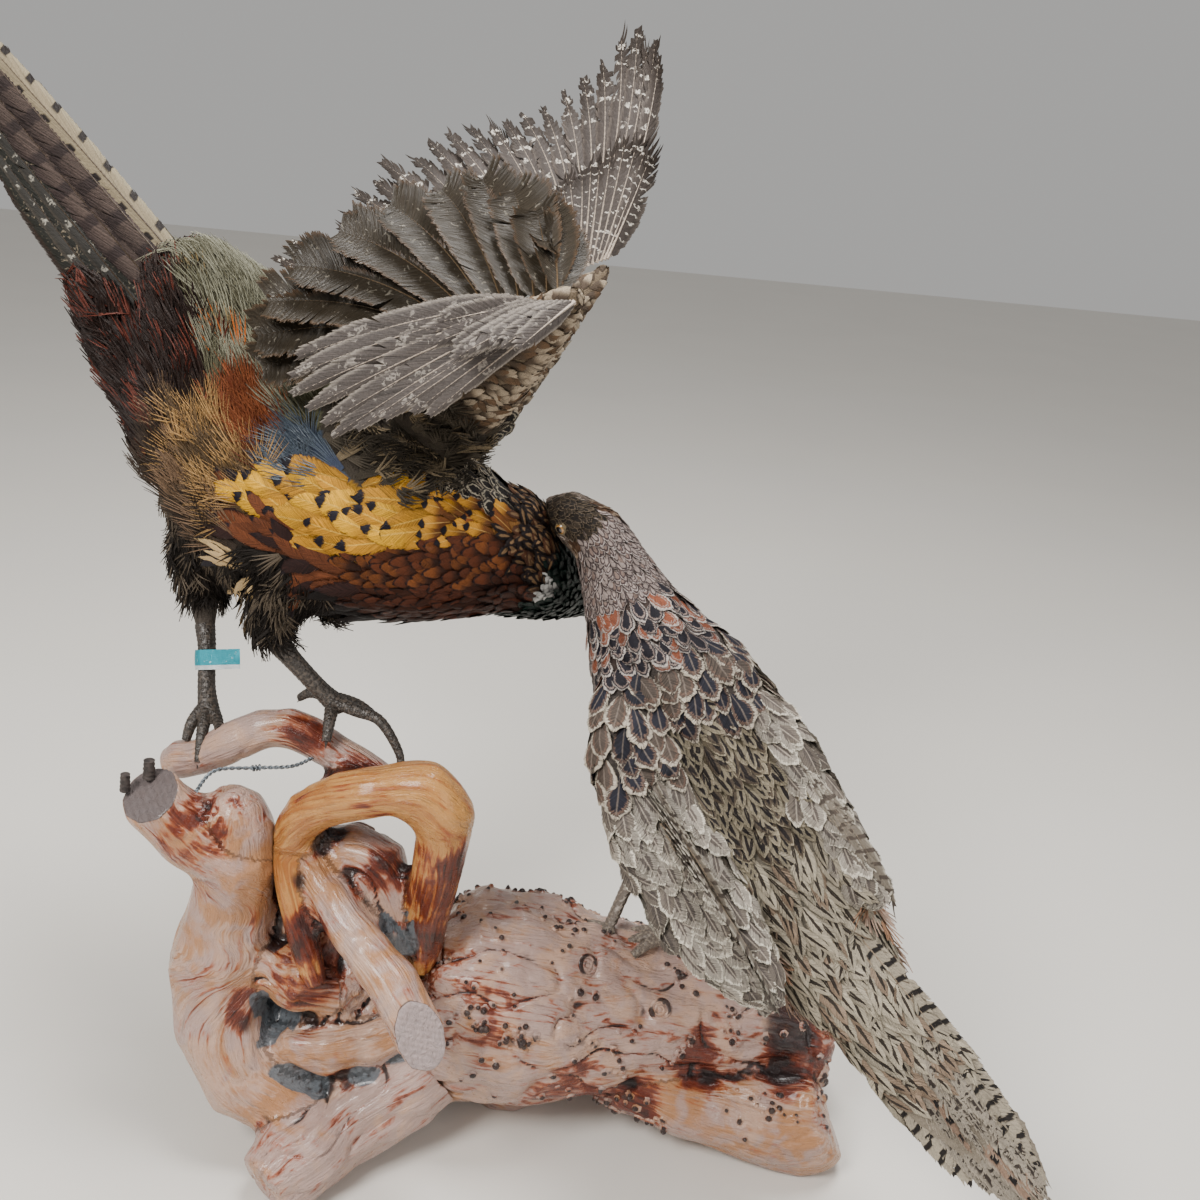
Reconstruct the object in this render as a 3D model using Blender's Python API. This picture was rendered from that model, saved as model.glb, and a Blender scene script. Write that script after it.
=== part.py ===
"""Cock and hen ring-necked pheasants mounted on one varnished root base.

Metres, +Z up, +X towards the cock's breast, the viewer's side is -Y. The
origin is in the middle of the flat on the underside of the base's log.
"""

import math

import bmesh
import bpy
from mathutils import Matrix, Vector, noise

# ---------------------------------------------------------------- driving sizes
FIT = 0.0004                 # clearance left where two pieces touch
VANE = 0.0014                # thickness of a fan of flight feathers
FLOOR_HALF = 0.6             # half width of the slab that levels the underside
SHANK = 0.0060               # radius of the cock's bare shank
TOE = 0.0050                 # radius of a toe at its root
SAW = 0.10                   # side of the block that saws a root's end off
EYE = 0.0052                 # radius of a pheasant's eye
TAIL_LENGTH = 0.445          # the cock's tail, from the rump to the longest tip
TAIL_DEEP = 0.039            # half of the folded tail where it is deepest
TAG_RADIUS = 0.0080          # the ribbon tied round the cock's far shank
TAG_WIDE = 0.015
TAG_TAIL = 0.033             # how far the ribbon's free end stands out
WIRE = 0.0011                # radius of the wire that ties the arch

VIEWER = Vector((0.0, -1.0, 0.0))
UPWARD = Vector((0.0, 0.0, 1.0))


# ---------------------------------------------------------------- finishes
def finish(name, colour, roughness, metallic=0.0):
    """A Principled material in one colour."""
    material = bpy.data.materials.new(name)
    material.use_nodes = True
    shader = material.node_tree.nodes["Principled BSDF"]
    shader.inputs["Base Color"].default_value = (*colour, 1.0)
    shader.inputs["Roughness"].default_value = roughness
    shader.inputs["Metallic"].default_value = metallic
    material.diffuse_color = (*colour, 1.0)
    return material


# ---------------------------------------------------------------- shapes
def smooth(controls, steps):
    """Points along a Catmull-Rom curve through the controls, of any size."""
    points = [Vector(control) for control in controls]
    points = [2 * points[0] - points[1]] + points + [2 * points[-1] - points[-2]]
    result = []
    for a, b, c, d in zip(points, points[1:], points[2:], points[3:]):
        for step in range(steps):
            t = step / steps
            result.append(0.5 * (2 * b + (c - a) * t + (2 * a - 5 * b + 4 * c - d) * t * t
                                 + (3 * b - a - 3 * c + d) * t ** 3))
    return result + [points[-2]]


def along_curve(curve, fraction):
    """The point at a fraction of the way along a list of points."""
    place = fraction * (len(curve) - 1)
    low = min(int(place), len(curve) - 2)
    return curve[low].lerp(curve[low + 1], place - low)


def new_object(name, mesh_maker, material):
    """Turn a bmesh into a named, smooth-shaded object with its material.

    Its faces become triangles, so that a piece and its clearance share every
    diagonal and the fit between them stays even.
    """
    bmesh.ops.recalc_face_normals(mesh_maker, faces=mesh_maker.faces)
    bmesh.ops.triangulate(mesh_maker, faces=mesh_maker.faces)
    mesh = bpy.data.meshes.new(name)
    mesh_maker.to_mesh(mesh)
    mesh_maker.free()
    mesh.shade_smooth()
    mesh.materials.append(material)
    thing = bpy.data.objects.new(name, mesh)
    bpy.context.scene.collection.objects.link(thing)
    return thing


def close_end(maker, edges):
    """Fill an end ring with triangles round its middle."""
    cap = bmesh.ops.contextual_create(maker, geom=edges)["faces"]
    bmesh.ops.poke(maker, faces=cap)


def loft(name, material, stations, side=VIEWER, sides=10, steps=2, lump=0.0):
    """A closed body through elliptical rings.

    A station is (x, y, z, half height, half width); the width lies towards
    side. Lump swells and sinks the surface like old wood.
    """
    rings = smooth(stations, steps)
    maker = bmesh.new()
    last_edges = None
    for index, ring in enumerate(rings):
        centre = ring.xyz
        ahead = rings[min(index + 1, len(rings) - 1)].xyz
        behind = rings[max(index - 1, 0)].xyz
        along = (ahead - behind).normalized()
        across = (side - along * side.dot(along)).normalized()
        over = along.cross(across)
        high, wide = max(ring[3], 0.0008), max(ring[4], 0.0008)
        frame = Matrix((across * wide, over * high, along)).transposed().to_4x4()
        frame.translation = centre
        verts = bmesh.ops.create_circle(maker, radius=1.0, segments=sides, matrix=frame)["verts"]
        for vert in verts:
            out = vert.co - centre
            vert.co += out * lump * noise.noise(vert.co * 24.0)
        edges = [edge for edge in maker.edges if edge.verts[0] in verts and edge.verts[1] in verts]
        if last_edges is None:
            close_end(maker, edges)
        else:
            bmesh.ops.bridge_loops(maker, edges=last_edges + edges)
        last_edges = edges
    close_end(maker, last_edges)
    return new_object(name, maker, material)


def tube(name, material, stations, side=VIEWER, sides=10, steps=2, lump=0.0):
    """A loft with round rings; a station is (x, y, z, radius)."""
    round_stations = [(*station, station[3]) for station in stations]
    return loft(name, material, round_stations, side, sides, steps, lump)


def feather_fan(name, material, roots, tips, count, bow, notch=0.05, rows=3):
    """A thin fan of overlapping flight feathers.

    The quills run from the roots curve to the tips curve, bow is how far
    their middles stand out, and the rim dips by notch between two tips.
    """
    root_curve, tip_curve = smooth(roots, 8), smooth(tips, 8)
    columns = 2 * count + 1
    maker = bmesh.new()
    bmesh.ops.create_grid(maker, x_segments=columns - 1, y_segments=rows, size=0.5)
    for vert in maker.verts:
        fraction, reach = vert.co.x + 0.5, vert.co.y + 0.5
        column = round(fraction * (columns - 1))
        between = column % 2 == 0
        root = along_curve(root_curve, fraction)
        tip = along_curve(tip_curve, fraction)
        reach *= 1.0 - (notch if between else 0.0)
        vert.co = root.lerp(tip, reach) + bow * (4 * reach * (1 - reach))
    fan = new_object(name, maker, material)
    sheet = fan.modifiers.new("vane thickness", 'SOLIDIFY')
    sheet.thickness = VANE
    sheet.offset = 0.0
    return fan


# ---------------------------------------------------------------- joining and parting
def guide(thing):
    """Mark an object as a cutter or an ingredient that isn't a piece."""
    thing.hide_render = True
    thing.display_type = 'WIRE'
    return thing


def boolean(target, other, operation, solver):
    """Join or cut the target with another closed body."""
    modifier = target.modifiers.new(operation.lower() + " " + other.name, 'BOOLEAN')
    modifier.operation = operation
    modifier.solver = solver
    modifier.object = other


def join(target, *others, solver='MANIFOLD'):
    """Unite the others into the target.

    Bent roots and toes cross themselves a little on the inside of a bend,
    which the exact solver leaves open and the manifold one closes.
    """
    for other in others:
        boolean(target, guide(other), 'UNION', solver)
    return target


def swollen(thing):
    """A copy of a body as it was before its cuts, larger all round by the fit."""
    copy = thing.copy()
    copy.name = thing.name + "_clearance"
    for modifier in list(copy.modifiers):
        if modifier.type == 'BOOLEAN':
            copy.modifiers.remove(modifier)
    bpy.context.scene.collection.objects.link(copy)
    swell = copy.modifiers.new("fit", 'DISPLACE')
    swell.strength = FIT
    swell.mid_level = 0.0
    return guide(copy)


def fit_to(target, *clearances, solver='MANIFOLD'):
    """Cut the target back from its neighbours."""
    for clearance in clearances:
        boolean(target, clearance, 'DIFFERENCE', solver)


def floor_slab():
    """The slab that cuts the base level at z = 0."""
    maker = bmesh.new()
    size = Matrix.Diagonal((2 * FLOOR_HALF, 2 * FLOOR_HALF, FLOOR_HALF, 1.0))
    bmesh.ops.create_cube(maker, size=1.0, matrix=Matrix.Translation((0, 0, -FLOOR_HALF / 2)) @ size)
    return guide(new_object("floor_cut", maker, finish("cut", (0.5, 0.5, 0.5), 0.5)))


def saw_cut(spot, way):
    """The block that saws an end off flat at a spot, leaving a face that looks along way."""
    maker = bmesh.new()
    place = Matrix.Translation(spot + way.normalized() * SAW / 2)
    turn = way.to_track_quat('Z', 'Y').to_matrix().to_4x4()
    bmesh.ops.create_cube(maker, size=SAW, matrix=place @ turn)
    return guide(new_object("saw_cut", maker, finish("cut", (0.5, 0.5, 0.5), 0.5)))


# ---------------------------------------------------------------- the root base
def build_base(wood):
    """The log, the burl with its two roots, and the arch that the cock stands on."""
    log = tube("base_log", wood, [
        (-0.056, 0.004, 0.100, 0.062), (-0.038, 0.003, 0.100, 0.082), (0.022, 0.010, 0.090, 0.080),
        (0.102, 0.020, 0.086, 0.064), (0.186, 0.030, 0.073, 0.051), (0.240, 0.032, 0.060, 0.042),
        (0.258, 0.033, 0.056, 0.030)], sides=16, lump=0.10)
    right_root = tube("base_log_root", wood, [
        (0.060, -0.010, 0.058, 0.020), (0.100, -0.022, 0.048, 0.025), (0.155, -0.030, 0.038, 0.029),
        (0.215, -0.035, 0.031, 0.035), (0.245, -0.036, 0.032, 0.034), (0.256, -0.036, 0.036, 0.024)],
        lump=0.10)
    log_foot = tube("base_log_foot", wood, [
        (0.0, 0.018, 0.060, 0.034), (0.0, 0.018, 0.030, 0.036), (0.0, 0.018, -0.012, 0.037)], side=-VIEWER)
    burl = tube("base_burl", wood, [
        (-0.133, -0.004, 0.225, 0.020), (-0.133, -0.002, 0.205, 0.042), (-0.134, 0.0, 0.160, 0.060),
        (-0.128, 0.0, 0.110, 0.064), (-0.118, -0.012, 0.060, 0.050), (-0.112, -0.02, 0.036, 0.026)],
        sides=12, lump=0.16)
    left_root = tube("base_left_root", wood, [
        (-0.266, -0.055, 0.302, 0.021), (-0.253, -0.051, 0.276, 0.022), (-0.230, -0.045, 0.252, 0.027),
        (-0.203, -0.041, 0.232, 0.031), (-0.207, -0.045, 0.185, 0.032), (-0.214, -0.050, 0.142, 0.035),
        (-0.210, -0.058, 0.100, 0.034), (-0.187, -0.070, 0.060, 0.031), (-0.145, -0.078, 0.042, 0.026),
        (-0.115, -0.072, 0.042, 0.018)], steps=1, lump=0.10)
    fit_to(left_root, saw_cut(Vector((-0.257, -0.056, 0.283)), Vector((-0.30, -0.48, 0.82))))
    left_knob = tube("base_left_knob", wood, [
        (-0.196, -0.038, 0.222, 0.026), (-0.204, -0.038, 0.252, 0.029), (-0.207, -0.038, 0.275, 0.022),
        (-0.208, -0.038, 0.285, 0.010)], steps=1, lump=0.12)
    back_root = tube("base_back_root", wood, [
        (-0.125, 0.018, 0.105, 0.036), (-0.138, 0.050, 0.060, 0.034), (-0.152, 0.078, 0.018, 0.032),
        (-0.160, 0.092, -0.014, 0.032)], steps=1, lump=0.12)
    foot = tube("base_foot", wood, [
        (-0.160, -0.130, 0.020, 0.024), (-0.148, -0.116, 0.026, 0.032), (-0.118, -0.083, 0.034, 0.031),
        (-0.070, -0.055, 0.055, 0.033), (-0.035, -0.030, 0.075, 0.030)], side=UPWARD, steps=1, lump=0.12)
    fold = tube("base_fold", wood, [
        (-0.184, -0.046, 0.156, 0.012), (-0.172, -0.050, 0.148, 0.022), (-0.150, -0.056, 0.143, 0.026),
        (-0.124, -0.050, 0.138, 0.024), (-0.106, -0.036, 0.132, 0.014)], side=UPWARD, sides=8, steps=1, lump=0.14)
    lobe = tube("base_lobe", wood, [
        (-0.166, -0.066, 0.094, 0.010), (-0.156, -0.066, 0.092, 0.018), (-0.128, -0.068, 0.094, 0.021),
        (-0.096, -0.062, 0.100, 0.020), (-0.070, -0.052, 0.108, 0.014)], side=UPWARD, sides=8, steps=1, lump=0.12)
    arch = tube("base_arch", wood, [
        (-0.266, -0.006, 0.284, 0.008), (-0.254, -0.006, 0.288, 0.015), (-0.234, -0.008, 0.293, 0.014),
        (-0.214, -0.009, 0.306, 0.015), (-0.191, -0.007, 0.319, 0.016), (-0.174, -0.006, 0.321, 0.016),
        (-0.157, -0.006, 0.315, 0.015), (-0.135, -0.010, 0.305, 0.014), (-0.106, -0.020, 0.295, 0.013),
        (-0.080, -0.040, 0.290, 0.011)], steps=1, lump=0.10)
    loop = tube("base_loop", wood, [
        (-0.136, -0.074, 0.154, 0.008), (-0.147, -0.064, 0.184, 0.011), (-0.158, -0.050, 0.214, 0.013),
        (-0.162, -0.036, 0.244, 0.016), (-0.150, -0.038, 0.274, 0.018), (-0.124, -0.046, 0.293, 0.018),
        (-0.092, -0.050, 0.304, 0.018), (-0.067, -0.050, 0.308, 0.021), (-0.054, -0.050, 0.290, 0.022),
        (-0.055, -0.049, 0.262, 0.019), (-0.060, -0.047, 0.222, 0.017), (-0.063, -0.043, 0.182, 0.014),
        (-0.067, -0.036, 0.148, 0.010)], steps=1, lump=0.10)
    stub = tube("base_stub", wood, [
        (-0.161, -0.030, 0.242, 0.012), (-0.117, -0.071, 0.207, 0.016), (-0.076, -0.100, 0.181, 0.018),
        (-0.053, -0.124, 0.159, 0.018), (-0.030, -0.148, 0.137, 0.018)],
        steps=1, lump=0.06)
    fit_to(stub, saw_cut(Vector((-0.053, -0.124, 0.161)), Vector((0.45, -0.85, 0.27))))
    saddle = tube("base_saddle", wood, [
        (-0.166, -0.016, 0.222, 0.012), (-0.150, -0.018, 0.228, 0.020), (-0.124, -0.022, 0.230, 0.026),
        (-0.100, -0.030, 0.228, 0.024), (-0.088, -0.040, 0.204, 0.018), (-0.080, -0.044, 0.170, 0.014)],
        sides=8, steps=1, lump=0.10)
    log_rooms = [swollen(log), swollen(right_root), swollen(log_foot)]
    burl_room, left_room, knob_room = swollen(burl), swollen(left_root), swollen(left_knob)
    join(log, right_root, log_foot, solver='EXACT')
    fold_rooms = [swollen(fold), swollen(lobe)]
    join(burl, left_root, left_knob, back_root, foot, fold, lobe)
    join(arch, loop, stub, saddle)
    fit_to(burl, *log_rooms)
    fit_to(arch, burl_room, left_room, knob_room, log_rooms[0], *fold_rooms)
    level = floor_slab()
    fit_to(log, level, solver='EXACT')
    fit_to(burl, level)
    return log, burl, arch


def build_wire(wire, base):
    """The twisted wire that ties the arch to the left root."""
    tie = tube("base_wire", wire, [
        (-0.222, -0.062, 0.296, WIRE), (-0.214, -0.046, 0.304, WIRE), (-0.190, -0.030, 0.300, WIRE),
        (-0.165, -0.026, 0.302, WIRE), (-0.150, -0.018, 0.308, WIRE)], sides=6, steps=2)
    fit_to(tie, *base)
    return tie


# ---------------------------------------------------------------- the cock
def build_cock_body(plumage, dark, horn, glass):
    """Trunk, neck, head, bill and eyes, each fitted to the one before it."""
    trunk = loft("cock_trunk", plumage, [
        (-0.008, 0.022, 0.447, 0.018, 0.018), (-0.026, 0.023, 0.452, 0.043, 0.040),
        (-0.069, 0.028, 0.462, 0.062, 0.060), (-0.127, 0.036, 0.468, 0.075, 0.071),
        (-0.178, 0.046, 0.484, 0.090, 0.074), (-0.220, 0.060, 0.522, 0.086, 0.064),
        (-0.242, 0.079, 0.572, 0.069, 0.052), (-0.264, 0.092, 0.607, 0.045, 0.042),
        (-0.280, 0.099, 0.632, 0.022, 0.024)],
        sides=14, steps=2)
    neck = loft("cock_neck", dark, [
        (-0.062, 0.026, 0.466, 0.040, 0.038), (-0.034, 0.032, 0.458, 0.050, 0.044),
        (-0.008, 0.046, 0.438, 0.040, 0.035), (0.014, 0.074, 0.419, 0.027, 0.025),
        (0.030, 0.096, 0.408, 0.020, 0.019)], side=VIEWER + Vector((0.9, 0.0, 0.0)))
    head = loft("cock_head", dark, [
        (0.022, 0.084, 0.413, 0.019, 0.016), (0.032, 0.100, 0.408, 0.022, 0.017),
        (0.043, 0.116, 0.399, 0.020, 0.017), (0.053, 0.131, 0.388, 0.013, 0.011),
        (0.058, 0.138, 0.382, 0.007, 0.006)], side=Vector((0.85, -0.5, 0.0)))
    bill = loft("cock_bill", horn, [
        (0.052, 0.130, 0.389, 0.0085, 0.0070), (0.060, 0.142, 0.379, 0.0065, 0.0052),
        (0.067, 0.153, 0.366, 0.0040, 0.0034), (0.070, 0.158, 0.358, 0.0012, 0.0012)],
        side=Vector((0.85, -0.5, 0.0)))
    eyes = []
    head_middle, head_side = Vector((0.043, 0.115, 0.403)), Vector((0.86, -0.51, 0.0))
    for label, turn in (("right", 1.0), ("left", -1.0)):
        maker = bmesh.new()
        place = Matrix.Translation(head_middle + head_side * turn * 0.0135)
        bmesh.ops.create_icosphere(maker, subdivisions=2, radius=EYE, matrix=place)
        eyes.append(new_object(f"cock_eye_{label}", maker, glass))
    fit_to(neck, swollen(trunk))
    fit_to(head, swollen(neck), *[swollen(eye) for eye in eyes])
    fit_to(bill, swollen(head))
    return trunk, neck, head


def build_cock_tail(plumage, dark, trunk):
    """The tuft under the tail, and the long folded tail with its pointed tip."""
    under = loft("cock_undertail", dark, [
        (-0.258, 0.066, 0.520, 0.034, 0.030), (-0.284, 0.072, 0.540, 0.036, 0.026),
        (-0.318, 0.084, 0.572, 0.024, 0.017), (-0.340, 0.092, 0.597, 0.013, 0.010),
        (-0.352, 0.096, 0.610, 0.003, 0.003)])
    rump, middle = Vector((-0.272, 0.090, 0.586)), Vector((-0.429, 0.164, 0.718))
    heading = (middle - rump).normalized()
    outline = ((0.0, 0.80), (0.12, 0.86), (0.3, 0.98), (0.42, 1.0), (0.62, 0.78), (0.8, 0.50),
               (0.92, 0.26), (1.0, 0.05))
    stations = []
    for reach, depth in outline:
        centre = rump + heading * (reach * TAIL_LENGTH + 0.012) + UPWARD * 0.012 * reach ** 2
        half = TAIL_DEEP * depth
        stations.append((*centre, half, 0.018 * min(depth, 0.8) + 0.001))
    tail = loft("cock_tail", plumage, stations, steps=1)
    trunk_room = swollen(trunk)
    tail_room = swollen(tail)
    fit_to(tail, trunk_room)
    fit_to(under, trunk_room, tail_room)
    return tail, under


def build_near_wing(covert, quill, trunk_room):
    """The cock's right wing, half closed, its hand hanging over the inner fan."""
    arm = loft("cock_right_wing_arm", covert, [
        (-0.088, 0.012, 0.540, 0.038, 0.018), (-0.064, -0.006, 0.573, 0.038, 0.020),
        (-0.034, -0.027, 0.606, 0.030, 0.014), (-0.009, -0.041, 0.630, 0.019, 0.010),
        (0.006, -0.050, 0.645, 0.010, 0.006), (0.013, -0.052, 0.651, 0.004, 0.004)],
        side=Vector((0.25, -1.0, 0.2)))
    secondaries = feather_fan(
        "cock_right_wing_secondaries", quill,
        [(0.000, -0.040, 0.646), (-0.042, -0.030, 0.628), (-0.090, -0.012, 0.600)],
        [(-0.008, -0.004, 0.670), (-0.028, 0.020, 0.693), (-0.061, 0.036, 0.700), (-0.118, 0.035, 0.683),
         (-0.164, 0.020, 0.645), (-0.190, 0.004, 0.605), (-0.196, -0.004, 0.570)],
        15, Vector((0.0, 0.014, 0.006)))
    primaries = feather_fan(
        "cock_right_wing_primaries", quill,
        [(0.010, -0.058, 0.646), (-0.014, -0.056, 0.642)],
        [(-0.070, -0.060, 0.570), (-0.104, -0.056, 0.562), (-0.134, -0.050, 0.554), (-0.160, -0.044, 0.572),
         (-0.150, -0.040, 0.602)],
        10, Vector((0.006, -0.004, 0.008)))
    arm_room = swollen(arm)
    fit_to(arm, trunk_room)
    fit_to(secondaries, arm_room, trunk_room)
    fit_to(primaries, arm_room, swollen(secondaries), trunk_room)
    return arm


def build_far_wing(covert, quill, trunk_room):
    """The cock's left wing, thrown up and open behind the near one."""
    arm = loft("cock_left_wing_arm", covert, [
        (-0.092, 0.080, 0.520, 0.040, 0.018), (-0.066, 0.104, 0.552, 0.040, 0.020),
        (-0.032, 0.132, 0.588, 0.030, 0.014), (-0.004, 0.158, 0.614, 0.018, 0.010),
        (0.016, 0.176, 0.632, 0.008, 0.006), (0.021, 0.184, 0.640, 0.004, 0.004)],
        side=Vector((0.3, -1.0, 0.7)))
    secondaries = feather_fan(
        "cock_left_wing_secondaries", quill,
        [(-0.008, 0.172, 0.632), (-0.060, 0.145, 0.606), (-0.118, 0.116, 0.572)],
        [(-0.066, 0.268, 0.736), (-0.117, 0.255, 0.721), (-0.172, 0.240, 0.684), (-0.202, 0.220, 0.640),
         (-0.244, 0.200, 0.621)],
        15, Vector((0.006, 0.012, 0.005)))
    primaries = feather_fan(
        "cock_left_wing_primaries", quill,
        [(0.022, 0.190, 0.646), (-0.006, 0.176, 0.635)],
        [(0.048, 0.285, 0.790), (0.029, 0.295, 0.812), (-0.015, 0.288, 0.772), (-0.062, 0.271, 0.739)],
        10, Vector((0.006, 0.012, 0.005)))
    arm_room = swollen(arm)
    fit_to(arm, trunk_room)
    fit_to(secondaries, arm_room, trunk_room)
    fit_to(primaries, arm_room, swollen(secondaries))
    return arm


def toe(name, scaly, points, sides=6):
    """One toe, thinning along its length to the claw."""
    shrink = TOE / (len(points) + 1)
    stations = [(*point, TOE - shrink * index) for index, point in enumerate(points)]
    return tube(name, scaly, stations, side=UPWARD + Vector((0.1, 0.2, 0.0)), sides=sides, steps=1)


def build_cock_leg(name, scaly, shank, toes, rooms):
    """A leg: feathered thigh, bare shank and toes, united into one piece."""
    leg = tube(name, scaly, shank, sides=8, steps=2)
    for number, points in enumerate(toes):
        join(leg, toe(f"{name}_toe_{number}", scaly, points))
    fit_to(leg, *rooms)
    return leg


def build_cock_legs(scaly, trunk_room, arch_rooms):
    """Both legs; the right one is the nearer, a step ahead."""
    build_cock_leg("cock_leg_right", scaly, [
        (-0.172, 0.012, 0.440, 0.034), (-0.184, 0.000, 0.414, 0.024), (-0.184, -0.007, 0.392, 0.012),
        (-0.167, -0.006, 0.371, SHANK), (-0.151, -0.002, 0.351, SHANK), (-0.139, 0.000, 0.339, 0.0075),
        (-0.135, 0.001, 0.335, 0.0040)], [
        [(-0.146, -0.001, 0.344), (-0.126, -0.003, 0.338), (-0.108, -0.006, 0.333), (-0.093, -0.013, 0.314),
         (-0.090, -0.018, 0.302)],
        [(-0.143, -0.001, 0.341), (-0.142, -0.015, 0.335), (-0.142, -0.025, 0.323)],
        [(-0.142, 0.004, 0.342), (-0.126, 0.012, 0.334), (-0.108, 0.015, 0.318)],
        [(-0.144, 0.002, 0.345), (-0.160, 0.009, 0.343), (-0.170, 0.013, 0.336)]],
        [trunk_room, *arch_rooms])
    build_cock_leg("cock_leg_left", scaly, [
        (-0.240, 0.060, 0.446, 0.040), (-0.251, 0.054, 0.418, 0.028), (-0.250, 0.047, 0.392, 0.013),
        (-0.243, 0.030, 0.360, SHANK), (-0.240, 0.018, 0.335, SHANK), (-0.236, 0.010, 0.319, 0.0075),
        (-0.235, 0.008, 0.313, 0.0040)], [
        [(-0.238, 0.014, 0.324), (-0.236, -0.002, 0.316), (-0.235, -0.013, 0.306), (-0.235, -0.020, 0.294)],
        [(-0.238, 0.013, 0.324), (-0.228, 0.002, 0.319), (-0.222, -0.010, 0.316)],
        [(-0.238, 0.013, 0.324), (-0.245, 0.000, 0.315), (-0.248, -0.006, 0.303)]],
        [trunk_room, *arch_rooms])


def build_tag(ribbon):
    """The ribbon round the far shank, with its free end standing out."""
    axis = Vector((-0.12, 0.40, 0.90)).normalized()
    middle = Vector((-0.2421, 0.0268, 0.3530))
    turn = axis.to_track_quat('Z', 'Y').to_matrix().to_4x4()
    frame = Matrix.Translation(middle) @ turn
    maker = bmesh.new()
    profile = [maker.verts.new((radius, 0.0, height * TAG_WIDE / 2))
               for radius, height in ((TAG_RADIUS - 0.001, -1), (TAG_RADIUS, -1), (TAG_RADIUS, 1),
                                      (TAG_RADIUS - 0.001, 1))]
    edges = [maker.edges.new((profile[i], profile[(i + 1) % 4])) for i in range(4)]
    bmesh.ops.spin(maker, geom=profile + edges, cent=(0, 0, 0), axis=(0, 0, 1), angle=math.tau,
                   steps=14, use_duplicate=False, use_merge=True)
    bmesh.ops.transform(maker, matrix=frame, verts=maker.verts)
    band = new_object("cock_leg_tag", maker, ribbon)
    free = bmesh.new()
    out = frame @ Vector((0, 0, 0))
    sideways = (axis.cross(VIEWER)).normalized()
    front = sideways.cross(axis).normalized()
    if front.dot(VIEWER) < 0:
        front.negate()
    flat = Matrix((sideways * TAG_TAIL, front * 0.0011, axis * TAG_WIDE)).transposed().to_4x4()
    flat.translation = out + front * (TAG_RADIUS - 0.0004) + sideways * (TAG_TAIL / 2 - 0.006)
    bmesh.ops.create_cube(free, size=1.0, matrix=flat)
    join(band, new_object("cock_leg_tag_end", free, ribbon))
    return band


# ---------------------------------------------------------------- the hen
def build_hen(plumage, rooms):
    """The hen, one solid: she leans forward over the log, her back to the viewer."""
    sideways = Vector((-0.064, -0.900, 0.430)).cross(Vector((0.61, -0.377, -0.70)))
    hen = loft("hen", plumage, [
        (-0.009, 0.044, 0.478, 0.010, 0.010), (-0.002, 0.040, 0.480, 0.017, 0.016),
        (0.014, 0.031, 0.486, 0.024, 0.020), (0.033, 0.024, 0.479, 0.025, 0.023),
        (0.046, 0.018, 0.460, 0.026, 0.027), (0.059, 0.009, 0.437, 0.034, 0.035),
        (0.074, -0.004, 0.413, 0.044, 0.046), (0.096, -0.010, 0.382, 0.054, 0.060),
        (0.130, -0.022, 0.337, 0.060, 0.068), (0.166, -0.044, 0.293, 0.056, 0.064),
        (0.197, -0.072, 0.256, 0.044, 0.052), (0.224, -0.098, 0.228, 0.028, 0.044),
        (0.240, -0.114, 0.214, 0.014, 0.036)],
        side=sideways, sides=10, steps=1)
    bill = loft("hen_bill", plumage, [
        (-0.004, 0.042, 0.479, 0.010, 0.009), (-0.016, 0.049, 0.472, 0.007, 0.006),
        (-0.026, 0.056, 0.462, 0.004, 0.0035), (-0.030, 0.059, 0.456, 0.0012, 0.0012)],
        side=sideways, sides=8)
    tail = loft("hen_tail", plumage, [
        (0.200, -0.090, 0.252, 0.016, 0.030), (0.238, -0.124, 0.222, 0.011, 0.032),
        (0.288, -0.148, 0.180, 0.008, 0.034), (0.330, -0.164, 0.146, 0.006, 0.029),
        (0.354, -0.173, 0.126, 0.004, 0.018), (0.363, -0.177, 0.118, 0.002, 0.006)],
        side=sideways, sides=8, steps=1)
    left_wing = loft("hen_left_wing", plumage, [
        (0.052, -0.030, 0.414, 0.010, 0.010), (0.066, -0.062, 0.372, 0.016, 0.030),
        (0.096, -0.092, 0.318, 0.015, 0.040), (0.130, -0.120, 0.274, 0.010, 0.036),
        (0.160, -0.142, 0.246, 0.006, 0.020), (0.177, -0.155, 0.232, 0.002, 0.005)],
        side=Vector((-0.62, -0.45, -0.40)), sides=8, steps=1)
    right_wing = loft("hen_right_wing", plumage, [
        (0.098, -0.020, 0.424, 0.010, 0.010), (0.124, -0.034, 0.402, 0.014, 0.026),
        (0.160, -0.056, 0.360, 0.014, 0.034), (0.200, -0.082, 0.316, 0.010, 0.030),
        (0.234, -0.096, 0.292, 0.006, 0.018), (0.246, -0.101, 0.282, 0.002, 0.005)],
        side=-sideways, sides=8, steps=1)
    join(hen, bill, tail, left_wing, right_wing)
    for number, aside in enumerate((-0.022, 0.024)):
        knee = Vector((0.118, 0.030, 0.262)) + Vector((aside, 0.0, 0.0))
        ankle = Vector((0.112, 0.042, 0.205)) + Vector((aside, 0.0, 0.0))
        sole = Vector((0.092, 0.016, 0.154)) + Vector((aside, 0.0, 0.0))
        join(hen, tube(f"hen_leg_{number}", plumage, [
            (*(knee + Vector((0.0, -0.012, 0.030))), 0.020), (*knee, 0.014), (*ankle, 0.0055),
            (*sole, 0.0050)], sides=6, steps=1))
        for way in (-0.55, 0.0, 0.55):
            reach = Vector((-math.cos(way) * 0.030, math.sin(way) * 0.030, 0.0))
            join(hen, toe(f"hen_toe_{number}_{way}", plumage, [
                sole - reach * 0.12 + UPWARD * 0.004, sole + reach * 0.55 + UPWARD * 0.001,
                sole + reach + UPWARD * -0.006], sides=5))
    fit_to(hen, *rooms)
    return hen


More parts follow.
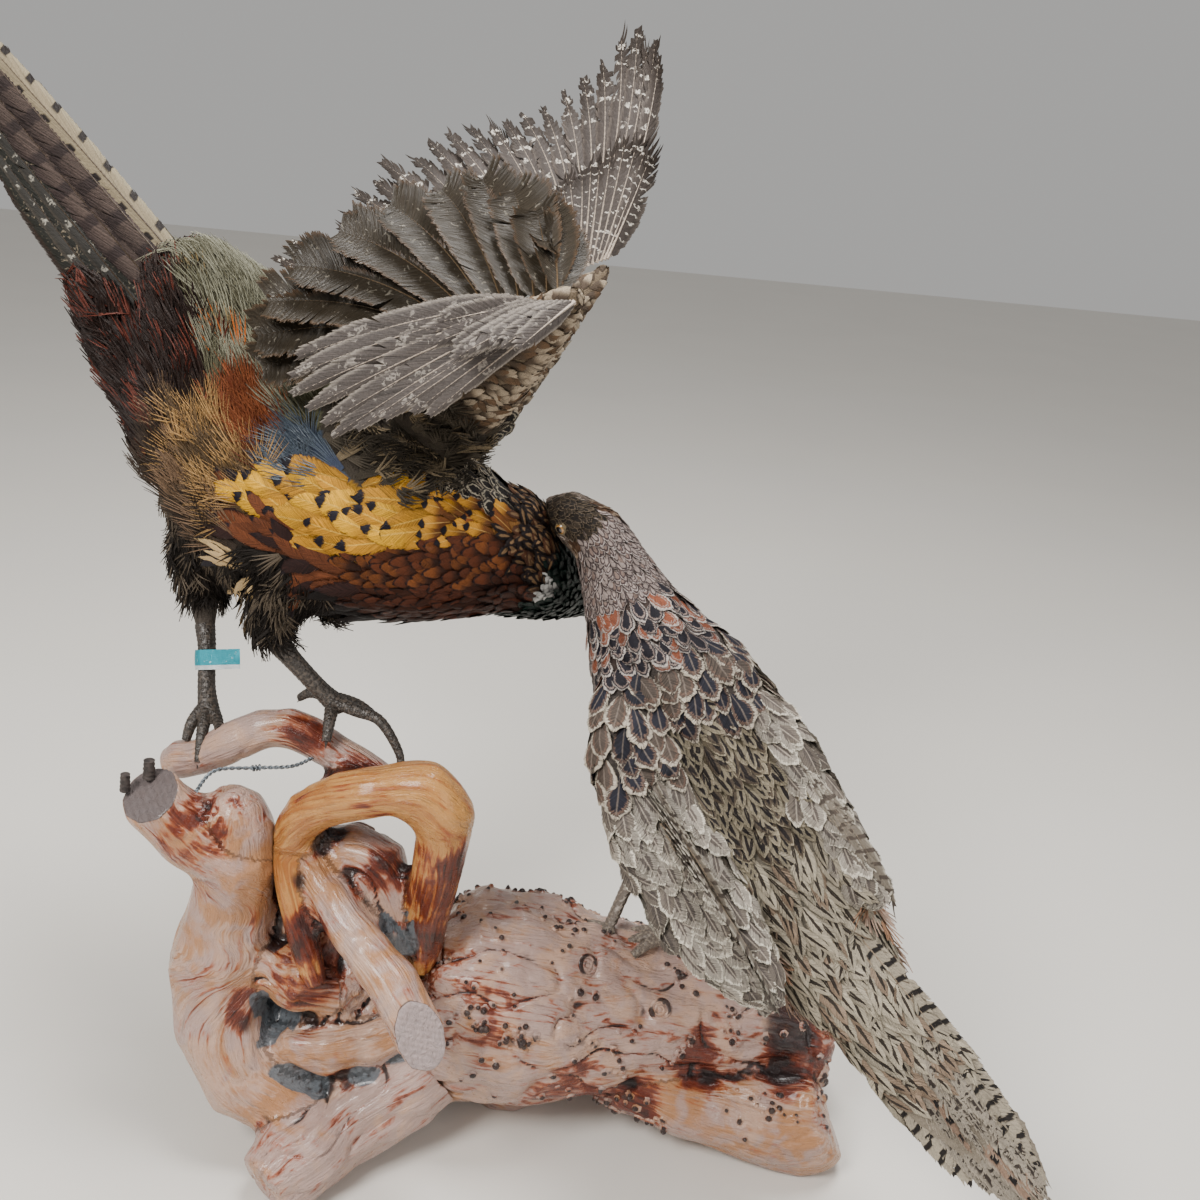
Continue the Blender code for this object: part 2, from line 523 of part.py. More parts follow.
def build():
    """Model the whole mount."""
    for thing in list(bpy.data.objects):
        bpy.data.objects.remove(thing)
    wood = finish("varnished_root", (0.42, 0.20, 0.11), 0.25)
    coat = finish("cock_plumage", (0.45, 0.22, 0.06), 0.7)
    dark = finish("dark_plumage", (0.03, 0.03, 0.035), 0.55)
    covert = finish("wing_covert", (0.35, 0.27, 0.19), 0.75)
    quill = finish("flight_feathers", (0.24, 0.20, 0.16), 0.6)
    hen_coat = finish("hen_plumage", (0.42, 0.35, 0.27), 0.75)
    scaly = finish("leg_scale", (0.12, 0.09, 0.07), 0.6)
    horn = finish("horn", (0.45, 0.40, 0.28), 0.4)
    glass = finish("eye_glass", (0.10, 0.03, 0.01), 0.08)
    ribbon = finish("ribbon", (0.02, 0.36, 0.50), 0.35)
    wire = finish("wire", (0.35, 0.34, 0.33), 0.4, 1.0)
    log, burl, arch = build_base(wood)
    wood_rooms = [swollen(bpy.data.objects[name]) for name in
                  ("base_log", "base_burl", "base_left_root", "base_arch", "base_loop")]
    build_wire(wire, wood_rooms[1:])
    trunk, neck, head = build_cock_body(coat, dark, horn, glass)
    trunk_room = swollen(trunk)
    build_cock_tail(coat, dark, trunk)
    build_near_wing(covert, quill, trunk_room)
    build_far_wing(covert, quill, trunk_room)
    build_cock_legs(scaly, trunk_room, wood_rooms[2:])
    build_tag(ribbon)
    build_hen(hen_coat, [wood_rooms[0], trunk_room, swollen(neck), swollen(head)])


build()
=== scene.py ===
"""The looks of two mounted ring-necked pheasants on one varnished root base.

Metres, +Z up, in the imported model's own frame. One skin for each bird is cut
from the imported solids. Feathers are closed slivers, laid over the skins along
the lie of the coat, and every long wing and tail feather is built by itself
from a shaft and its locks of barbs.
"""

import logging
import math
from dataclasses import dataclass, field, replace
from enum import Enum
from functools import cached_property

import bmesh
import bpy
import numpy as np
from mathutils import Matrix, Vector, noise
from mathutils.bvhtree import BVHTree
from mathutils.kdtree import KDTree


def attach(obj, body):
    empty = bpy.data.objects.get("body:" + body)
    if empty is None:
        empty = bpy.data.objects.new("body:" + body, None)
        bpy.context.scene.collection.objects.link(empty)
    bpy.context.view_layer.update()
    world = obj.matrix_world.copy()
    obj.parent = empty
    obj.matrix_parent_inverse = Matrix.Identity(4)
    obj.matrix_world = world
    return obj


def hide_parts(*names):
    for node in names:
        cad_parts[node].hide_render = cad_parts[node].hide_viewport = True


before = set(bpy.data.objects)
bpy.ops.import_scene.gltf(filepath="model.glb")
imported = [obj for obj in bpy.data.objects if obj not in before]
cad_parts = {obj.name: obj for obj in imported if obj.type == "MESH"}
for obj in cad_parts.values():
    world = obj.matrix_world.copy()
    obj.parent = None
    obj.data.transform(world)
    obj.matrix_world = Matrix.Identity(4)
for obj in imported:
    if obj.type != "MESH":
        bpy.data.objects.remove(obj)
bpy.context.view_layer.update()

LOG = logging.getLogger("pheasants")
Colour = tuple[float, float, float]
Point = tuple[float, float, float]

SEED = 2906                  # every random draw starts from here
PATCH = 0.003                # side of one feather's patch on the bake map
SHARP = math.radians(55.0)   # edges of a sliver stay crisp above this angle
SAME = 1e-6                  # points closer than this are joined
TINY = 1e-9                  # keeps a division safe
VIEW_SIDE = (0.0, -1.0, 0.0)
UP = (0.0, 0.0, 1.0)


# ------------------------------------------------------------------ plain geometry
def unit(vectors: np.ndarray) -> np.ndarray:
    """Scales vectors to length one.

    Args:
        vectors: An array whose last axis holds x, y and z.

    Returns:
        The same directions with length one.
    """
    return vectors / np.maximum(np.linalg.norm(vectors, axis=-1, keepdims=True), TINY)


def ease(low: float, high: float, value: np.ndarray) -> np.ndarray:
    """Rises smoothly from 0 at low to 1 at high.

    Args:
        low: Where the rise starts.
        high: Where it ends.
        value: The values to read the rise at.

    Returns:
        The rise at each value.
    """
    t = np.clip((value - low) / (high - low), 0.0, 1.0)
    return t * t * (3.0 - 2.0 * t)


def curve_through(points: "np.ndarray | tuple | list", count: int) -> np.ndarray:
    """A smooth curve through rows of numbers of any width.

    Args:
        points: The rows that the curve passes.
        count: How many rows to return.

    Returns:
        The curve as an array of count rows.
    """
    rows = np.asarray(points, float)
    at = np.linspace(0.0, len(rows) - 1.0, count)
    low = np.clip(at.astype(int), 0, len(rows) - 2)
    t = (at - low)[:, None]
    before, start = rows[np.maximum(low - 1, 0)], rows[low]
    end, after = rows[low + 1], rows[np.minimum(low + 2, len(rows) - 1)]
    cubic = 3 * start - before - 3 * end + after
    square = 2 * before - 5 * start + 4 * end - after
    return 0.5 * (2 * start + (end - before) * t + square * t**2 + cubic * t**3)


def read_at(rows: np.ndarray, fraction: np.ndarray) -> np.ndarray:
    """Reads a row table at fractions of its length.

    Args:
        rows: The table, one row for each even step.
        fraction: Where to read, from 0 to 1, in any shape.

    Returns:
        The rows between the nearest two, in the shape of fraction.
    """
    place = np.clip(fraction, 0.0, 1.0) * (len(rows) - 1)
    low = np.minimum(place.astype(int), len(rows) - 2)
    t = (place - low)[..., None]
    return rows[low] * (1.0 - t) + rows[low + 1] * t


def profile(stops: tuple[tuple[float, float], ...], at: np.ndarray) -> np.ndarray:
    """Reads a broken line of (place, value) stops at many places."""
    places, values = zip(*stops)
    return np.interp(at, places, values)


@dataclass(frozen=True)
class Station:
    """One place on a chain: its middle, the way its back faces and its coat's depth."""

    x: float
    y: float
    z: float
    back: Point = UP
    depth: float = 0.003

    def row(self) -> tuple[float, ...]:
        """The station as seven numbers."""
        return (self.x, self.y, self.z, *self.back, self.depth)


@dataclass(frozen=True)
class Places:
    """Where spots lie on a chain."""

    along: np.ndarray
    around: np.ndarray
    heading: np.ndarray
    near: np.ndarray
    depth: np.ndarray


@dataclass(frozen=True)
class Chain:
    """The middle line of a limb or body, against which places on it are told.

    Sheet is the chain's own rectangle on the bake map: left, low, right, high.
    Weight below one makes the chain claim more of the skin round it.
    """

    name: str
    stations: tuple[Station, ...]
    sheet: tuple[float, float, float, float]
    weight: float = 1.0

    @cached_property
    def rows(self) -> np.ndarray:
        """The smoothed stations."""
        return curve_through([station.row() for station in self.stations], 90)

    @cached_property
    def lengths(self) -> np.ndarray:
        """The distance along the line to each row."""
        steps = np.linalg.norm(np.diff(self.rows[:, :3], axis=0), axis=1)
        return np.concatenate(([0.0], np.cumsum(steps)))

    def locate(self, spots: np.ndarray) -> Places:
        """Tells where spots lie on the chain.

        Args:
            spots: Points, one to a row.

        Returns:
            Metres along, degrees round from the back, heading, distance and depth.
        """
        line = self.rows[:, :3]
        headings = unit(np.gradient(line, axis=0))
        gaps = np.linalg.norm(spots[:, None, :] - line[None], axis=2)
        nearest = gaps.argmin(axis=1)
        heading = headings[nearest]
        back = self.rows[nearest, 3:6]
        back = unit(back - heading * (back * heading).sum(1, keepdims=True))
        side = np.cross(heading, back)
        out = spots - line[nearest]
        around = np.degrees(np.arctan2((out * side).sum(1), (out * back).sum(1)))
        near = gaps.min(axis=1) * self.weight
        return Places(self.lengths[nearest], around, heading, near, self.rows[nearest, 6])


class Form:
    """A closed shape built ring by ring from bmesh operators."""

    def __init__(self) -> None:
        """Starts an empty shape."""
        self.maker = bmesh.new()

    def sweep(self, rings: np.ndarray, side: Point, segments: int) -> None:
        """Adds a closed body through elliptical rings.

        Args:
            rings: Rows of x, y, z, half height and half width.
            side: The direction that a ring's width lies towards.
            segments: Corners on a ring.
        """
        rows = [Vector(row[:3]) for row in rings]
        last = None
        for index, row in enumerate(rings):
            along = rows[min(index + 1, len(rows) - 1)] - rows[max(index - 1, 0)]
            along.normalize()
            across = (Vector(side) - along * along.dot(Vector(side))).normalized()
            over = along.cross(across)
            turn = Matrix((across * row[4], over * row[3], along)).transposed().to_4x4()
            turn.translation = rows[index]
            corners = bmesh.ops.create_circle(
                self.maker, radius=1.0, segments=segments, matrix=turn)["verts"]
            edges = list({edge for corner in corners for edge in corner.link_edges})
            if last is None:
                self.close(edges)
            else:
                bmesh.ops.bridge_loops(self.maker, edges=last + edges)
            last = edges
        self.close(last)

    def close(self, edges: list) -> None:
        """Closes a ring of edges with a fan of triangles."""
        cap = bmesh.ops.contextual_create(self.maker, geom=edges)["faces"]
        bmesh.ops.poke(self.maker, faces=cap)

    def ball(self, centre: Point, radii: Point, turn: Matrix, segments: int = 20) -> None:
        """Adds a stretched ball."""
        place = Matrix.Translation(centre) @ turn.to_4x4() @ Matrix.Diagonal((*radii, 1.0))
        bmesh.ops.create_uvsphere(self.maker, u_segments=segments,
                                  v_segments=segments // 2, radius=1.0, matrix=place)

    def hoop(self, centre: Vector, axis: Vector, radius: float, thick: float,
             steps: int = 28) -> None:
        """Adds a closed ring of round section.

        Args:
            centre: The middle of the ring.
            axis: The way the ring faces.
            radius: From the middle to the section's middle.
            thick: The section's radius.
            steps: Steps round the ring.
        """
        axis = axis.normalized()
        out = axis.orthogonal().normalized()
        turn = Matrix((out, axis, out.cross(axis))).transposed().to_4x4()
        turn.translation = centre + out * radius
        corners = bmesh.ops.create_circle(self.maker, radius=thick, segments=8,
                                          matrix=turn)["verts"]
        edges = list({edge for corner in corners for edge in corner.link_edges})
        bmesh.ops.spin(self.maker, geom=corners + edges, cent=centre, axis=axis,
                       angle=math.tau, steps=steps, use_merge=True)

    def finish(self, name: str, smooth: bool = True) -> bpy.types.Object:
        """Turns the shape into an object.

        Args:
            name: The object's name.
            smooth: Whether its faces are shaded smooth.

        Returns:
            The new object at the origin.
        """
        bmesh.ops.remove_doubles(self.maker, verts=self.maker.verts, dist=SAME)
        bmesh.ops.recalc_face_normals(self.maker, faces=self.maker.faces)
        mesh = bpy.data.meshes.new(name)
        self.maker.to_mesh(mesh)
        self.maker.free()
        if smooth:
            mesh.shade_smooth()
            mesh.set_sharp_from_angle(angle=SHARP)
        return place(name, mesh)


def place(name: str, mesh: bpy.types.Mesh) -> bpy.types.Object:
    """Puts a mesh in the scene.

    Args:
        name: The object's name.
        mesh: Its mesh.

    Returns:
        The new object at the origin.
    """
    thing = bpy.data.objects.new(name, mesh)
    bpy.context.scene.collection.objects.link(thing)
    return thing


def settle(thing: bpy.types.Object, material: bpy.types.Material, slot: str,
           *nodes: str) -> bpy.types.Object:
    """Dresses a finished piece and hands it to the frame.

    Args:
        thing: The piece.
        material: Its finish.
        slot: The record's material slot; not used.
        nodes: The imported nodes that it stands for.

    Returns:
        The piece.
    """
    if material is not None:
        thing.data.materials.clear()
        thing.data.materials.append(material)
    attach(thing, "root")
    if nodes:
        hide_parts(*nodes)
    thing.data.calc_loop_triangles()
    LOG.info("%s: %d triangles", thing.name, len(thing.data.loop_triangles))
    return thing


def carved(name: str, nodes: tuple[str, ...], voxel: float) -> bpy.types.Object:
    """One even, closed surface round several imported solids.

    Args:
        name: The new object's name.
        nodes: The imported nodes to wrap.
        voxel: The grid that the surface is rebuilt on.

    Returns:
        The new object.
    """
    maker = bmesh.new()
    for node in nodes:
        maker.from_mesh(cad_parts[node].data)
    bmesh.ops.remove_doubles(maker, verts=maker.verts, dist=SAME)
    mesh = bpy.data.meshes.new(name)
    maker.to_mesh(mesh)
    maker.free()
    thing = place(name, mesh)
    regrid(thing, voxel)
    return thing


def regrid(thing: bpy.types.Object, voxel: float) -> None:
    """Rebuilds an object's surface on an even grid.

    Args:
        thing: The object to change.
        voxel: The grid's step, in metres.
    """
    remesh = thing.modifiers.new("even grid", 'REMESH')
    remesh.mode = 'VOXEL'
    remesh.voxel_size = voxel
    even = bpy.data.meshes.new_from_object(
        thing.evaluated_get(bpy.context.evaluated_depsgraph_get()))
    thing.modifiers.clear()
    thing.data = even
    even.materials.clear()


def fillet(thing: bpy.types.Object, reach: float, voxel: float) -> None:
    """Fills the creases where roots meet, by swelling the surface and drawing it back.

    Args:
        thing: The object to change.
        reach: How far the surface is swollen, in metres.
        voxel: The grid that the swollen surface is rebuilt on.
    """
    move_to(thing.data, points_of(thing.data) + normals_of(thing.data) * reach)
    regrid(thing, voxel)
    relax(thing.data, 3)
    move_to(thing.data, points_of(thing.data) - normals_of(thing.data) * reach)


def means(mesh: bpy.types.Mesh, values: np.ndarray) -> np.ndarray:
    """Averages each point's neighbours.

    Args:
        mesh: The mesh whose edges tell the neighbours.
        values: One row to a point.

    Returns:
        The neighbours' mean, one row to a point.
    """
    pairs = np.empty(len(mesh.edges) * 2, np.int32)
    mesh.edges.foreach_get("vertices", pairs)
    pairs = pairs.reshape(-1, 2)
    start = np.concatenate((pairs[:, 0], pairs[:, 1]))
    end = np.concatenate((pairs[:, 1], pairs[:, 0]))
    count = np.maximum(np.bincount(start, minlength=len(values)), 1)
    columns = [np.bincount(start, weights=values[end, k], minlength=len(values)) / count
               for k in range(values.shape[1])]
    return np.stack(columns, axis=1)


def smooth_form(mesh: bpy.types.Mesh, rounds: int) -> None:
    """Takes facets off a surface without thinning it.

    Args:
        mesh: The mesh to change.
        rounds: How often it is smoothed in and drawn back out.
    """
    spots = points_of(mesh)
    for _ in range(rounds):
        for share in (0.60, -0.62):
            spots = spots + (means(mesh, spots) - spots) * share
    move_to(mesh, spots)


def relax(mesh: bpy.types.Mesh, rounds: int) -> None:
    """Smooths a mesh's points towards their neighbours.

    Args:
        mesh: The mesh to change.
        rounds: How often it is smoothed.
    """
    maker = bmesh.new()
    maker.from_mesh(mesh)
    for _ in range(rounds):
        bmesh.ops.smooth_vert(maker, verts=maker.verts, factor=0.5,
                              use_axis_x=True, use_axis_y=True, use_axis_z=True)
    maker.to_mesh(mesh)
    maker.free()


def points_of(mesh: bpy.types.Mesh, key: str = "co") -> np.ndarray:
    """Reads the mesh's points.

    Args:
        mesh: The mesh to read.
        key: What to read of each point.

    Returns:
        One row to a point.
    """
    flat = np.empty(len(mesh.vertices) * 3, np.float32)
    mesh.vertices.foreach_get(key, flat)
    return flat.reshape(-1, 3).astype(float)


def normals_of(mesh: bpy.types.Mesh) -> np.ndarray:
    """The mesh's point normals, one to a row."""
    return points_of(mesh, "normal")


def move_to(mesh: bpy.types.Mesh, points: np.ndarray) -> None:
    """Moves the mesh's points."""
    mesh.vertices.foreach_set("co", points.astype(np.float32).ravel())
    mesh.update()


def write_value(mesh: bpy.types.Mesh, name: str, values: np.ndarray) -> None:
    """Stores one number, or x, y and z, for each point.

    Args:
        mesh: The mesh to write on.
        name: What the values are called.
        values: One number or one row to a point.
    """
    kind = 'FLOAT' if values.ndim == 1 else 'FLOAT_VECTOR'
    layer = mesh.attributes.new(name, kind, 'POINT')
    key = "value" if values.ndim == 1 else "vector"
    layer.data.foreach_set(key, values.astype(np.float32).ravel())


def hollows(mesh: bpy.types.Mesh, rounds: int) -> np.ndarray:
    """How far each point lies in a hollow, in metres, from smoothing the surface.

    Args:
        mesh: The mesh to read.
        rounds: How wide the smoothing reaches.

    Returns:
        Positive numbers in hollows and negative ones on ridges.
    """
    start = points_of(mesh)
    even = start
    for _ in range(rounds):
        even = means(mesh, even)
    return ((even - start) * normals_of(mesh)).sum(axis=1)


# ------------------------------------------------------------------ shader toolkit
class Socket:
    """A number, colour or vector in a node tree that Python's operators work on."""

    def __init__(self, shader: "Shader", plug: bpy.types.NodeSocket) -> None:
        """Wraps an output socket."""
        self.shader = shader
        self.plug = plug

    def maths(self, operation: str, *values: "Socket | float") -> "Socket":
        """Adds a Math node."""
        inputs = dict(enumerate(values))
        return self.shader.node("ShaderNodeMath", {"operation": operation}, inputs)

    def __add__(self, other: "Socket | float") -> "Socket":
        """Sum."""
        return self.maths('ADD', self, other)

    def __radd__(self, other: float) -> "Socket":
        """Sum with a plain number first."""
        return self.maths('ADD', other, self)

    def __sub__(self, other: "Socket | float") -> "Socket":
        """Difference."""
        return self.maths('SUBTRACT', self, other)

    def __rsub__(self, other: float) -> "Socket":
        """Difference from a plain number."""
        return self.maths('SUBTRACT', other, self)

    def __mul__(self, other: "Socket | float") -> "Socket":
        """Product."""
        return self.maths('MULTIPLY', self, other)

    def __truediv__(self, other: "Socket | float") -> "Socket":
        """Quotient."""
        return self.maths('DIVIDE', self, other)

    def __pow__(self, power: float) -> "Socket":
        """Power."""
        return self.maths('POWER', self, power)

    def size(self) -> "Socket":
        """The number without its sign."""
        return self.maths('ABSOLUTE', self)

    def wave(self) -> "Socket":
        """Its sine."""
        return self.maths('SINE', self)

    def cycle(self) -> "Socket":
        """Its fractional part."""
        return self.maths('FRACT', self)

    def most(self, other: "Socket | float") -> "Socket":
        """The larger of two."""
        return self.maths('MAXIMUM', self, other)

    def rise(self, low: "Socket | float", high: "Socket | float") -> "Socket":
        """Rises smoothly from 0 at low to 1 at high."""
        return self.shader.node(
            "ShaderNodeMapRange", {"interpolation_type": 'SMOOTHSTEP'},
            {"Value": self, "From Min": low, "From Max": high})

    def fall(self, low: "Socket | float", high: "Socket | float") -> "Socket":
        """Falls smoothly from 1 at low to 0 at high."""
        return 1.0 - self.rise(low, high)


class Shader:
    """A Principled material under construction."""

    def __init__(self, name: str) -> None:
        """Starts a material.

        Args:
            name: The material's name.
        """
        self.material = bpy.data.materials.new(name)
        self.material.use_nodes = True
        self.tree = self.material.node_tree
        self.surface = self.tree.nodes["Principled BSDF"]

    def node(self, kind: str, settings: dict | None = None,
             inputs: dict | None = None, output: int | str = 0) -> Socket:
        """Adds any node.

        Args:
            kind: The node's type name.
            settings: Its properties; stops fills a colour ramp.
            inputs: A value or Socket for each input, by name or number.
            output: Which output to return.

        Returns:
            The chosen output.
        """
        node = self.tree.nodes.new(kind)
        for key, value in (settings or {}).items():
            if key == "stops":
                while len(node.color_ramp.elements) < len(value):
                    node.color_ramp.elements.new(0.5)
                for element, (place_on, colour) in zip(node.color_ramp.elements, value):
                    element.position = place_on
                    element.color = (*colour, 1.0)
            else:
                setattr(node, key, value)
        for key, value in (inputs or {}).items():
            self.feed(node.inputs[key], value)
        return Socket(self, node.outputs[output])

    def feed(self, plug: bpy.types.NodeSocket, value: "Socket | Colour | float") -> None:
        """Links a Socket to an input, or sets its value.

        Args:
            plug: The input.
            value: What it gets.
        """
        if isinstance(value, Socket):
            self.tree.links.new(value.plug, plug)
        elif isinstance(value, tuple) and len(value) == 3 and plug.type == 'RGBA':
            plug.default_value = (*value, 1.0)
        else:
            plug.default_value = value

    def mix(self, first: "Socket | Colour", second: "Socket | Colour",
            factor: "Socket | float") -> Socket:
        """Blends two colours by a factor."""
        return self.node("ShaderNodeMix", {"data_type": 'RGBA'},
                         {0: factor, 6: first, 7: second}, output=2)

    def plain(self, colour: Colour) -> Socket:
        """One colour all over."""
        return self.mix(colour, colour, 0.0)

    def scale(self, colour: Socket, factor: "Socket | float") -> Socket:
        """Makes a colour brighter or darker."""
        return self.node("ShaderNodeVectorMath", {"operation": 'SCALE'},
                         {0: colour, "Scale": factor})

    def noise(self, vector: Socket, scale: float, detail: float = 2.0,
              distortion: float = 0.0) -> Socket:
        """A cloudy value from 0 to 1."""
        return self.node("ShaderNodeTexNoise", {}, {
            "Vector": vector, "Scale": scale, "Detail": detail,
            "Distortion": distortion})

    def cells(self, vector: Socket, scale: float) -> Socket:
        """Distance inside scattered cells."""
        return self.node("ShaderNodeTexVoronoi", {}, {"Vector": vector, "Scale": scale})

    def join(self, x: "Socket | float", y: "Socket | float", z: "Socket | float") -> Socket:
        """A vector from three numbers."""
        return self.node("ShaderNodeCombineXYZ", {}, {0: x, 1: y, 2: z})

    def stretched(self, vector: Socket, scale: Point) -> Socket:
        """A vector with its axes scaled."""
        return self.node("ShaderNodeMapping", {}, {"Vector": vector, "Scale": scale})

    def coordinates(self) -> Socket:
        """Object coordinates."""
        return self.node("ShaderNodeTexCoord", output="Object")

    def value(self, name: str) -> Socket:
        """A number stored on the mesh."""
        return self.node("ShaderNodeAttribute", {"attribute_name": name}, output="Fac")

    def vector(self, name: str) -> Socket:
        """A vector stored on the mesh."""
        return self.node("ShaderNodeAttribute", {"attribute_name": name}, output="Vector")

    def colour(self, name: str) -> Socket:
        """A colour stored on the mesh."""
        return self.node("ShaderNodeAttribute", {"attribute_name": name}, output="Color")

    def split(self, vector: Socket) -> tuple[Socket, ...]:
        """A vector's three numbers.

        Args:
            vector: The vector to take apart.

        Returns:
            Its x, y and z.
        """
        node = self.tree.nodes.new("ShaderNodeSeparateXYZ")
        self.feed(node.inputs[0], vector)
        return tuple(Socket(self, plug) for plug in node.outputs)

    def across_and_along(self) -> tuple[Socket, ...]:
        """The two coordinates of a feather: across its vane and along its shaft."""
        return self.split(self.node("ShaderNodeUVMap", {"uv_map": "Vane"}))[:2]

    def done(self, colour: Socket, roughness: "Socket | float", height: Socket | None = None,
             strength: float = 0.4, lift: float = 0.001,
             **constants: "Socket | float") -> bpy.types.Material:
        """Links the surface.

        Args:
            colour: The base colour.
            roughness: A Socket or a number.
            height: What the bump follows.
            strength: The bump's strength.
            lift: The bump's height in metres.
            constants: More of the shader's own inputs, words joined by underscores.

        Returns:
            The finished material.
        """
        self.feed(self.surface.inputs["Base Color"], colour)
        self.feed(self.surface.inputs["Roughness"], roughness)
        if height is not None:
            bump = self.node("ShaderNodeBump", {}, {
                "Height": height, "Strength": strength, "Distance": lift})
            self.feed(self.surface.inputs["Normal"], bump)
        for key, value in constants.items():
            self.feed(self.surface.inputs[key.replace("_", " ")], value)
        return self.material


# ------------------------------------------------------------------ finishes
@dataclass(frozen=True)
class Band:
    """A band of colour in a feather, from ring 0 in its middle to ring 1 at its rim.

    Narrow above one draws the rings in towards the shaft, as for a dagger.
    """

    inner: float
    outer: float
    colour: Colour
    narrow: float = 1.0


@dataclass(frozen=True)
class VaneFinish:
    """A small feather: its ground, its bands, its tip mark and its shaft.

    Some feathers, a share of them, are of the other colour. Streak is how
    strongly the barbs show and fray how ragged the rim is.
    """

    name: str
    base: Colour
    bands: tuple[Band, ...] = ()
    tip: Colour | None = None
    tip_from: float = 0.80
    shaft: Colour | None = None
    other: Colour | None = None
    share: float = 0.25
    root: Colour | None = None
    streak: float = 0.35
    roughness: float = 0.62
    metallic: float = 0.0
    tip_curve: float = 0.08
    fray: float = 0.9

    def build(self) -> bpy.types.Material:
        """Builds the feather's material.

        Returns:
            The finished material.
        """
        shader = Shader(self.name)
        across, along = shader.across_and_along()
        side = (across * 2.0 - 1.0).size()
        tint, kind = shader.value("Tint"), shader.value("Kind")
        strand = shader.noise(shader.join(along * 34.0 - side * 9.0, across.rise(0.49, 0.51) * 5.0,
                                          tint * 41.0), 1.0, 2.0)
        ahead = ((along - 0.45) / 0.55).most(0.0)
        cloud = shader.noise(shader.coordinates(), 420.0, 2.0)
        uneven = (cloud - 0.5) * 0.34 + (strand - 0.5) * 0.55
        shift = uneven + (tint - 0.5) * 0.20
        colour = shader.plain(self.base)
        if self.other is not None:
            colour = shader.mix(colour, self.other, kind.rise(1.0 - self.share, 1.02 - self.share))
        if self.root is not None:
            colour = shader.mix(colour, self.root, along.fall(0.25, 0.6))
        for band in self.bands:
            drawn = side * band.narrow
            ring = (drawn * drawn + ahead * ahead) ** 0.5 + shift
            mask = ring.rise(band.inner - 0.05, band.inner + 0.05) * ring.fall(
                band.outer - 0.05, band.outer + 0.05)
            colour = shader.mix(colour, band.colour, mask)
        if self.shaft is not None:
            colour = shader.mix(colour, self.shaft, side.fall(0.03, 0.09) * 0.6)
        if self.tip is not None:
            edge = along - side * side * self.tip_curve + uneven * 0.22
            colour = shader.mix(colour, self.tip, edge.rise(self.tip_from - 0.02, self.tip_from + 0.02))
        grain = shader.noise(shader.coordinates(), 1500.0, 3.0)
        light = 1.0 + ((strand - 0.5) * 2.4 + (grain - 0.5) * 1.2) * self.streak + (tint - 0.5) * 0.45
        colour = shader.scale(colour, light.most(0.12))
        facts = {"Metallic": self.metallic, "Specular_IOR_Level": 0.14}
        if self.fray:
            end = shader.noise(shader.join(across * 11.0, tint * 41.0, 7.0), 1.0, 1.0)
            rim = side + (strand - 0.5) * self.fray
            tips = along + (end - 0.5) * self.fray * 0.26
            facts["Alpha"] = rim.fall(0.86, 0.92) * tips.fall(0.95, 0.98)
        return shader.done(colour, self.roughness + (grain - 0.5) * 0.3, strand, 0.55, 0.0009, **facts)


class Marks(Enum):
    """What is drawn on a long feather besides its ground."""

    PLAIN = "plain"
    FLECKS = "pale flecks beside the shaft"
    BARS = "dark bars from the rim inwards"
    CROSS = "dark bars right across"
    SPOTS = "dark spots with a warm edge, beside the shaft"
    DASHES = "short crooked pale bars beside the shaft"


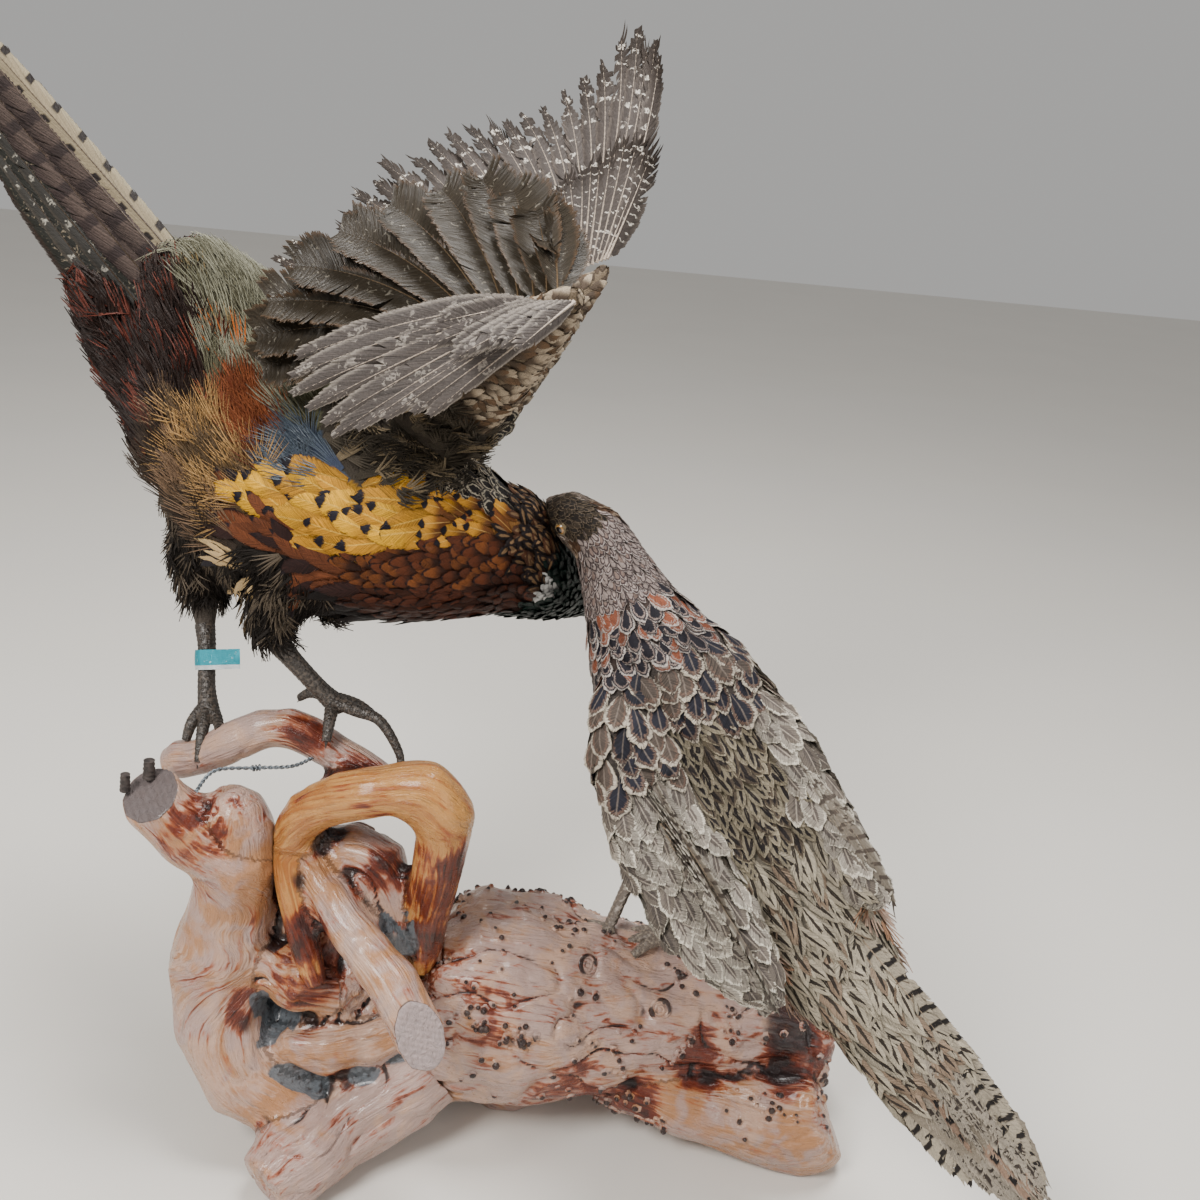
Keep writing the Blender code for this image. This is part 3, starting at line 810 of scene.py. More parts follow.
@dataclass(frozen=True)
class QuillFinish:
    """A long wing or tail feather: its ground, darker rim and marks."""

    name: str
    vane: Colour
    rim: Colour
    mark: Colour
    marks: Marks = Marks.PLAIN
    count: float = 8.0
    warm: Colour = (0.30, 0.10, 0.03)
    rim_from: float = 0.72
    tip: Colour | None = None
    roughness: float = 0.50
    streak: float = 0.4
    sparse: float = 0.0

    def mask(self, shader: Shader, side: Socket, along: Socket, tint: Socket) -> Socket:
        """Where the marks lie.

        Args:
            shader: The material under construction.
            side: 0 at the shaft and 1 at the rim.
            along: 0 at the root and 1 at the tip.
            tint: The feather's own number.

        Returns:
            1 on a mark and 0 beside it.
        """
        cloud = shader.noise(shader.coordinates(), 300.0, 3.0)
        if self.marks is Marks.FLECKS:
            flecks = shader.noise(shader.coordinates(), 190.0, 4.0, 1.5).rise(
                0.53 + self.sparse, 0.58 + self.sparse)
            return flecks * side.rise(0.04, 0.16) * side.fall(0.45, 0.85)
        if self.marks is Marks.DASHES:
            crooked = (along * self.count + tint + (cloud - 0.5) * 1.1).cycle()
            gaps = shader.noise(shader.coordinates(), 85.0, 2.0).rise(0.46, 0.52)
            return (crooked.rise(0.02, 0.06) * crooked.fall(0.16, 0.24) * gaps
                    * side.rise(0.08, 0.2) * side.fall(0.5, 0.8))
        step = (along * self.count + tint * 0.6 - side * 0.12 + (cloud - 0.5) * 0.16).cycle()
        if self.marks is Marks.BARS:
            return step.rise(0.02, 0.06) * step.fall(0.26, 0.32) * side.rise(0.25, 0.5)
        if self.marks is Marks.CROSS:
            return step.rise(0.05, 0.12) * step.fall(0.34, 0.46)
        return step.rise(0.05, 0.1) * step.fall(0.45, 0.55) * side.fall(0.45, 0.6)

    def build(self) -> bpy.types.Material:
        """Builds the feather's material.

        Returns:
            The finished material.
        """
        shader = Shader(self.name)
        across, along = shader.across_and_along()
        side = (across * 2.0 - 1.0).size()
        tint = shader.value("Tint")
        grain = shader.noise(shader.coordinates(), 900.0, 3.0)
        colour = shader.mix(self.vane, self.rim, side.rise(self.rim_from, 1.0))
        if self.tip is not None:
            colour = shader.mix(colour, self.tip, along.rise(0.72, 0.95))
        if self.marks is not Marks.PLAIN:
            mask = self.mask(shader, side, along, tint)
            if self.marks is Marks.SPOTS:
                wide = side.fall(0.6, 0.85) * 0.5
                colour = shader.mix(colour, self.warm, wide)
            colour = shader.mix(colour, self.mark, mask)
        strand = shader.noise(shader.join(along * 120.0 - side * 16.0, across.rise(0.49, 0.51) * 5.0,
                                          tint * 41.0), 1.0, 2.0)
        light = 1.0 + ((grain - 0.5) * 1.0 + (strand - 0.5) * 1.8) * self.streak + (tint - 0.5) * 0.3
        rim = side + (strand - 0.5) * 0.5
        return shader.done(shader.scale(colour, light.most(0.15)),
                           self.roughness + (grain - 0.5) * 0.25, strand, 0.5, 0.0008,
                           Alpha=rim.fall(0.94, 0.99), Specular_IOR_Level=0.16)


@dataclass(frozen=True)
class ShaftFinish:
    """The horny shaft of a long feather."""

    name: str
    colour: Colour
    roughness: float = 0.35

    def build(self) -> bpy.types.Material:
        """Builds the shaft's material.

        Returns:
            The finished material.
        """
        shader = Shader(self.name)
        grain = shader.noise(shader.coordinates(), 700.0, 2.0)
        colour = shader.mix(self.colour, tuple(c * 0.45 for c in self.colour), grain.rise(0.4, 0.8))
        return shader.done(colour, self.roughness, Specular_IOR_Level=0.25)


@dataclass(frozen=True)
class SkinFinish:
    """A bird's skin, in the colours of the feathers over it."""

    name: str

    def build(self) -> bpy.types.Material:
        """Builds the skin's material.

        Returns:
            The finished material.
        """
        shader = Shader(self.name)
        where = shader.coordinates()
        down = shader.noise(where, 700.0, 4.0)
        pores = shader.cells(where, 900.0)
        colour = shader.scale(shader.colour("Plumage"), 0.55 + down * 0.6)
        return shader.done(colour, 0.65 + down * 0.2, down + pores * 0.6, 0.7, 0.0012,
                           Specular_IOR_Level=0.15)


@dataclass(frozen=True)
class WoodFinish:
    """Old root wood under a glossy varnish, with warm stains, pale worn parts and painted shade in its
    hollows.
    """

    name: str
    pale: Colour = (0.480, 0.305, 0.222)
    tan: Colour = (0.385, 0.185, 0.085)
    gold: Colour = (0.500, 0.240, 0.065)
    red: Colour = (0.100, 0.014, 0.006)
    orange: Colour = (0.300, 0.062, 0.012)
    amber: Colour = (0.310, 0.100, 0.020)
    dark: Colour = (0.014, 0.008, 0.008)
    mauve: Colour = (0.385, 0.268, 0.238)
    cement: Colour = (0.10, 0.115, 0.130)
    sawn: Colour = (0.400, 0.330, 0.330)

    def build(self) -> bpy.types.Material:
        """Builds the wood's material.

        Returns:
            The finished material.
        """
        shader = Shader(self.name)
        where, grain = shader.coordinates(), shader.vector("Grain")
        fibres = shader.noise(shader.stretched(grain, (2.0, 20.0, 20.0)), 8.0, 4.0, 1.6)
        fine = shader.noise(shader.stretched(grain, (5.0, 90.0, 90.0)), 9.0, 3.0, 0.4)
        broad = shader.noise(where, 11.0, 3.0, 1.2)
        patch = shader.noise(where, 20.0, 5.0, 2.2)
        blotch = shader.noise(where, 46.0, 4.0, 1.0)
        speck = shader.noise(where, 160.0, 3.0)
        hollow, warm = shader.value("Hollow"), shader.value("Warm")
        sawn, cement = shader.value("Sawn"), shader.value("Cement")
        colour = shader.mix(self.pale, self.tan, (broad + warm * 0.34 + (fibres - 0.5) * 0.7).rise(
            0.50, 0.66))
        colour = shader.mix(colour, self.mauve, (blotch * 0.5 + patch * 0.5 - warm * 0.25).rise(
            0.39, 0.54) * 0.85)
        colour = shader.mix(colour, self.gold, (warm * 0.75 + patch * 0.5).rise(0.70, 0.95) * 0.9)
        colour = shader.mix(colour, self.amber, (warm * 0.50 + broad * 0.55 + (fibres - 0.5) * 0.8).rise(
            0.68, 0.92) * 0.85)
        # Stains, pulled a tenth towards the hollows; that share is painted shade.
        stain = patch * 0.42 + fibres * 0.42 + hollow * 0.10 + shader.value("Stain") * 0.19
        colour = shader.mix(colour, self.orange, stain.rise(0.460, 0.540) * 0.85)
        colour = shader.mix(colour, self.red, stain.rise(0.500, 0.580) * 0.93)
        colour = shader.mix(colour, self.dark, stain.rise(0.600, 0.680) * 0.75)
        # Painted shade: the wood is darkened in its hollows and creases and in the dark patches; on the
        # spines the same value darkens their tips, which is their own colour.
        colour = shader.mix(colour, self.dark, (hollow * 0.9 + speck * 0.35).rise(0.50, 0.95) * 0.93)
        colour = shader.mix(colour, self.dark, (fibres * 0.5 + fine * 0.5).fall(0.32, 0.42) * 0.40)
        level, _, upright = shader.split(shader.coordinates())
        saw = ((level * 6.0 + upright * 12.0) * 130.0 + speck * 4.0).wave()
        face = shader.mix(self.sawn, self.mauve, speck * 0.6)
        face = shader.scale(face, (0.84 + saw * 0.07 + fine * 0.20) * shader.value("Tone"))
        colour = shader.mix(colour, face, sawn.rise(0.45, 0.55))
        rim = sawn.rise(0.05, 0.30) * sawn.fall(0.45, 0.60)
        colour = shader.mix(colour, self.dark, rim * 0.8)
        lumps = shader.noise(where, 240.0, 4.0)
        grey = shader.mix(self.cement, self.dark, lumps.rise(0.50, 0.75))
        colour = shader.mix(colour, grey, cement.rise(0.35, 0.60) * 0.95)
        rough = 0.20 + speck * 0.18 + sawn * 0.40 + cement * 0.3
        height = fibres * 0.9 + fine * 0.35 + speck * 0.35 + blotch * 0.5
        return shader.done(colour, rough, height, 0.8, 0.0034, Coat_Weight=0.30,
                           Coat_Roughness=0.14, Specular_IOR_Level=0.35)


@dataclass(frozen=True)
class ScaleFinish:
    """Horny leg scales: dark, with pale flecked rims."""

    name: str
    dark: Colour = (0.034, 0.027, 0.022)
    pale: Colour = (0.120, 0.094, 0.074)
    cell: float = 460.0

    def build(self) -> bpy.types.Material:
        """Builds the scales' material.

        Returns:
            The finished material.
        """
        shader = Shader(self.name)
        where = shader.coordinates()
        cells = shader.cells(where, self.cell)
        cloud = shader.noise(where, 190.0, 3.0)
        flecks = shader.noise(where, 900.0, 3.0)
        colour = shader.mix(self.dark, self.pale, (cells * 0.9 + cloud * 0.4).rise(0.60, 1.0) * 0.7)
        colour = shader.mix(colour, self.pale, flecks.rise(0.62, 0.74) * 0.5)
        return shader.done(colour, 0.38 + cloud * 0.2, cells.fall(0.1, 0.7), 0.6, 0.0007,
                           Specular_IOR_Level=0.55)


@dataclass(frozen=True)
class HornFinish:
    """A bill or claw, clouded between its base colour and its tip colour."""

    name: str
    base: Colour
    tip: Colour
    roughness: float = 0.32

    def build(self) -> bpy.types.Material:
        """Builds the horn's material.

        Returns:
            The finished material.
        """
        shader = Shader(self.name)
        where = shader.coordinates()
        cloud = shader.noise(where, 260.0, 4.0, 0.6)
        fine = shader.noise(where, 1100.0, 2.0)
        colour = shader.mix(self.base, self.tip, (cloud * 0.7 + fine * 0.3).rise(0.35, 0.65))
        return shader.done(colour, self.roughness + fine * 0.15, cloud + fine * 0.4, 0.3,
                           0.0005, Specular_IOR_Level=0.55)


@dataclass(frozen=True)
class EyeFinish:
    """A glass eye: a dark pupil in a coloured iris, told by the ring on the ball."""

    name: str
    iris: Colour
    pupil: float = 0.42

    def build(self) -> bpy.types.Material:
        """Builds the eye's material.

        Returns:
            The finished material.
        """
        shader = Shader(self.name)
        ring = shader.value("Ring")
        cloud = shader.noise(shader.coordinates(), 2400.0, 3.0)
        iris = shader.scale(shader.mix(self.iris, (0.02, 0.01, 0.005), ring.rise(0.72, 0.95)),
                            0.7 + cloud * 0.6)
        colour = shader.mix((0.004, 0.004, 0.005), iris, ring.rise(self.pupil, self.pupil + 0.06))
        return shader.done(colour, 0.06 + cloud * 0.03, Coat_Weight=1.0, Coat_Roughness=0.02)


@dataclass(frozen=True)
class RibbonFinish:
    """A shiny woven ribbon with a silver strip along one edge."""

    name: str
    colour: Colour = (0.006, 0.26, 0.33)
    silver: Colour = (0.55, 0.60, 0.62)

    def build(self) -> bpy.types.Material:
        """Builds the ribbon's material.

        Returns:
            The finished material.
        """
        shader = Shader(self.name)
        across, along = shader.across_and_along()
        weave = ((across * 70.0) * math.tau).wave() * ((along * 240.0) * math.tau).wave()
        wear = shader.noise(shader.coordinates(), 380.0, 4.0)
        colour = shader.mix(self.colour, self.silver, across.fall(0.20, 0.24))
        colour = shader.mix(colour, self.silver, wear.rise(0.62, 0.72) * 0.6)
        colour = shader.scale(colour, 0.85 + weave * 0.08 + wear * 0.25)
        return shader.done(colour, 0.28 + wear * 0.2, weave, 0.25, 0.0003, Metallic=0.35)


@dataclass(frozen=True)
class WireFinish:
    """Dull galvanised wire."""

    name: str = "galvanised wire"

    def build(self) -> bpy.types.Material:
        """Builds the wire's material.

        Returns:
            The finished material.
        """
        shader = Shader(self.name)
        cloud = shader.noise(shader.coordinates(), 420.0, 4.0)
        colour = shader.mix((0.22, 0.25, 0.28), (0.09, 0.10, 0.11), cloud.rise(0.45, 0.7))
        return shader.done(colour, 0.36 + cloud * 0.3, cloud, 0.3, 0.0003, Metallic=0.8)


@dataclass(frozen=True)
class PlainFinish:
    """A plain studio surface with a faint cloudiness."""

    name: str
    colour: Colour
    roughness: float = 0.7

    def build(self) -> bpy.types.Material:
        """Builds the surface's material.

        Returns:
            The finished material.
        """
        shader = Shader(self.name)
        cloud = shader.noise(shader.coordinates(), 3.0, 3.0)
        return shader.done(shader.scale(shader.plain(self.colour), 0.97 + cloud * 0.06),
                           self.roughness)


# ------------------------------------------------------------------ feather making
@dataclass(frozen=True)
class Pattern:
    """The points and faces of one sliver, before it is bent to its place.

    Across runs from -1 to 1 and along from 0 to 1. Centre moves a strand
    sideways, height lifts a point, both in half widths.
    """

    across: np.ndarray
    along: np.ndarray
    centre: np.ndarray
    height: np.ndarray
    vane: np.ndarray
    corners: np.ndarray
    starts: np.ndarray


def leaf(columns: int, rows: int) -> Pattern:
    """A closed sliver: a ridged, gridded top over a plain underside.

    Args:
        columns: Points across.
        rows: Points along.

    Returns:
        The sliver, square in outline.
    """
    maker = bmesh.new()
    bmesh.ops.create_grid(maker, x_segments=columns - 1, y_segments=rows - 1, size=1.0)
    order = sorted(maker.verts, key=lambda vert: (round(vert.co.y, 4), round(vert.co.x, 4)))
    for vert in order:
        vert.co.z = 0.4 * (1.0 - vert.co.x**2)
    lines = [order[row * columns:(row + 1) * columns] for row in range(rows)]
    for low, high in zip(lines, lines[1:]):
        bmesh.ops.contextual_create(maker, geom=[low[0], low[-1], high[-1], high[0]])
    bmesh.ops.contextual_create(maker, geom=lines[0])
    bmesh.ops.contextual_create(maker, geom=lines[-1])
    bmesh.ops.recalc_face_normals(maker, faces=maker.faces)
    maker.verts.index_update()
    spots = np.array([vert.co for vert in maker.verts])
    faces = [[vert.index for vert in face.verts] for face in maker.faces]
    maker.free()
    across, along = spots[:, 0], (spots[:, 1] + 1.0) / 2.0
    return Pattern(across, along, np.zeros(len(spots)), 1.0 - across**2,
                   np.stack(((across + 1.0) / 2.0, along), axis=1),
                   np.concatenate(faces), np.cumsum([0] + [len(f) for f in faces])[:-1])


class Cut(Enum):
    """The outline of a small feather, as (place along, share of the width) stops."""

    ROUND = ((0.0, 0.25), (0.2, 0.62), (0.5, 0.97), (0.68, 1.0), (0.85, 0.86), (1.0, 0.42))
    SILKY = ((0.0, 0.25), (0.25, 0.75), (0.5, 1.0), (0.70, 0.92), (0.86, 0.66), (1.0, 0.22))
    POINTED = ((0.0, 0.25), (0.25, 0.75), (0.5, 1.0), (0.75, 0.72), (0.9, 0.36), (1.0, 0.05))
    STRAND = ((0.0, 0.7), (0.4, 1.0), (0.8, 0.6), (1.0, 0.06))


def small_feather(cut: Cut, columns: int, rows: int) -> Pattern:
    """A sliver with a feather's outline and a rounded tip.

    Args:
        cut: Its outline.
        columns: Points across.
        rows: Points along.

    Returns:
        The sliver.
    """
    plain = leaf(columns, rows)
    along = plain.along**0.82
    wide = profile(cut.value, along)
    rounded = 0.13 if cut is Cut.ROUND else 0.05
    along_rim = along - rounded * plain.across**2 * along**4
    return replace(plain, across=plain.across * wide, along=along_rim,
                   height=plain.height * 0.22 * wide)


def strands(count: int, rows: int, splay: float, thin: float, seed: int) -> Pattern:
    """A tuft of separate filaments.

    Args:
        count: How many filaments.
        rows: Points along a filament.
        splay: How far they spread, in half widths.
        thin: A filament's half width, in half widths.
        seed: Which of the like tufts this is.

    Returns:
        The tuft as one pattern.
    """
    rng = np.random.default_rng(seed)
    plain = leaf(3, rows)
    parts = []
    for number in range(count):
        lean = (number + 0.5) / count * 2.0 - 1.0
        reach = 1.0 - 0.22 * abs(lean) - rng.uniform(0.0, 0.22)
        wander = rng.uniform(-0.25, 0.25)
        along = plain.along * reach
        wide = profile(Cut.STRAND.value, plain.along) * thin
        spread = lean * (0.30 + splay * plain.along**1.3) + wander * plain.along**2
        rise = plain.height * thin * 0.7 + rng.uniform(0.0, 0.5) * plain.along
        parts.append((plain.across * wide, along, spread, rise,
                      np.stack((np.full_like(along, (lean + 1.0) / 2.0), plain.along), 1)))
    across, along, centre, height, vane = (np.concatenate(part) for part in zip(*parts))
    size, corner_count = len(plain.along), len(plain.corners)
    corners = np.concatenate([plain.corners + size * k for k in range(count)])
    starts = np.concatenate([plain.starts + corner_count * k for k in range(count)])
    return Pattern(across, along, centre, height, vane, corners, starts)


class Bundle:
    """Collects like slivers and joins them into one mesh."""

    def __init__(self, name: str) -> None:
        """Starts an empty bundle.

        Args:
            name: The name of the piece that it becomes.
        """
        self.name = name
        self.total = 0
        self.corner_total = 0
        self.parts: dict[str, list[np.ndarray]] = {key: [] for key in (
            "points", "corners", "starts", "vane", "bake", "tint", "kind", "slot")}

    def add(self, pattern: Pattern, points: np.ndarray, bake: np.ndarray,
            tint: np.ndarray, kind: np.ndarray, slot: int = 0,
            vane: np.ndarray | None = None) -> None:
        """Adds bent copies of a pattern.

        Args:
            pattern: The sliver's faces.
            points: For each copy, its points.
            bake: For each copy, its points on the bake map.
            tint: A number for each copy.
            kind: A second number for each copy.
            slot: The material slot.
            vane: The pattern coordinates, where they aren't the pattern's own.
        """
        copies, size = points.shape[:2]
        step = np.arange(copies)[:, None]
        if vane is None:
            vane = np.broadcast_to(pattern.vane, (copies, size, 2))
        self.parts["points"].append(points.reshape(-1, 3))
        self.parts["corners"].append((pattern.corners + step * size + self.total).ravel())
        starts = pattern.starts + step * len(pattern.corners) + self.corner_total
        self.parts["starts"].append(starts.ravel())
        self.parts["vane"].append(vane.reshape(-1, 2))
        self.parts["bake"].append(bake.reshape(-1, 2))
        self.parts["tint"].append(np.repeat(tint, size))
        self.parts["kind"].append(np.repeat(kind, size))
        self.parts["slot"].append(np.full(starts.size, slot))
        self.total += copies * size
        self.corner_total += copies * len(pattern.corners)

    def finish(self, materials: list[bpy.types.Material]) -> bpy.types.Object:
        """Joins everything into one object.

        Args:
            materials: The material for each slot.

        Returns:
            The new object.
        """
        data = {key: np.concatenate(rows) for key, rows in self.parts.items()}
        mesh = bpy.data.meshes.new(self.name)
        mesh.vertices.add(len(data["points"]))
        mesh.vertices.foreach_set("co", data["points"].astype(np.float32).ravel())
        mesh.loops.add(len(data["corners"]))
        mesh.loops.foreach_set("vertex_index", data["corners"].astype(np.int32))
        mesh.polygons.add(len(data["starts"]))
        mesh.polygons.foreach_set("loop_start", data["starts"].astype(np.int32))
        mesh.polygons.foreach_set("material_index", data["slot"].astype(np.int32))
        mesh.update(calc_edges=True)
        for name, key in (("Vane", "vane"), ("OFBake", "bake")):
            layer = mesh.uv_layers.new(name=name)
            layer.data.foreach_set(
                "uv", data[key][data["corners"]].astype(np.float32).ravel())
        write_value(mesh, "Tint", data["tint"])
        write_value(mesh, "Kind", data["kind"])
        mesh.shade_smooth()
        mesh.set_sharp_from_angle(angle=SHARP)
        for material in materials:
            mesh.materials.append(material)
        return place(self.name, mesh)


@dataclass(frozen=True)
class Tract:
    """One kind of small feather and how it lies.

    Spacing is the gap between roots and wide half a feather's width. Lift is
    how far a tip stands off, turn how far the lie is turned round in degrees.
    """

    name: str
    finish: VaneFinish
    skin: Colour
    length: float
    wide: float
    spacing: float
    lift: float
    cut: Cut = Cut.ROUND
    filaments: int = 0
    splay: float = 0.9
    thin: float = 0.16
    stray: float = 7.0
    turn: float = 0.0
    columns: int = 5
    rows: int = 6
    sag: float = 0.0

    def patterns(self) -> list[Pattern]:
        """The slivers that this tract's feathers are bent from."""
        if self.filaments:
            return [strands(self.filaments, self.rows, self.splay, self.thin, seed)
                    for seed in range(3)]
        return [small_feather(self.cut, self.columns, self.rows)]


@dataclass(frozen=True)
class Patch:
    """Where a tract lies on a chain: metres along and degrees round from the back."""

    tract: Tract
    along: float
    around: float
    reach: float = 0.03
    arc: float = 25.0


def patches(*rows: tuple) -> tuple[Patch, ...]:
    """Patches from rows of a tract and its places: along, around, reach and arc."""
    return tuple(Patch(tract, *place_on) for tract, *places in rows for place_on in places)


class Field:
    """A bird's skin, with its chains and the tracts painted over it."""

    PATH = 5             # points on a feather's path over the skin
    EDGE_ALONG = 0.02    # free edges of a chain's rectangle on the bake map
    EDGE_AROUND = 0.06

    def __init__(self, thing: bpy.types.Object, coats: dict[Chain, tuple[Patch, ...]]) -> None:
        """Reads the skin and paints it.

        Args:
            thing: The skin.
            coats: The patches on each chain.
        """
        self.thing = thing
        self.chains = list(coats)
        self.tracts: list[Tract] = []
        self.coats = coats
        for patches in coats.values():
            for patch in patches:
                if patch.tract not in self.tracts:
                    self.tracts.append(patch.tract)
        mesh = thing.data
        mesh.calc_loop_triangles()
        self.points = points_of(mesh)
        flat = np.empty(len(mesh.loop_triangles) * 3, np.int32)
        mesh.loop_triangles.foreach_get("vertices", flat)
        self.triangles = flat.reshape(-1, 3)
        self.tree = BVHTree.FromPolygons(self.points.tolist(), self.triangles.tolist())

    def locate(self, spots: np.ndarray) -> tuple[np.ndarray, list[Places]]:
        """Finds spots on the chains.

        Args:
            spots: Points, one to a row.

        Returns:
            The number of the nearest chain, and the places on every chain.
        """
        places = [chain.locate(spots) for chain in self.chains]
        return np.argmin([where.near for where in places], axis=0), places

    def paint(self, spots: np.ndarray) -> np.ndarray:
        """Tells which tract grows at each spot.

        Args:
            spots: Points, one to a row.

        Returns:
            The tracts' numbers.
        """
        chosen, places = self.locate(spots)
        wobble = np.array([noise.noise(spot * 55.0) for spot in map(Vector, spots)])
        best = np.full(len(spots), np.inf)
        found = np.zeros(len(spots), int)
        for number, (chain, where) in enumerate(zip(self.chains, places)):
            here = chosen == number
            for patch in self.coats[chain]:
                score = np.hypot((where.along - patch.along) / patch.reach,
                                 (np.abs(where.around) - patch.around) / patch.arc)
                score = score * (1.0 + 0.22 * wobble)
                better = here & (score < best)
                best[better] = score[better]
                found[better] = self.tracts.index(patch.tract)
        return found

    def roots(self, rng: np.random.Generator) -> tuple[np.ndarray, np.ndarray, np.ndarray]:
        """Scatters feather roots evenly, each tract at its own spacing.

        Args:
            rng: The draw to use.

        Returns:
            The roots, the tract of each, and each one's place on the bake map.
        """
        corners = self.points[self.triangles]
        middles = corners.mean(axis=1)
        area = np.linalg.norm(np.cross(corners[:, 1] - corners[:, 0],
                                       corners[:, 2] - corners[:, 0]), axis=1) / 2.0
        tract = self.paint(middles)
        gap = np.array([t.spacing for t in self.tracts])[tract]
        crowd = area / gap**2 * 4.0
        chance = np.cumsum(crowd)
        picks = np.searchsorted(chance, rng.uniform(0.0, chance[-1], int(chance[-1])))
        split = rng.dirichlet((1.0, 1.0, 1.0), len(picks))
        spots = (corners[picks] * split[:, :, None]).sum(axis=1)
        tree = KDTree(len(spots))
        for index, spot in enumerate(spots):
            tree.insert(spot, index)
        tree.balance()
        gaps, alive = gap[picks], np.ones(len(spots), bool)
        for index, spot in enumerate(spots):
            if alive[index]:
                for _, other, away in tree.find_range(spot, gaps[index]):
                    if other > index and away < min(gaps[index], gaps[other]):
                        alive[other] = False
        keep = np.flatnonzero(alive)
        return spots[keep], tract[picks][keep], self.sheet(spots[keep])

    def sheet(self, spots: np.ndarray, chosen: np.ndarray | None = None) -> np.ndarray:
        """Unrolls spots on the bake map, each chain's on its own rectangle.

        Args:
            spots: Points, one to a row.
            chosen: The chain of each, where it isn't the nearest.

        Returns:
            Their places on the bake map.
        """
        nearest, places = self.locate(spots)
        chosen = nearest if chosen is None else chosen
        flat = np.zeros((len(spots), 2))
        for number, (chain, where) in enumerate(zip(self.chains, places)):
            here = chosen == number
            left, low, right, high = chain.sheet
            share = where.along[here] / chain.lengths[-1]
            inside = self.EDGE_ALONG + (1.0 - 2.0 * self.EDGE_ALONG) * share
            flat[here, 0] = left + (right - left) * inside
            turn = where.around[here] / 360.0 + 0.5
            inside = self.EDGE_AROUND + (1.0 - 2.0 * self.EDGE_AROUND) * turn
            flat[here, 1] = low + (high - low) * inside
        return flat

    def unroll(self) -> None:
        """Gives the skin its own bake map, with no face across a seam."""
        mesh = self.thing.data
        faces = len(mesh.polygons)
        middles = np.empty(faces * 3, np.float32)
        mesh.polygons.foreach_get("center", middles)
        corners = np.empty(len(mesh.loops), np.int32)
        mesh.loops.foreach_get("vertex_index", corners)
        totals = np.empty(faces, np.int32)
        mesh.polygons.foreach_get("loop_total", totals)
        owner = np.repeat(np.arange(faces), totals)
        chosen, _ = self.locate(middles.reshape(-1, 3).astype(float))
        flat = self.sheet(self.points[corners], chosen[owner])
        centre = self.sheet(middles.reshape(-1, 3).astype(float), chosen)[owner]
        heights = np.array([chain.sheet[3] - chain.sheet[1] for chain in self.chains])
        spans = heights[chosen][owner] * (1.0 - 2.0 * self.EDGE_AROUND)
        jump = np.round((flat[:, 1] - centre[:, 1]) / spans)
        flat[:, 1] -= jump * spans
        layer = mesh.uv_layers.new(name="OFBake")
        layer.data.foreach_set("uv", flat.astype(np.float32).ravel())

    def dye(self) -> None:
        """Stores the colour of each point's feathers on the skin."""
        tract = self.paint(self.points)
        shades = np.array([(*t.skin, 1.0) for t in self.tracts])
        layer = self.thing.data.attributes.new("Plumage", 'FLOAT_COLOR', 'POINT')
        layer.data.foreach_set("color", shades[tract].astype(np.float32).ravel())

    def onto(self, spots: np.ndarray) -> tuple[np.ndarray, np.ndarray]:
        """Drops spots on the skin.

        Args:
            spots: Points, one to a row.

        Returns:
            The nearest points of the skin and the way it faces there.
        """
        found = [self.tree.find_nearest(spot)[:2] for spot in map(Vector, spots)]
        return (np.array([point for point, _ in found]),
                np.array([normal for _, normal in found]))

    def lie(self, spots: np.ndarray, normals: np.ndarray, turn: float) -> np.ndarray:
        """Tells which way the coat lies.

        Args:
            spots: Points on the skin, one to a row.
            normals: The way the skin faces there.
            turn: How far the lie is turned round, in degrees.

        Returns:
            Directions of length one along the skin.
        """
        chosen, places = self.locate(spots)
        heading = np.stack([where.heading for where in places])[chosen, np.arange(len(spots))]
        flat = unit(heading - normals * (heading * normals).sum(1, keepdims=True))
        if turn:
            around = np.stack([where.around for where in places])[chosen, np.arange(len(spots))]
            swing = math.radians(turn) * np.sign(around)[:, None]
            flat = flat * np.cos(swing) + np.cross(normals, flat) * np.sin(swing)
        return flat

    def comb(self, roots: np.ndarray, lengths: np.ndarray, tract: Tract,
             rng: np.random.Generator) -> tuple[np.ndarray, np.ndarray, np.ndarray]:
        """Follows the lie of the coat from each root.

        Args:
            roots: Where the feathers start.
            lengths: How long each one is.
            tract: Its tract.
            rng: The draw to use.

        Returns:
            For each feather, the points of its path with their sides and normals.
        """
        spots, normals = self.onto(roots)
        stray = np.radians(rng.normal(0.0, tract.stray, len(roots)))[:, None]
        path, sides, ups, last = [], [], [], None
        for _ in range(self.PATH):
            way = self.lie(spots, normals, tract.turn)
            way = way * np.cos(stray) + np.cross(normals, way) * np.sin(stray)
            if last is not None:
                way = unit(way + last * 0.8)
                way = unit(way - normals * (way * normals).sum(1, keepdims=True))
            path.append(spots)
            ups.append(normals)
            sides.append(np.cross(way, normals))
            last = way
            ahead = spots + way * (lengths / (self.PATH - 1))[:, None]
            spots, fresh = self.onto(ahead)
            normals = unit(normals + fresh)
        return (np.stack(path, 1), np.stack(sides, 1), np.stack(ups, 1))


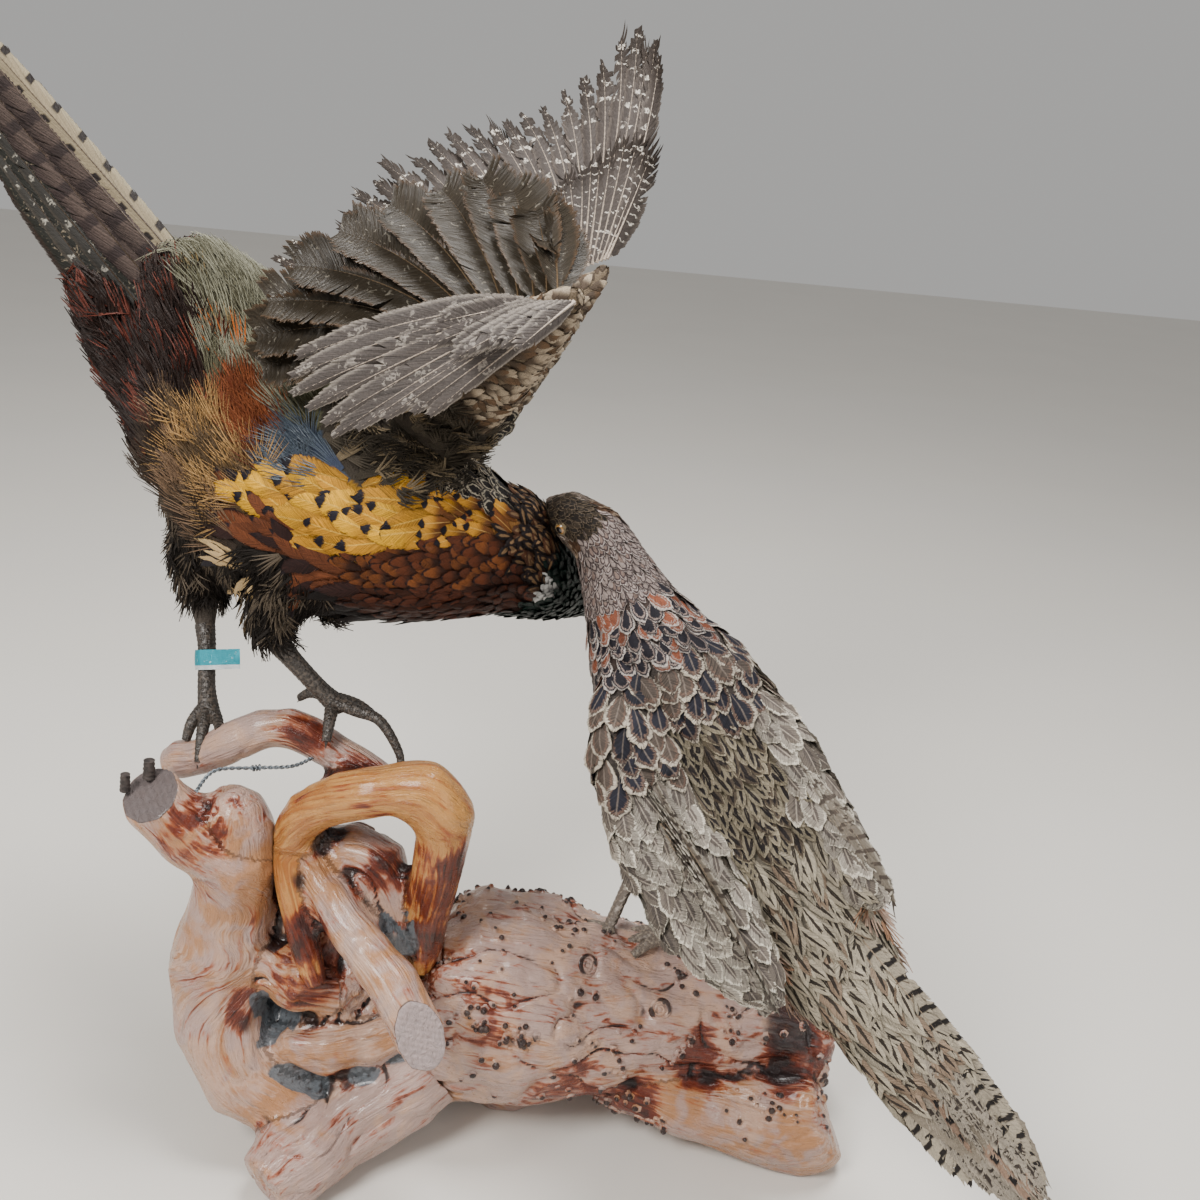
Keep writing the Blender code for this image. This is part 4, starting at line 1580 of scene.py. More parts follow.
@dataclass
class Coat:
    """All the small feathers of one bird."""

    LENGTHS = (0.82, 1.16)   # how the feathers of a tract differ, as shares
    WIDTHS = (0.88, 1.12)
    LIFTS = (0.6, 1.45)
    ROLL = 0.10

    bird: str
    field: Field
    slot: str
    seed: int = SEED

    def feathers(self, tract: Tract, roots: np.ndarray, sheet: np.ndarray,
                 rng: np.random.Generator) -> bpy.types.Object:
        """Lays one tract's feathers.

        Args:
            tract: The tract.
            roots: Where its feathers start.
            sheet: Their places on the bake map.
            rng: The draw to use.

        Returns:
            The tract's piece.
        """
        count = len(roots)
        lengths = tract.length * rng.uniform(*self.LENGTHS, count)
        widths = tract.wide * rng.uniform(*self.WIDTHS, count)
        rolls = rng.normal(0.0, self.ROLL, count)
        lifts = tract.lift * rng.uniform(*self.LIFTS, count)
        tints, kinds = rng.uniform(0.0, 1.0, count), rng.uniform(0.0, 1.0, count)
        path, sides, ups = self.field.comb(roots, lengths, tract, rng)
        bundle = Bundle(f"{self.bird}_{tract.name}_feathers")
        patterns = tract.patterns()
        for number, pattern in enumerate(patterns):
            mine = np.arange(count) % len(patterns) == number
            along = np.clip(pattern.along, 0.0, 1.0) * (self.field.PATH - 1)
            low = np.minimum(along.astype(int), self.field.PATH - 2)
            share = (along - low)[None, :, None]
            spine, side, up = (rows[mine][:, low] * (1 - share) + rows[mine][:, low + 1] * share
                               for rows in (path, sides, ups))
            wide = widths[mine][:, None]
            lateral = (pattern.across + pattern.centre) * wide
            rise = (lifts[mine][:, None] * pattern.along**1.35 + 0.0002
                    + pattern.height * wide + lateral * rolls[mine][:, None])
            points = spine + side * lateral[..., None] + up * rise[..., None]
            points[..., 2] -= tract.sag * pattern.along**2 * lengths[mine][:, None]
            patch = (pattern.vane - 0.5) * PATCH
            bundle.add(pattern, points, sheet[mine][:, None, :] + patch[None],
                       tints[mine], kinds[mine])
        return bundle.finish([tract.finish.build()])

    def build(self) -> None:
        """Scatters the roots and lays every tract."""
        rng = np.random.default_rng(self.seed)
        roots, numbers, sheet = self.field.roots(rng)
        for number, tract in enumerate(self.field.tracts):
            mine = numbers == number
            if not tract.length or not mine.any():
                continue
            piece = self.feathers(tract, roots[mine], sheet[mine], rng)
            settle(piece, None, self.slot)


# ------------------------------------------------------------------ long feathers
@dataclass(frozen=True)
class QuillCut:
    """How a long feather is cut.

    Outer and inner are the widths of its two vanes, shaft its radius at the
    root, slant how far a barb sweeps on, in vane widths, and fray how ragged
    the tip is. A negative camber turns the rims up.
    """

    outer: float
    inner: float
    shaft: float = 0.0009
    locks: int = 34
    slant: float = 0.75
    camber: float = 0.10
    fray: float = 0.12
    splits: int = 3
    outline: tuple[tuple[float, float], ...] = (
        (0.0, 0.12), (0.07, 0.45), (0.2, 0.85), (0.5, 1.0), (0.8, 0.98), (0.92, 0.80), (1.0, 0.40))


@dataclass
class Quills:
    """Builds long feathers, each from a shaft and locks of barbs, into one piece."""

    bundle: Bundle
    total: int
    seed: int
    made: int = 0
    lock: Pattern = field(default_factory=lambda: leaf(3, 5))
    rib: Pattern = field(default_factory=lambda: leaf(3, 18))

    def __post_init__(self) -> None:
        """Starts this piece's own draw."""
        self.rng = np.random.default_rng(self.seed)

    def add(self, line: np.ndarray, face: np.ndarray, cut: QuillCut, vane_slot: int = 0,
            shaft_slot: int = 1) -> None:
        """Adds one feather.

        Args:
            line: The shaft's points from root to tip.
            face: The way the vane faces.
            cut: How it is cut.
            vane_slot: The vane's material slot.
            shaft_slot: The shaft's material slot.
        """
        rng, lock = self.rng, self.lock
        length = np.linalg.norm(np.diff(line, axis=0), axis=1).sum()
        heading = unit(np.gradient(line, axis=0))
        up = unit(face - heading * (heading * face).sum(1, keepdims=True))
        rows = np.hstack((line, heading, np.cross(heading, up), up))
        strip = np.array((self.made, self.made + 0.92)) / self.total
        tint, kind = rng.uniform(0.0, 1.0, 2)
        pitch = 0.93 / cut.locks
        for sign, wide in ((-1.0, cut.outer), (1.0, cut.inner)):
            base = np.linspace(0.05, 0.985, cut.locks)
            swing = np.zeros(cut.locks)
            for _ in range(cut.splits):
                start = rng.integers(4, cut.locks)
                swing[start:start + rng.integers(3, 9)] += rng.normal(0.0, 0.9)
            ragged = cut.fray * rng.uniform(0.0, 1.0, cut.locks) * base**2 * 1.6
            reach = wide * profile(cut.outline, base) * (1.0 - ragged)
            slant = cut.slant * reach / length
            out = lock.along[None]
            width = pitch * 0.62 * (1.0 - 0.35 * cut.fray * out**2)
            t = (base[:, None] + lock.across * width + slant[:, None] * out**1.2
                 + swing[:, None] * pitch * out**1.5)
            lateral = sign * reach[:, None] * out
            rise = (-cut.camber * out**2 * reach[:, None] * 2.0 + lock.across * 0.00016
                    + lock.height * 0.00030 + swing[:, None] * 0.00035 * out
                    + rng.normal(0.0, 0.00012, (cut.locks, 1)) * out)
            at = read_at(rows, t)
            over = np.maximum(t - 1.0, 0.0)[..., None] * length
            points = (at[..., :3] + at[..., 3:6] * over + at[..., 6:9] * lateral[..., None]
                      + at[..., 9:12] * rise[..., None])
            vane = np.stack(((0.5 + sign * out * 0.5) * np.ones_like(t), np.clip(t, 0, 1)), -1)
            bake = self.on_strip(vane, strip)
            self.bundle.add(lock, points, bake, np.full(cut.locks, tint),
                            np.full(cut.locks, kind), vane_slot, vane)
        self.shaft(rows, cut, strip, tint, shaft_slot)
        self.made += 1

    def on_strip(self, vane: np.ndarray, strip: np.ndarray) -> np.ndarray:
        """Lays a feather's coordinates on its own strip of the bake map."""
        left, right = strip
        return np.stack((left + (right - left) * vane[..., 0], 0.01 + 0.97 * vane[..., 1]), -1)

    def shaft(self, rows: np.ndarray, cut: QuillCut, strip: np.ndarray, tint: float,
              slot: int) -> None:
        """Adds a feather's tapering shaft.

        Args:
            rows: The feather's line, heading, side and up, one row to a step.
            cut: How the feather is cut.
            strip: The left and right of its strip on the bake map.
            tint: The feather's own number.
            slot: The shaft's material slot.
        """
        rib = self.rib
        at = read_at(rows, rib.along)
        radius = cut.shaft * (1.0 - 0.86 * rib.along)
        points = (at[:, :3] + at[:, 6:9] * (rib.across * radius)[:, None]
                  + at[:, 9:12] * ((rib.height * 1.1 - 0.3) * radius)[:, None])
        vane = np.stack((0.5 + rib.across * 0.02, rib.along), -1)
        self.bundle.add(rib, points[None], self.on_strip(vane, strip)[None],
                        np.array([tint]), np.array([tint]), slot)


@dataclass(frozen=True)
class Fan:
    """A fan of long feathers between a line of roots and a line of tips.

    Bow is how far the middles stand out, roll how each vane leans to overlap
    the next in degrees, and reach the share of the full length, below one for
    the coverts that lie over the roots.
    """

    roots: tuple[Point, ...]
    tips: tuple[Point, ...]
    count: int
    cut: QuillCut
    bow: Point
    face: Point
    roll: float = 10.0
    reach: float = 1.0
    raised: float = 0.0
    droop: float = 0.0
    uneven: float = 0.03
    slots: tuple[int, ...] = ()

    def spread(self, quills: Quills, vane_slot: int = 0, shaft_slot: int = 1) -> None:
        """Adds the fan's feathers.

        Args:
            quills: The piece that they join.
            vane_slot: Their material slot.
            shaft_slot: Their shafts' material slot.
        """
        shares = (np.arange(self.count) + 0.5) / self.count
        start = read_at(curve_through(self.roots, 60), shares)
        end = read_at(curve_through(self.tips, 120), shares)
        beside = unit(np.gradient(end, axis=0) + 0.5 * np.gradient(start, axis=0))
        for number, (root, tip, aside) in enumerate(zip(start, end, beside)):
            way = tip - root
            face = unit(np.cross(way, aside))
            face = face * (1.0 if face @ np.array(self.face) > 0 else -1.0)
            heading = unit(way)
            roll = math.radians(self.roll + quills.rng.normal(0.0, 2.0))
            face = face * math.cos(roll) + np.cross(heading, face) * math.sin(roll)
            reach = self.reach * (1.0 + quills.rng.normal(0.0, self.uneven))
            t = np.linspace(0.0, 1.0, 24)[:, None] * reach
            line = root + way * t + np.array(self.bow) * (4 * t * (1 - t))
            line = line + face * (self.raised * t - self.droop * t**2)
            slot = self.slots[number % len(self.slots)] if self.slots else vane_slot
            quills.add(line, face, self.cut, slot, shaft_slot)


def long_feathers(name: str, fans: tuple[tuple[Fan, int], ...], finishes: tuple,
                  slot: str, nodes: tuple[str, ...], seed: int) -> bpy.types.Object:
    """Builds one piece of long feathers from its fans.

    Args:
        name: The piece's name.
        fans: Each fan with its material slot.
        finishes: The vanes' finishes, and the shafts' finish last.
        slot: The record's material slot.
        nodes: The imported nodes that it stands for.
        seed: The piece's own draw.

    Returns:
        The piece.
    """
    quills = Quills(Bundle(name), sum(fan.count for fan, _ in fans), seed)
    for fan, number in fans:
        fan.spread(quills, number, len(finishes) - 1)
    piece = quills.bundle.finish([finish.build() for finish in finishes])
    return settle(piece, None, slot, *nodes)


# ------------------------------------------------------------------ colours of the cock
GREEN = VaneFinish("green-glossed neck feather", (0.005, 0.012, 0.010),
                   (Band(0.55, 1.3, (0.006, 0.018, 0.014)),), streak=0.5, roughness=0.36,
                   metallic=0.35)
CROWN = VaneFinish("bronze crown feather", (0.022, 0.028, 0.016),
                   (Band(0.7, 1.3, (0.045, 0.050, 0.025)),), roughness=0.42, metallic=0.25)
WATTLE = VaneFinish("red face wattle", (0.30, 0.016, 0.012), (Band(0.6, 1.3, (0.42, 0.03, 0.02)),),
                    streak=0.2, roughness=0.55)
WHITE = VaneFinish("white collar feather", (0.52, 0.52, 0.50), root=(0.16, 0.16, 0.16), streak=0.6)
NAPE = VaneFinish("tan-spotted nape feather", (0.008, 0.005, 0.005),
                  (Band(0.0, 0.44, (0.135, 0.080, 0.040), 1.25),), other=(0.045, 0.018, 0.009),
                  share=0.30, streak=0.7, roughness=0.5)
CHEVRON = VaneFinish("chevroned mantle feather", (0.010, 0.008, 0.008),
                     (Band(0.50, 0.64, (0.31, 0.27, 0.20)), Band(0.90, 1.6, (0.24, 0.20, 0.15)),),
                     streak=0.4, roughness=0.5)
BACK = VaneFinish("chestnut back feather", (0.085, 0.028, 0.012),
                  (Band(0.0, 0.38, (0.02, 0.014, 0.012)), Band(0.45, 0.62, (0.34, 0.26, 0.15)),
                   Band(0.62, 0.74, (0.02, 0.012, 0.01))), other=(0.12, 0.04, 0.016), share=0.4)
GOLD = VaneFinish("gold flank feather", (0.47, 0.245, 0.012), tip=(0.006, 0.004, 0.008),
                  tip_from=0.765, shaft=(0.56, 0.34, 0.06), other=(0.36, 0.165, 0.012), share=0.30,
                  root=(0.30, 0.14, 0.012), streak=1.0, roughness=0.50, fray=1.5, tip_curve=0.10)
GOLD_FORE = VaneFinish("ticked shoulder feather", (0.36, 0.165, 0.016), tip=(0.006, 0.004, 0.006),
                       tip_from=0.74, shaft=(0.46, 0.28, 0.08), other=(0.13, 0.042, 0.010),
                       share=0.40, root=(0.10, 0.036, 0.010), streak=0.75, roughness=0.5,
                       tip_curve=0.12, fray=1.2)
COPPER = VaneFinish("copper breast feather", (0.110, 0.034, 0.009), tip=(0.008, 0.004, 0.005),
                    tip_from=0.86, bands=(Band(0.90, 1.6, (0.018, 0.007, 0.005)),),
                    other=(0.070, 0.019, 0.007), share=0.45, root=(0.025, 0.009, 0.005), streak=0.85,
                    roughness=0.45, metallic=0.05, tip_curve=0.25, fray=1.2)
MAROON = VaneFinish("maroon breast feather", (0.030, 0.009, 0.0045),
                    bands=(Band(0.80, 1.6, (0.008, 0.004, 0.004)),), other=(0.060, 0.017, 0.008),
                    share=0.3, streak=0.85, roughness=0.45, metallic=0.05, fray=1.2)
CREAM_FAN = VaneFinish("cream thigh fan feather", (0.43, 0.300, 0.150), tip=(0.010, 0.007, 0.007),
                       tip_from=0.90, bands=(Band(0.82, 1.6, (0.010, 0.008, 0.009)),),
                       other=(0.010, 0.008, 0.012), share=0.30, streak=0.8, fray=1.2)
RUST_FLANK = VaneFinish("rust hind-flank feather", (0.098, 0.030, 0.012), tip=(0.012, 0.007, 0.009),
                        tip_from=0.84, other=(0.022, 0.009, 0.008), share=0.35, streak=1.1,
                        fray=1.5)
BLACK = VaneFinish("black belly feather", (0.008, 0.006, 0.006), other=(0.035, 0.012, 0.008),
                   share=0.2, streak=0.6, roughness=0.55)
BUFF = VaneFinish("buff vent filament", (0.36, 0.215, 0.085), other=(0.09, 0.060, 0.034), share=0.45,
                  root=(0.08, 0.05, 0.025), streak=0.55, roughness=0.7, fray=0.0)
UMBER = VaneFinish("umber vent filament", (0.040, 0.028, 0.020), other=(0.16, 0.10, 0.06), share=0.25,
                   streak=0.6, roughness=0.7, fray=0.0)
BLUE = VaneFinish("slate-blue filament", (0.068, 0.085, 0.106), other=(0.160, 0.182, 0.205), share=0.3,
                  root=(0.04, 0.05, 0.08), streak=0.5, roughness=0.5, fray=0.0)
RUST = VaneFinish("rust filament", (0.205, 0.066, 0.028), other=(0.125, 0.036, 0.018), share=0.4,
                  root=(0.12, 0.03, 0.014), streak=0.5, roughness=0.5, fray=0.0)
RUMP = VaneFinish("silver-green rump filament", (0.195, 0.190, 0.138), other=(0.080, 0.075, 0.046),
                  share=0.35, root=(0.055, 0.050, 0.026), streak=0.6, roughness=0.45, fray=0.0)
RUMP_GOLD = VaneFinish("orange rump filament", (0.24, 0.17, 0.075), other=(0.40, 0.11, 0.022),
                       share=0.4, root=(0.10, 0.07, 0.035), streak=0.55, fray=0.0)
DARK_TAIL = VaneFinish("dark under-tail filament", (0.016, 0.009, 0.007), other=(0.085, 0.022, 0.014),
                       share=0.22, streak=0.6, roughness=0.5, fray=0.0)
THIGH = VaneFinish("black thigh filament", (0.014, 0.011, 0.009), other=(0.09, 0.070, 0.05),
                   share=0.22, streak=0.5, roughness=0.65, fray=0.0)
COVERT = VaneFinish("cream wing covert", (0.33, 0.265, 0.190), tip=(0.022, 0.015, 0.012),
                    tip_from=0.84, other=(0.115, 0.070, 0.040), share=0.38, root=(0.07, 0.05, 0.035),
                    streak=0.9, tip_curve=0.3, fray=1.4)
LINING = VaneFinish("dusky wing lining", (0.050, 0.041, 0.030), other=(0.17, 0.13, 0.08), share=0.28,
                    streak=0.6, roughness=0.68, fray=0.0)
SHANK_SKIN = VaneFinish("shank", (0.05, 0.04, 0.035))

T_FACE = Tract("wattle", WATTLE, (0.25, 0.015, 0.010), 0.0022, 0.0011, 0.0018, 0.0006, columns=3,
               rows=4, stray=40.0)
T_CROWN = Tract("crown", CROWN, (0.03, 0.04, 0.02), 0.0075, 0.0020, 0.0023, 0.0009, Cut.POINTED,
                columns=3, rows=5)
T_GREEN = Tract("neck", GREEN, (0.006, 0.014, 0.010), 0.0125, 0.0034, 0.0040, 0.0022, Cut.POINTED,
                columns=5, rows=5)
T_WHITE = Tract("collar", WHITE, (0.34, 0.34, 0.32), 0.0120, 0.0026, 0.0026, 0.0022, Cut.POINTED,
                columns=3, rows=5, stray=10.0)
T_NAPE = Tract("nape", NAPE, (0.02, 0.012, 0.008), 0.0140, 0.0038, 0.0038, 0.0026, Cut.POINTED,
               stray=22.0)
T_MANTLE = Tract("mantle", CHEVRON, (0.03, 0.025, 0.02), 0.0190, 0.0064, 0.0062, 0.0032, stray=10.0)
T_BACK = Tract("back", BACK, (0.05, 0.025, 0.015), 0.0270, 0.0088, 0.0098, 0.0036)
T_GOLD = Tract("flank", GOLD, (0.26, 0.13, 0.012), 0.0450, 0.0090, 0.0086, 0.0028, Cut.SILKY, rows=8,
               columns=7, stray=15.0)
T_FORE = Tract("shoulder", GOLD_FORE, (0.18, 0.08, 0.02), 0.0240, 0.0056, 0.0060, 0.0026, Cut.SILKY,
               stray=14.0)
T_COPPER = Tract("breast", COPPER, (0.05, 0.016, 0.008), 0.0190, 0.0048, 0.0048, 0.0020, Cut.SILKY,
                 stray=13.0)
T_MAROON = Tract("throat", MAROON, (0.018, 0.007, 0.005), 0.0170, 0.0046, 0.0047, 0.0019, Cut.SILKY,
                 stray=11.0)
T_RUST_FLANK = Tract("hind_flank", RUST_FLANK, (0.08, 0.026, 0.010), 0.0400, 0.0074, 0.0080, 0.0042,
                     Cut.POINTED, stray=19.0, columns=5, rows=7)
T_FAN = Tract("thigh_fan", CREAM_FAN, (0.03, 0.02, 0.012), 0.0420, 0.0048, 0.0062, 0.0105, Cut.POINTED,
              turn=-55.0, stray=30.0, rows=7)
T_BELLY = Tract("belly", BLACK, (0.008, 0.006, 0.006), 0.0260, 0.0066, 0.0080, 0.0042, Cut.POINTED,
                stray=12.0)
T_BUFF = Tract("vent", BUFF, (0.10, 0.062, 0.030), 0.0380, 0.0085, 0.0058, 0.0070, filaments=11,
               stray=26.0, rows=5, splay=1.3, thin=0.055)
T_UMBER = Tract("hind", UMBER, (0.022, 0.016, 0.012), 0.0380, 0.0085, 0.0062, 0.0080, filaments=10,
                stray=26.0, rows=5, splay=1.2, thin=0.06, sag=0.05)
T_BLUE = Tract("blue", BLUE, (0.05, 0.07, 0.10), 0.0340, 0.0080, 0.0050, 0.0040, filaments=11,
               stray=14.0, rows=5, thin=0.06)
T_RUST = Tract("saddle", RUST, (0.10, 0.028, 0.012), 0.0370, 0.0080, 0.0050, 0.0040, filaments=11,
               stray=11.0, rows=5, thin=0.06)
T_RUMP = Tract("rump", RUMP, (0.08, 0.08, 0.045), 0.0560, 0.0080, 0.0050, 0.0060, filaments=10,
               stray=9.0, rows=6, thin=0.06)
T_RUMP_GOLD = Tract("rump_gold", RUMP_GOLD, (0.12, 0.08, 0.04), 0.0480, 0.0080, 0.0054, 0.0055,
                    filaments=8, stray=13.0, rows=6, thin=0.085)
T_DARK = Tract("under_tail", DARK_TAIL, (0.012, 0.007, 0.006), 0.0420, 0.0085, 0.0066, 0.0060,
               filaments=7, stray=12.0, rows=5, thin=0.12)
T_THIGH = Tract("thigh", THIGH, (0.010, 0.008, 0.008), 0.0230, 0.0070, 0.0050, 0.0060, filaments=7,
                stray=22.0, rows=5, splay=1.2, thin=0.12)
T_COVERT = Tract("covert", COVERT, (0.16, 0.12, 0.08), 0.0180, 0.0034, 0.0038, 0.0020, Cut.POINTED,
                 turn=48.0, stray=26.0)
T_LINING = Tract("lining", LINING, (0.04, 0.032, 0.024), 0.0250, 0.0070, 0.0056, 0.0060, filaments=7,
                 stray=28.0, rows=5, thin=0.12)
T_BARE = Tract("bare", SHANK_SKIN, (0.075, 0.062, 0.052), 0.0, 0.0, 1.0, 0.0)


@dataclass
class Cock:
    """The cock: his skin, coat, wings, tail, face and legs."""

    voxel: float = 0.0026
    eye: float = 0.0052
    head: Point = (0.043, 0.115, 0.403)
    right: Point = (0.86, -0.51, 0.0)
    eye_out: float = 0.0135

    def chains(self) -> dict[str, Chain]:
        """Draws the middle lines of his body and limbs, head first.

        Returns:
            The chains, by name.
        """
        body = Chain("body", (
            Station(0.058, 0.138, 0.382, (0.25, 0.42, 0.87), 0.0008),
            Station(0.043, 0.116, 0.399, (0.25, 0.42, 0.87), 0.0010),
            Station(0.030, 0.096, 0.408, (0.30, 0.40, 0.87), 0.0018),
            Station(0.014, 0.074, 0.419, (0.35, 0.30, 0.88), 0.0030),
            Station(-0.008, 0.046, 0.438, (0.30, 0.25, 0.92), 0.0036),
            Station(-0.034, 0.032, 0.458, (0.15, 0.22, 0.96), 0.0036),
            Station(-0.069, 0.028, 0.462, (0.05, 0.20, 0.98), 0.0040),
            Station(-0.127, 0.036, 0.468, (0.0, 0.20, 0.98), 0.0050),
            Station(-0.178, 0.046, 0.484, (0.25, 0.15, 0.95), 0.0060),
            Station(-0.220, 0.060, 0.522, (0.60, 0.10, 0.80), 0.0070),
            Station(-0.242, 0.079, 0.572, (0.80, 0.10, 0.55), 0.0070),
            Station(-0.264, 0.092, 0.607, (0.85, 0.10, 0.50), 0.0060),
            Station(-0.280, 0.099, 0.632, (0.85, 0.10, 0.50), 0.0040)), (0.0, 0.0, 0.66, 1.0))
        arms = [Chain(name, tuple(Station(*spot, (0.0, 1.0, 0.2), depth) for spot, depth in zip(
            spots, (0.0045, 0.0040, 0.0030, 0.0020, 0.0010))), (0.68, low, 0.83, low + 0.5), 1.15)
            for name, low, spots in (
                ("right_arm", 0.0, (
                    (-0.088, 0.012, 0.545), (-0.064, -0.006, 0.573), (-0.034, -0.027, 0.606),
                    (-0.009, -0.041, 0.630), (0.013, -0.052, 0.651))),
                ("left_arm", 0.5, (
                    (-0.092, 0.080, 0.525), (-0.066, 0.104, 0.552), (-0.032, 0.132, 0.588),
                    (-0.004, 0.158, 0.614), (0.021, 0.184, 0.640))))]
        right_leg = Chain("right_leg", (
            Station(-0.176, 0.008, 0.430, (1.0, 0.0, 0.2), 0.0060),
            Station(-0.184, 0.0, 0.414, (1.0, 0.0, 0.2), 0.0050),
            Station(-0.184, -0.007, 0.392, (1.0, 0.0, 0.5), 0.0016),
            Station(-0.167, -0.006, 0.371, (1.0, 0.0, 1.0), 0.0006),
            Station(-0.139, 0.0, 0.339, (1.0, 0.0, 1.0), 0.0006),
            Station(-0.108, -0.006, 0.333, (0.3, 0.0, 1.0), 0.0006),
            Station(-0.090, -0.018, 0.302, (1.0, 0.0, 0.5), 0.0006)), (0.84, 0.0, 0.91, 0.5), 1.6)
        left_leg = Chain("left_leg", (
            Station(-0.244, 0.058, 0.436, (1.0, 0.0, 0.2), 0.0060),
            Station(-0.251, 0.054, 0.418, (1.0, 0.0, 0.2), 0.0050),
            Station(-0.250, 0.047, 0.392, (0.5, -1.0, 0.2), 0.0016),
            Station(-0.243, 0.030, 0.360, (0.2, -1.0, 0.3), 0.0006),
            Station(-0.236, 0.010, 0.319, (0.2, -1.0, 0.3), 0.0006),
            Station(-0.235, -0.020, 0.294, (0.0, -1.0, 0.5), 0.0006)), (0.84, 0.5, 0.91, 1.0), 1.4)
        under = Chain("under_tail", (
            Station(-0.270, 0.068, 0.530, (0.6, 0.0, 0.8), 0.0040),
            Station(-0.284, 0.072, 0.540, (0.6, 0.0, 0.8), 0.0040),
            Station(-0.318, 0.084, 0.572, (0.6, 0.0, 0.8), 0.0030),
            Station(-0.352, 0.096, 0.610, (0.6, 0.0, 0.8), 0.0006)), (0.92, 0.0, 0.99, 1.0), 1.3)
        return {chain.name: chain for chain in (body, *arms, right_leg, left_leg, under)}

    def coats(self, chains: dict[str, Chain]) -> dict[Chain, tuple[Patch, ...]]:
        """Tells which feathers grow where.

        Args:
            chains: His chains, by name.

        Returns:
            The patches on each chain.
        """
        body = patches(
            (T_CROWN, (0.020, 0.0, 0.030, 34.0), (0.052, 0.0, 0.014, 55.0)),
            (T_FACE, (0.030, 82.0, 0.017, 36.0), (0.006, 90.0, 0.010, 60.0)),
            (T_GREEN, (0.030, 165.0, 0.030, 38.0), (0.085, 0.0, 0.030, 60.0),
             (0.095, 110.0, 0.035, 70.0)),
            (T_WHITE, (0.1315, 108.0, 0.0042, 17.0)),
            (T_NAPE, (0.152, 10.0, 0.014, 45.0), (0.154, 66.0, 0.012, 24.0),
             (0.142, 100.0, 0.007, 14.0)),
            (T_MANTLE, (0.180, 20.0, 0.020, 30.0)), (T_BACK, (0.245, 8.0, 0.045, 38.0)),
            (T_FORE, (0.184, 62.0, 0.016, 17.0), (0.205, 48.0, 0.020, 10.0)),
            (T_GOLD, (0.226, 76.0, 0.027, 20.0), (0.256, 80.0, 0.030, 23.0),
             (0.290, 88.0, 0.018, 12.0)),
            (T_COPPER, (0.178, 96.0, 0.017, 18.0), (0.212, 108.0, 0.024, 13.0)),
            (T_MAROON, (0.152, 128.0, 0.016, 28.0), (0.205, 140.0, 0.034, 24.0)),
            (T_RUST_FLANK, (0.286, 109.0, 0.030, 12.0), (0.256, 124.0, 0.026, 11.0)),
            (T_BELLY, (0.270, 164.0, 0.050, 20.0)), (T_BUFF, (0.345, 104.0, 0.026, 20.0)),
            (T_UMBER, (0.342, 138.0, 0.032, 22.0)), (T_BLUE, (0.288, 58.0, 0.030, 13.0)),
            (T_RUST, (0.354, 62.0, 0.026, 16.0)), (T_LINING, (0.222, 38.0, 0.030, 10.0)),
            (T_RUMP, (0.340, 16.0, 0.040, 30.0), (0.430, 34.0, 0.060, 42.0)),
            (T_RUMP_GOLD, (0.405, 58.0, 0.014, 12.0), (0.455, 62.0, 0.008, 8.0)),
            (T_DARK, (0.415, 100.0, 0.030, 20.0), (0.470, 140.0, 0.060, 50.0)))
        arm = patches((T_LINING, (0.0, 90.0, 0.040, 120.0)),
                      (T_COVERT, (0.085, 90.0, 0.050, 120.0), (0.150, 90.0, 0.050, 120.0)))
        leg = patches((T_THIGH, (0.0, 90.0, 0.030, 120.0), (0.024, 90.0, 0.015, 120.0)),
                      (T_BARE, (0.070, 90.0, 0.030, 120.0), (0.120, 90.0, 0.050, 120.0)))
        fan = patches((T_FAN, (0.010, 126.0, 0.024, 38.0)))
        far_arm = patches((T_MANTLE, (0.018, 112.0, 0.026, 50.0)))
        return {chains["body"]: body, chains["right_arm"]: arm, chains["left_arm"]: arm + far_arm,
                chains["right_leg"]: leg + fan, chains["left_leg"]: leg,
                chains["under_tail"]: patches((T_DARK, (0.05, 90.0, 0.1, 180.0)))}

    def build(self) -> None:
        """Builds the cock."""
        chains = self.chains()
        skin = grown_skin("cock_skin", (
            "cock_trunk", "cock_neck", "cock_head", "cock_undertail", "cock_right_wing_arm",
            "cock_left_wing_arm", "cock_leg_right", "cock_leg_left"), self.voxel,
            self.coats(chains), "cock_plumage")
        Coat("cock", skin, "cock_plumage").build()
        self.wings()
        self.tail()
        self.face()
        self.feet()

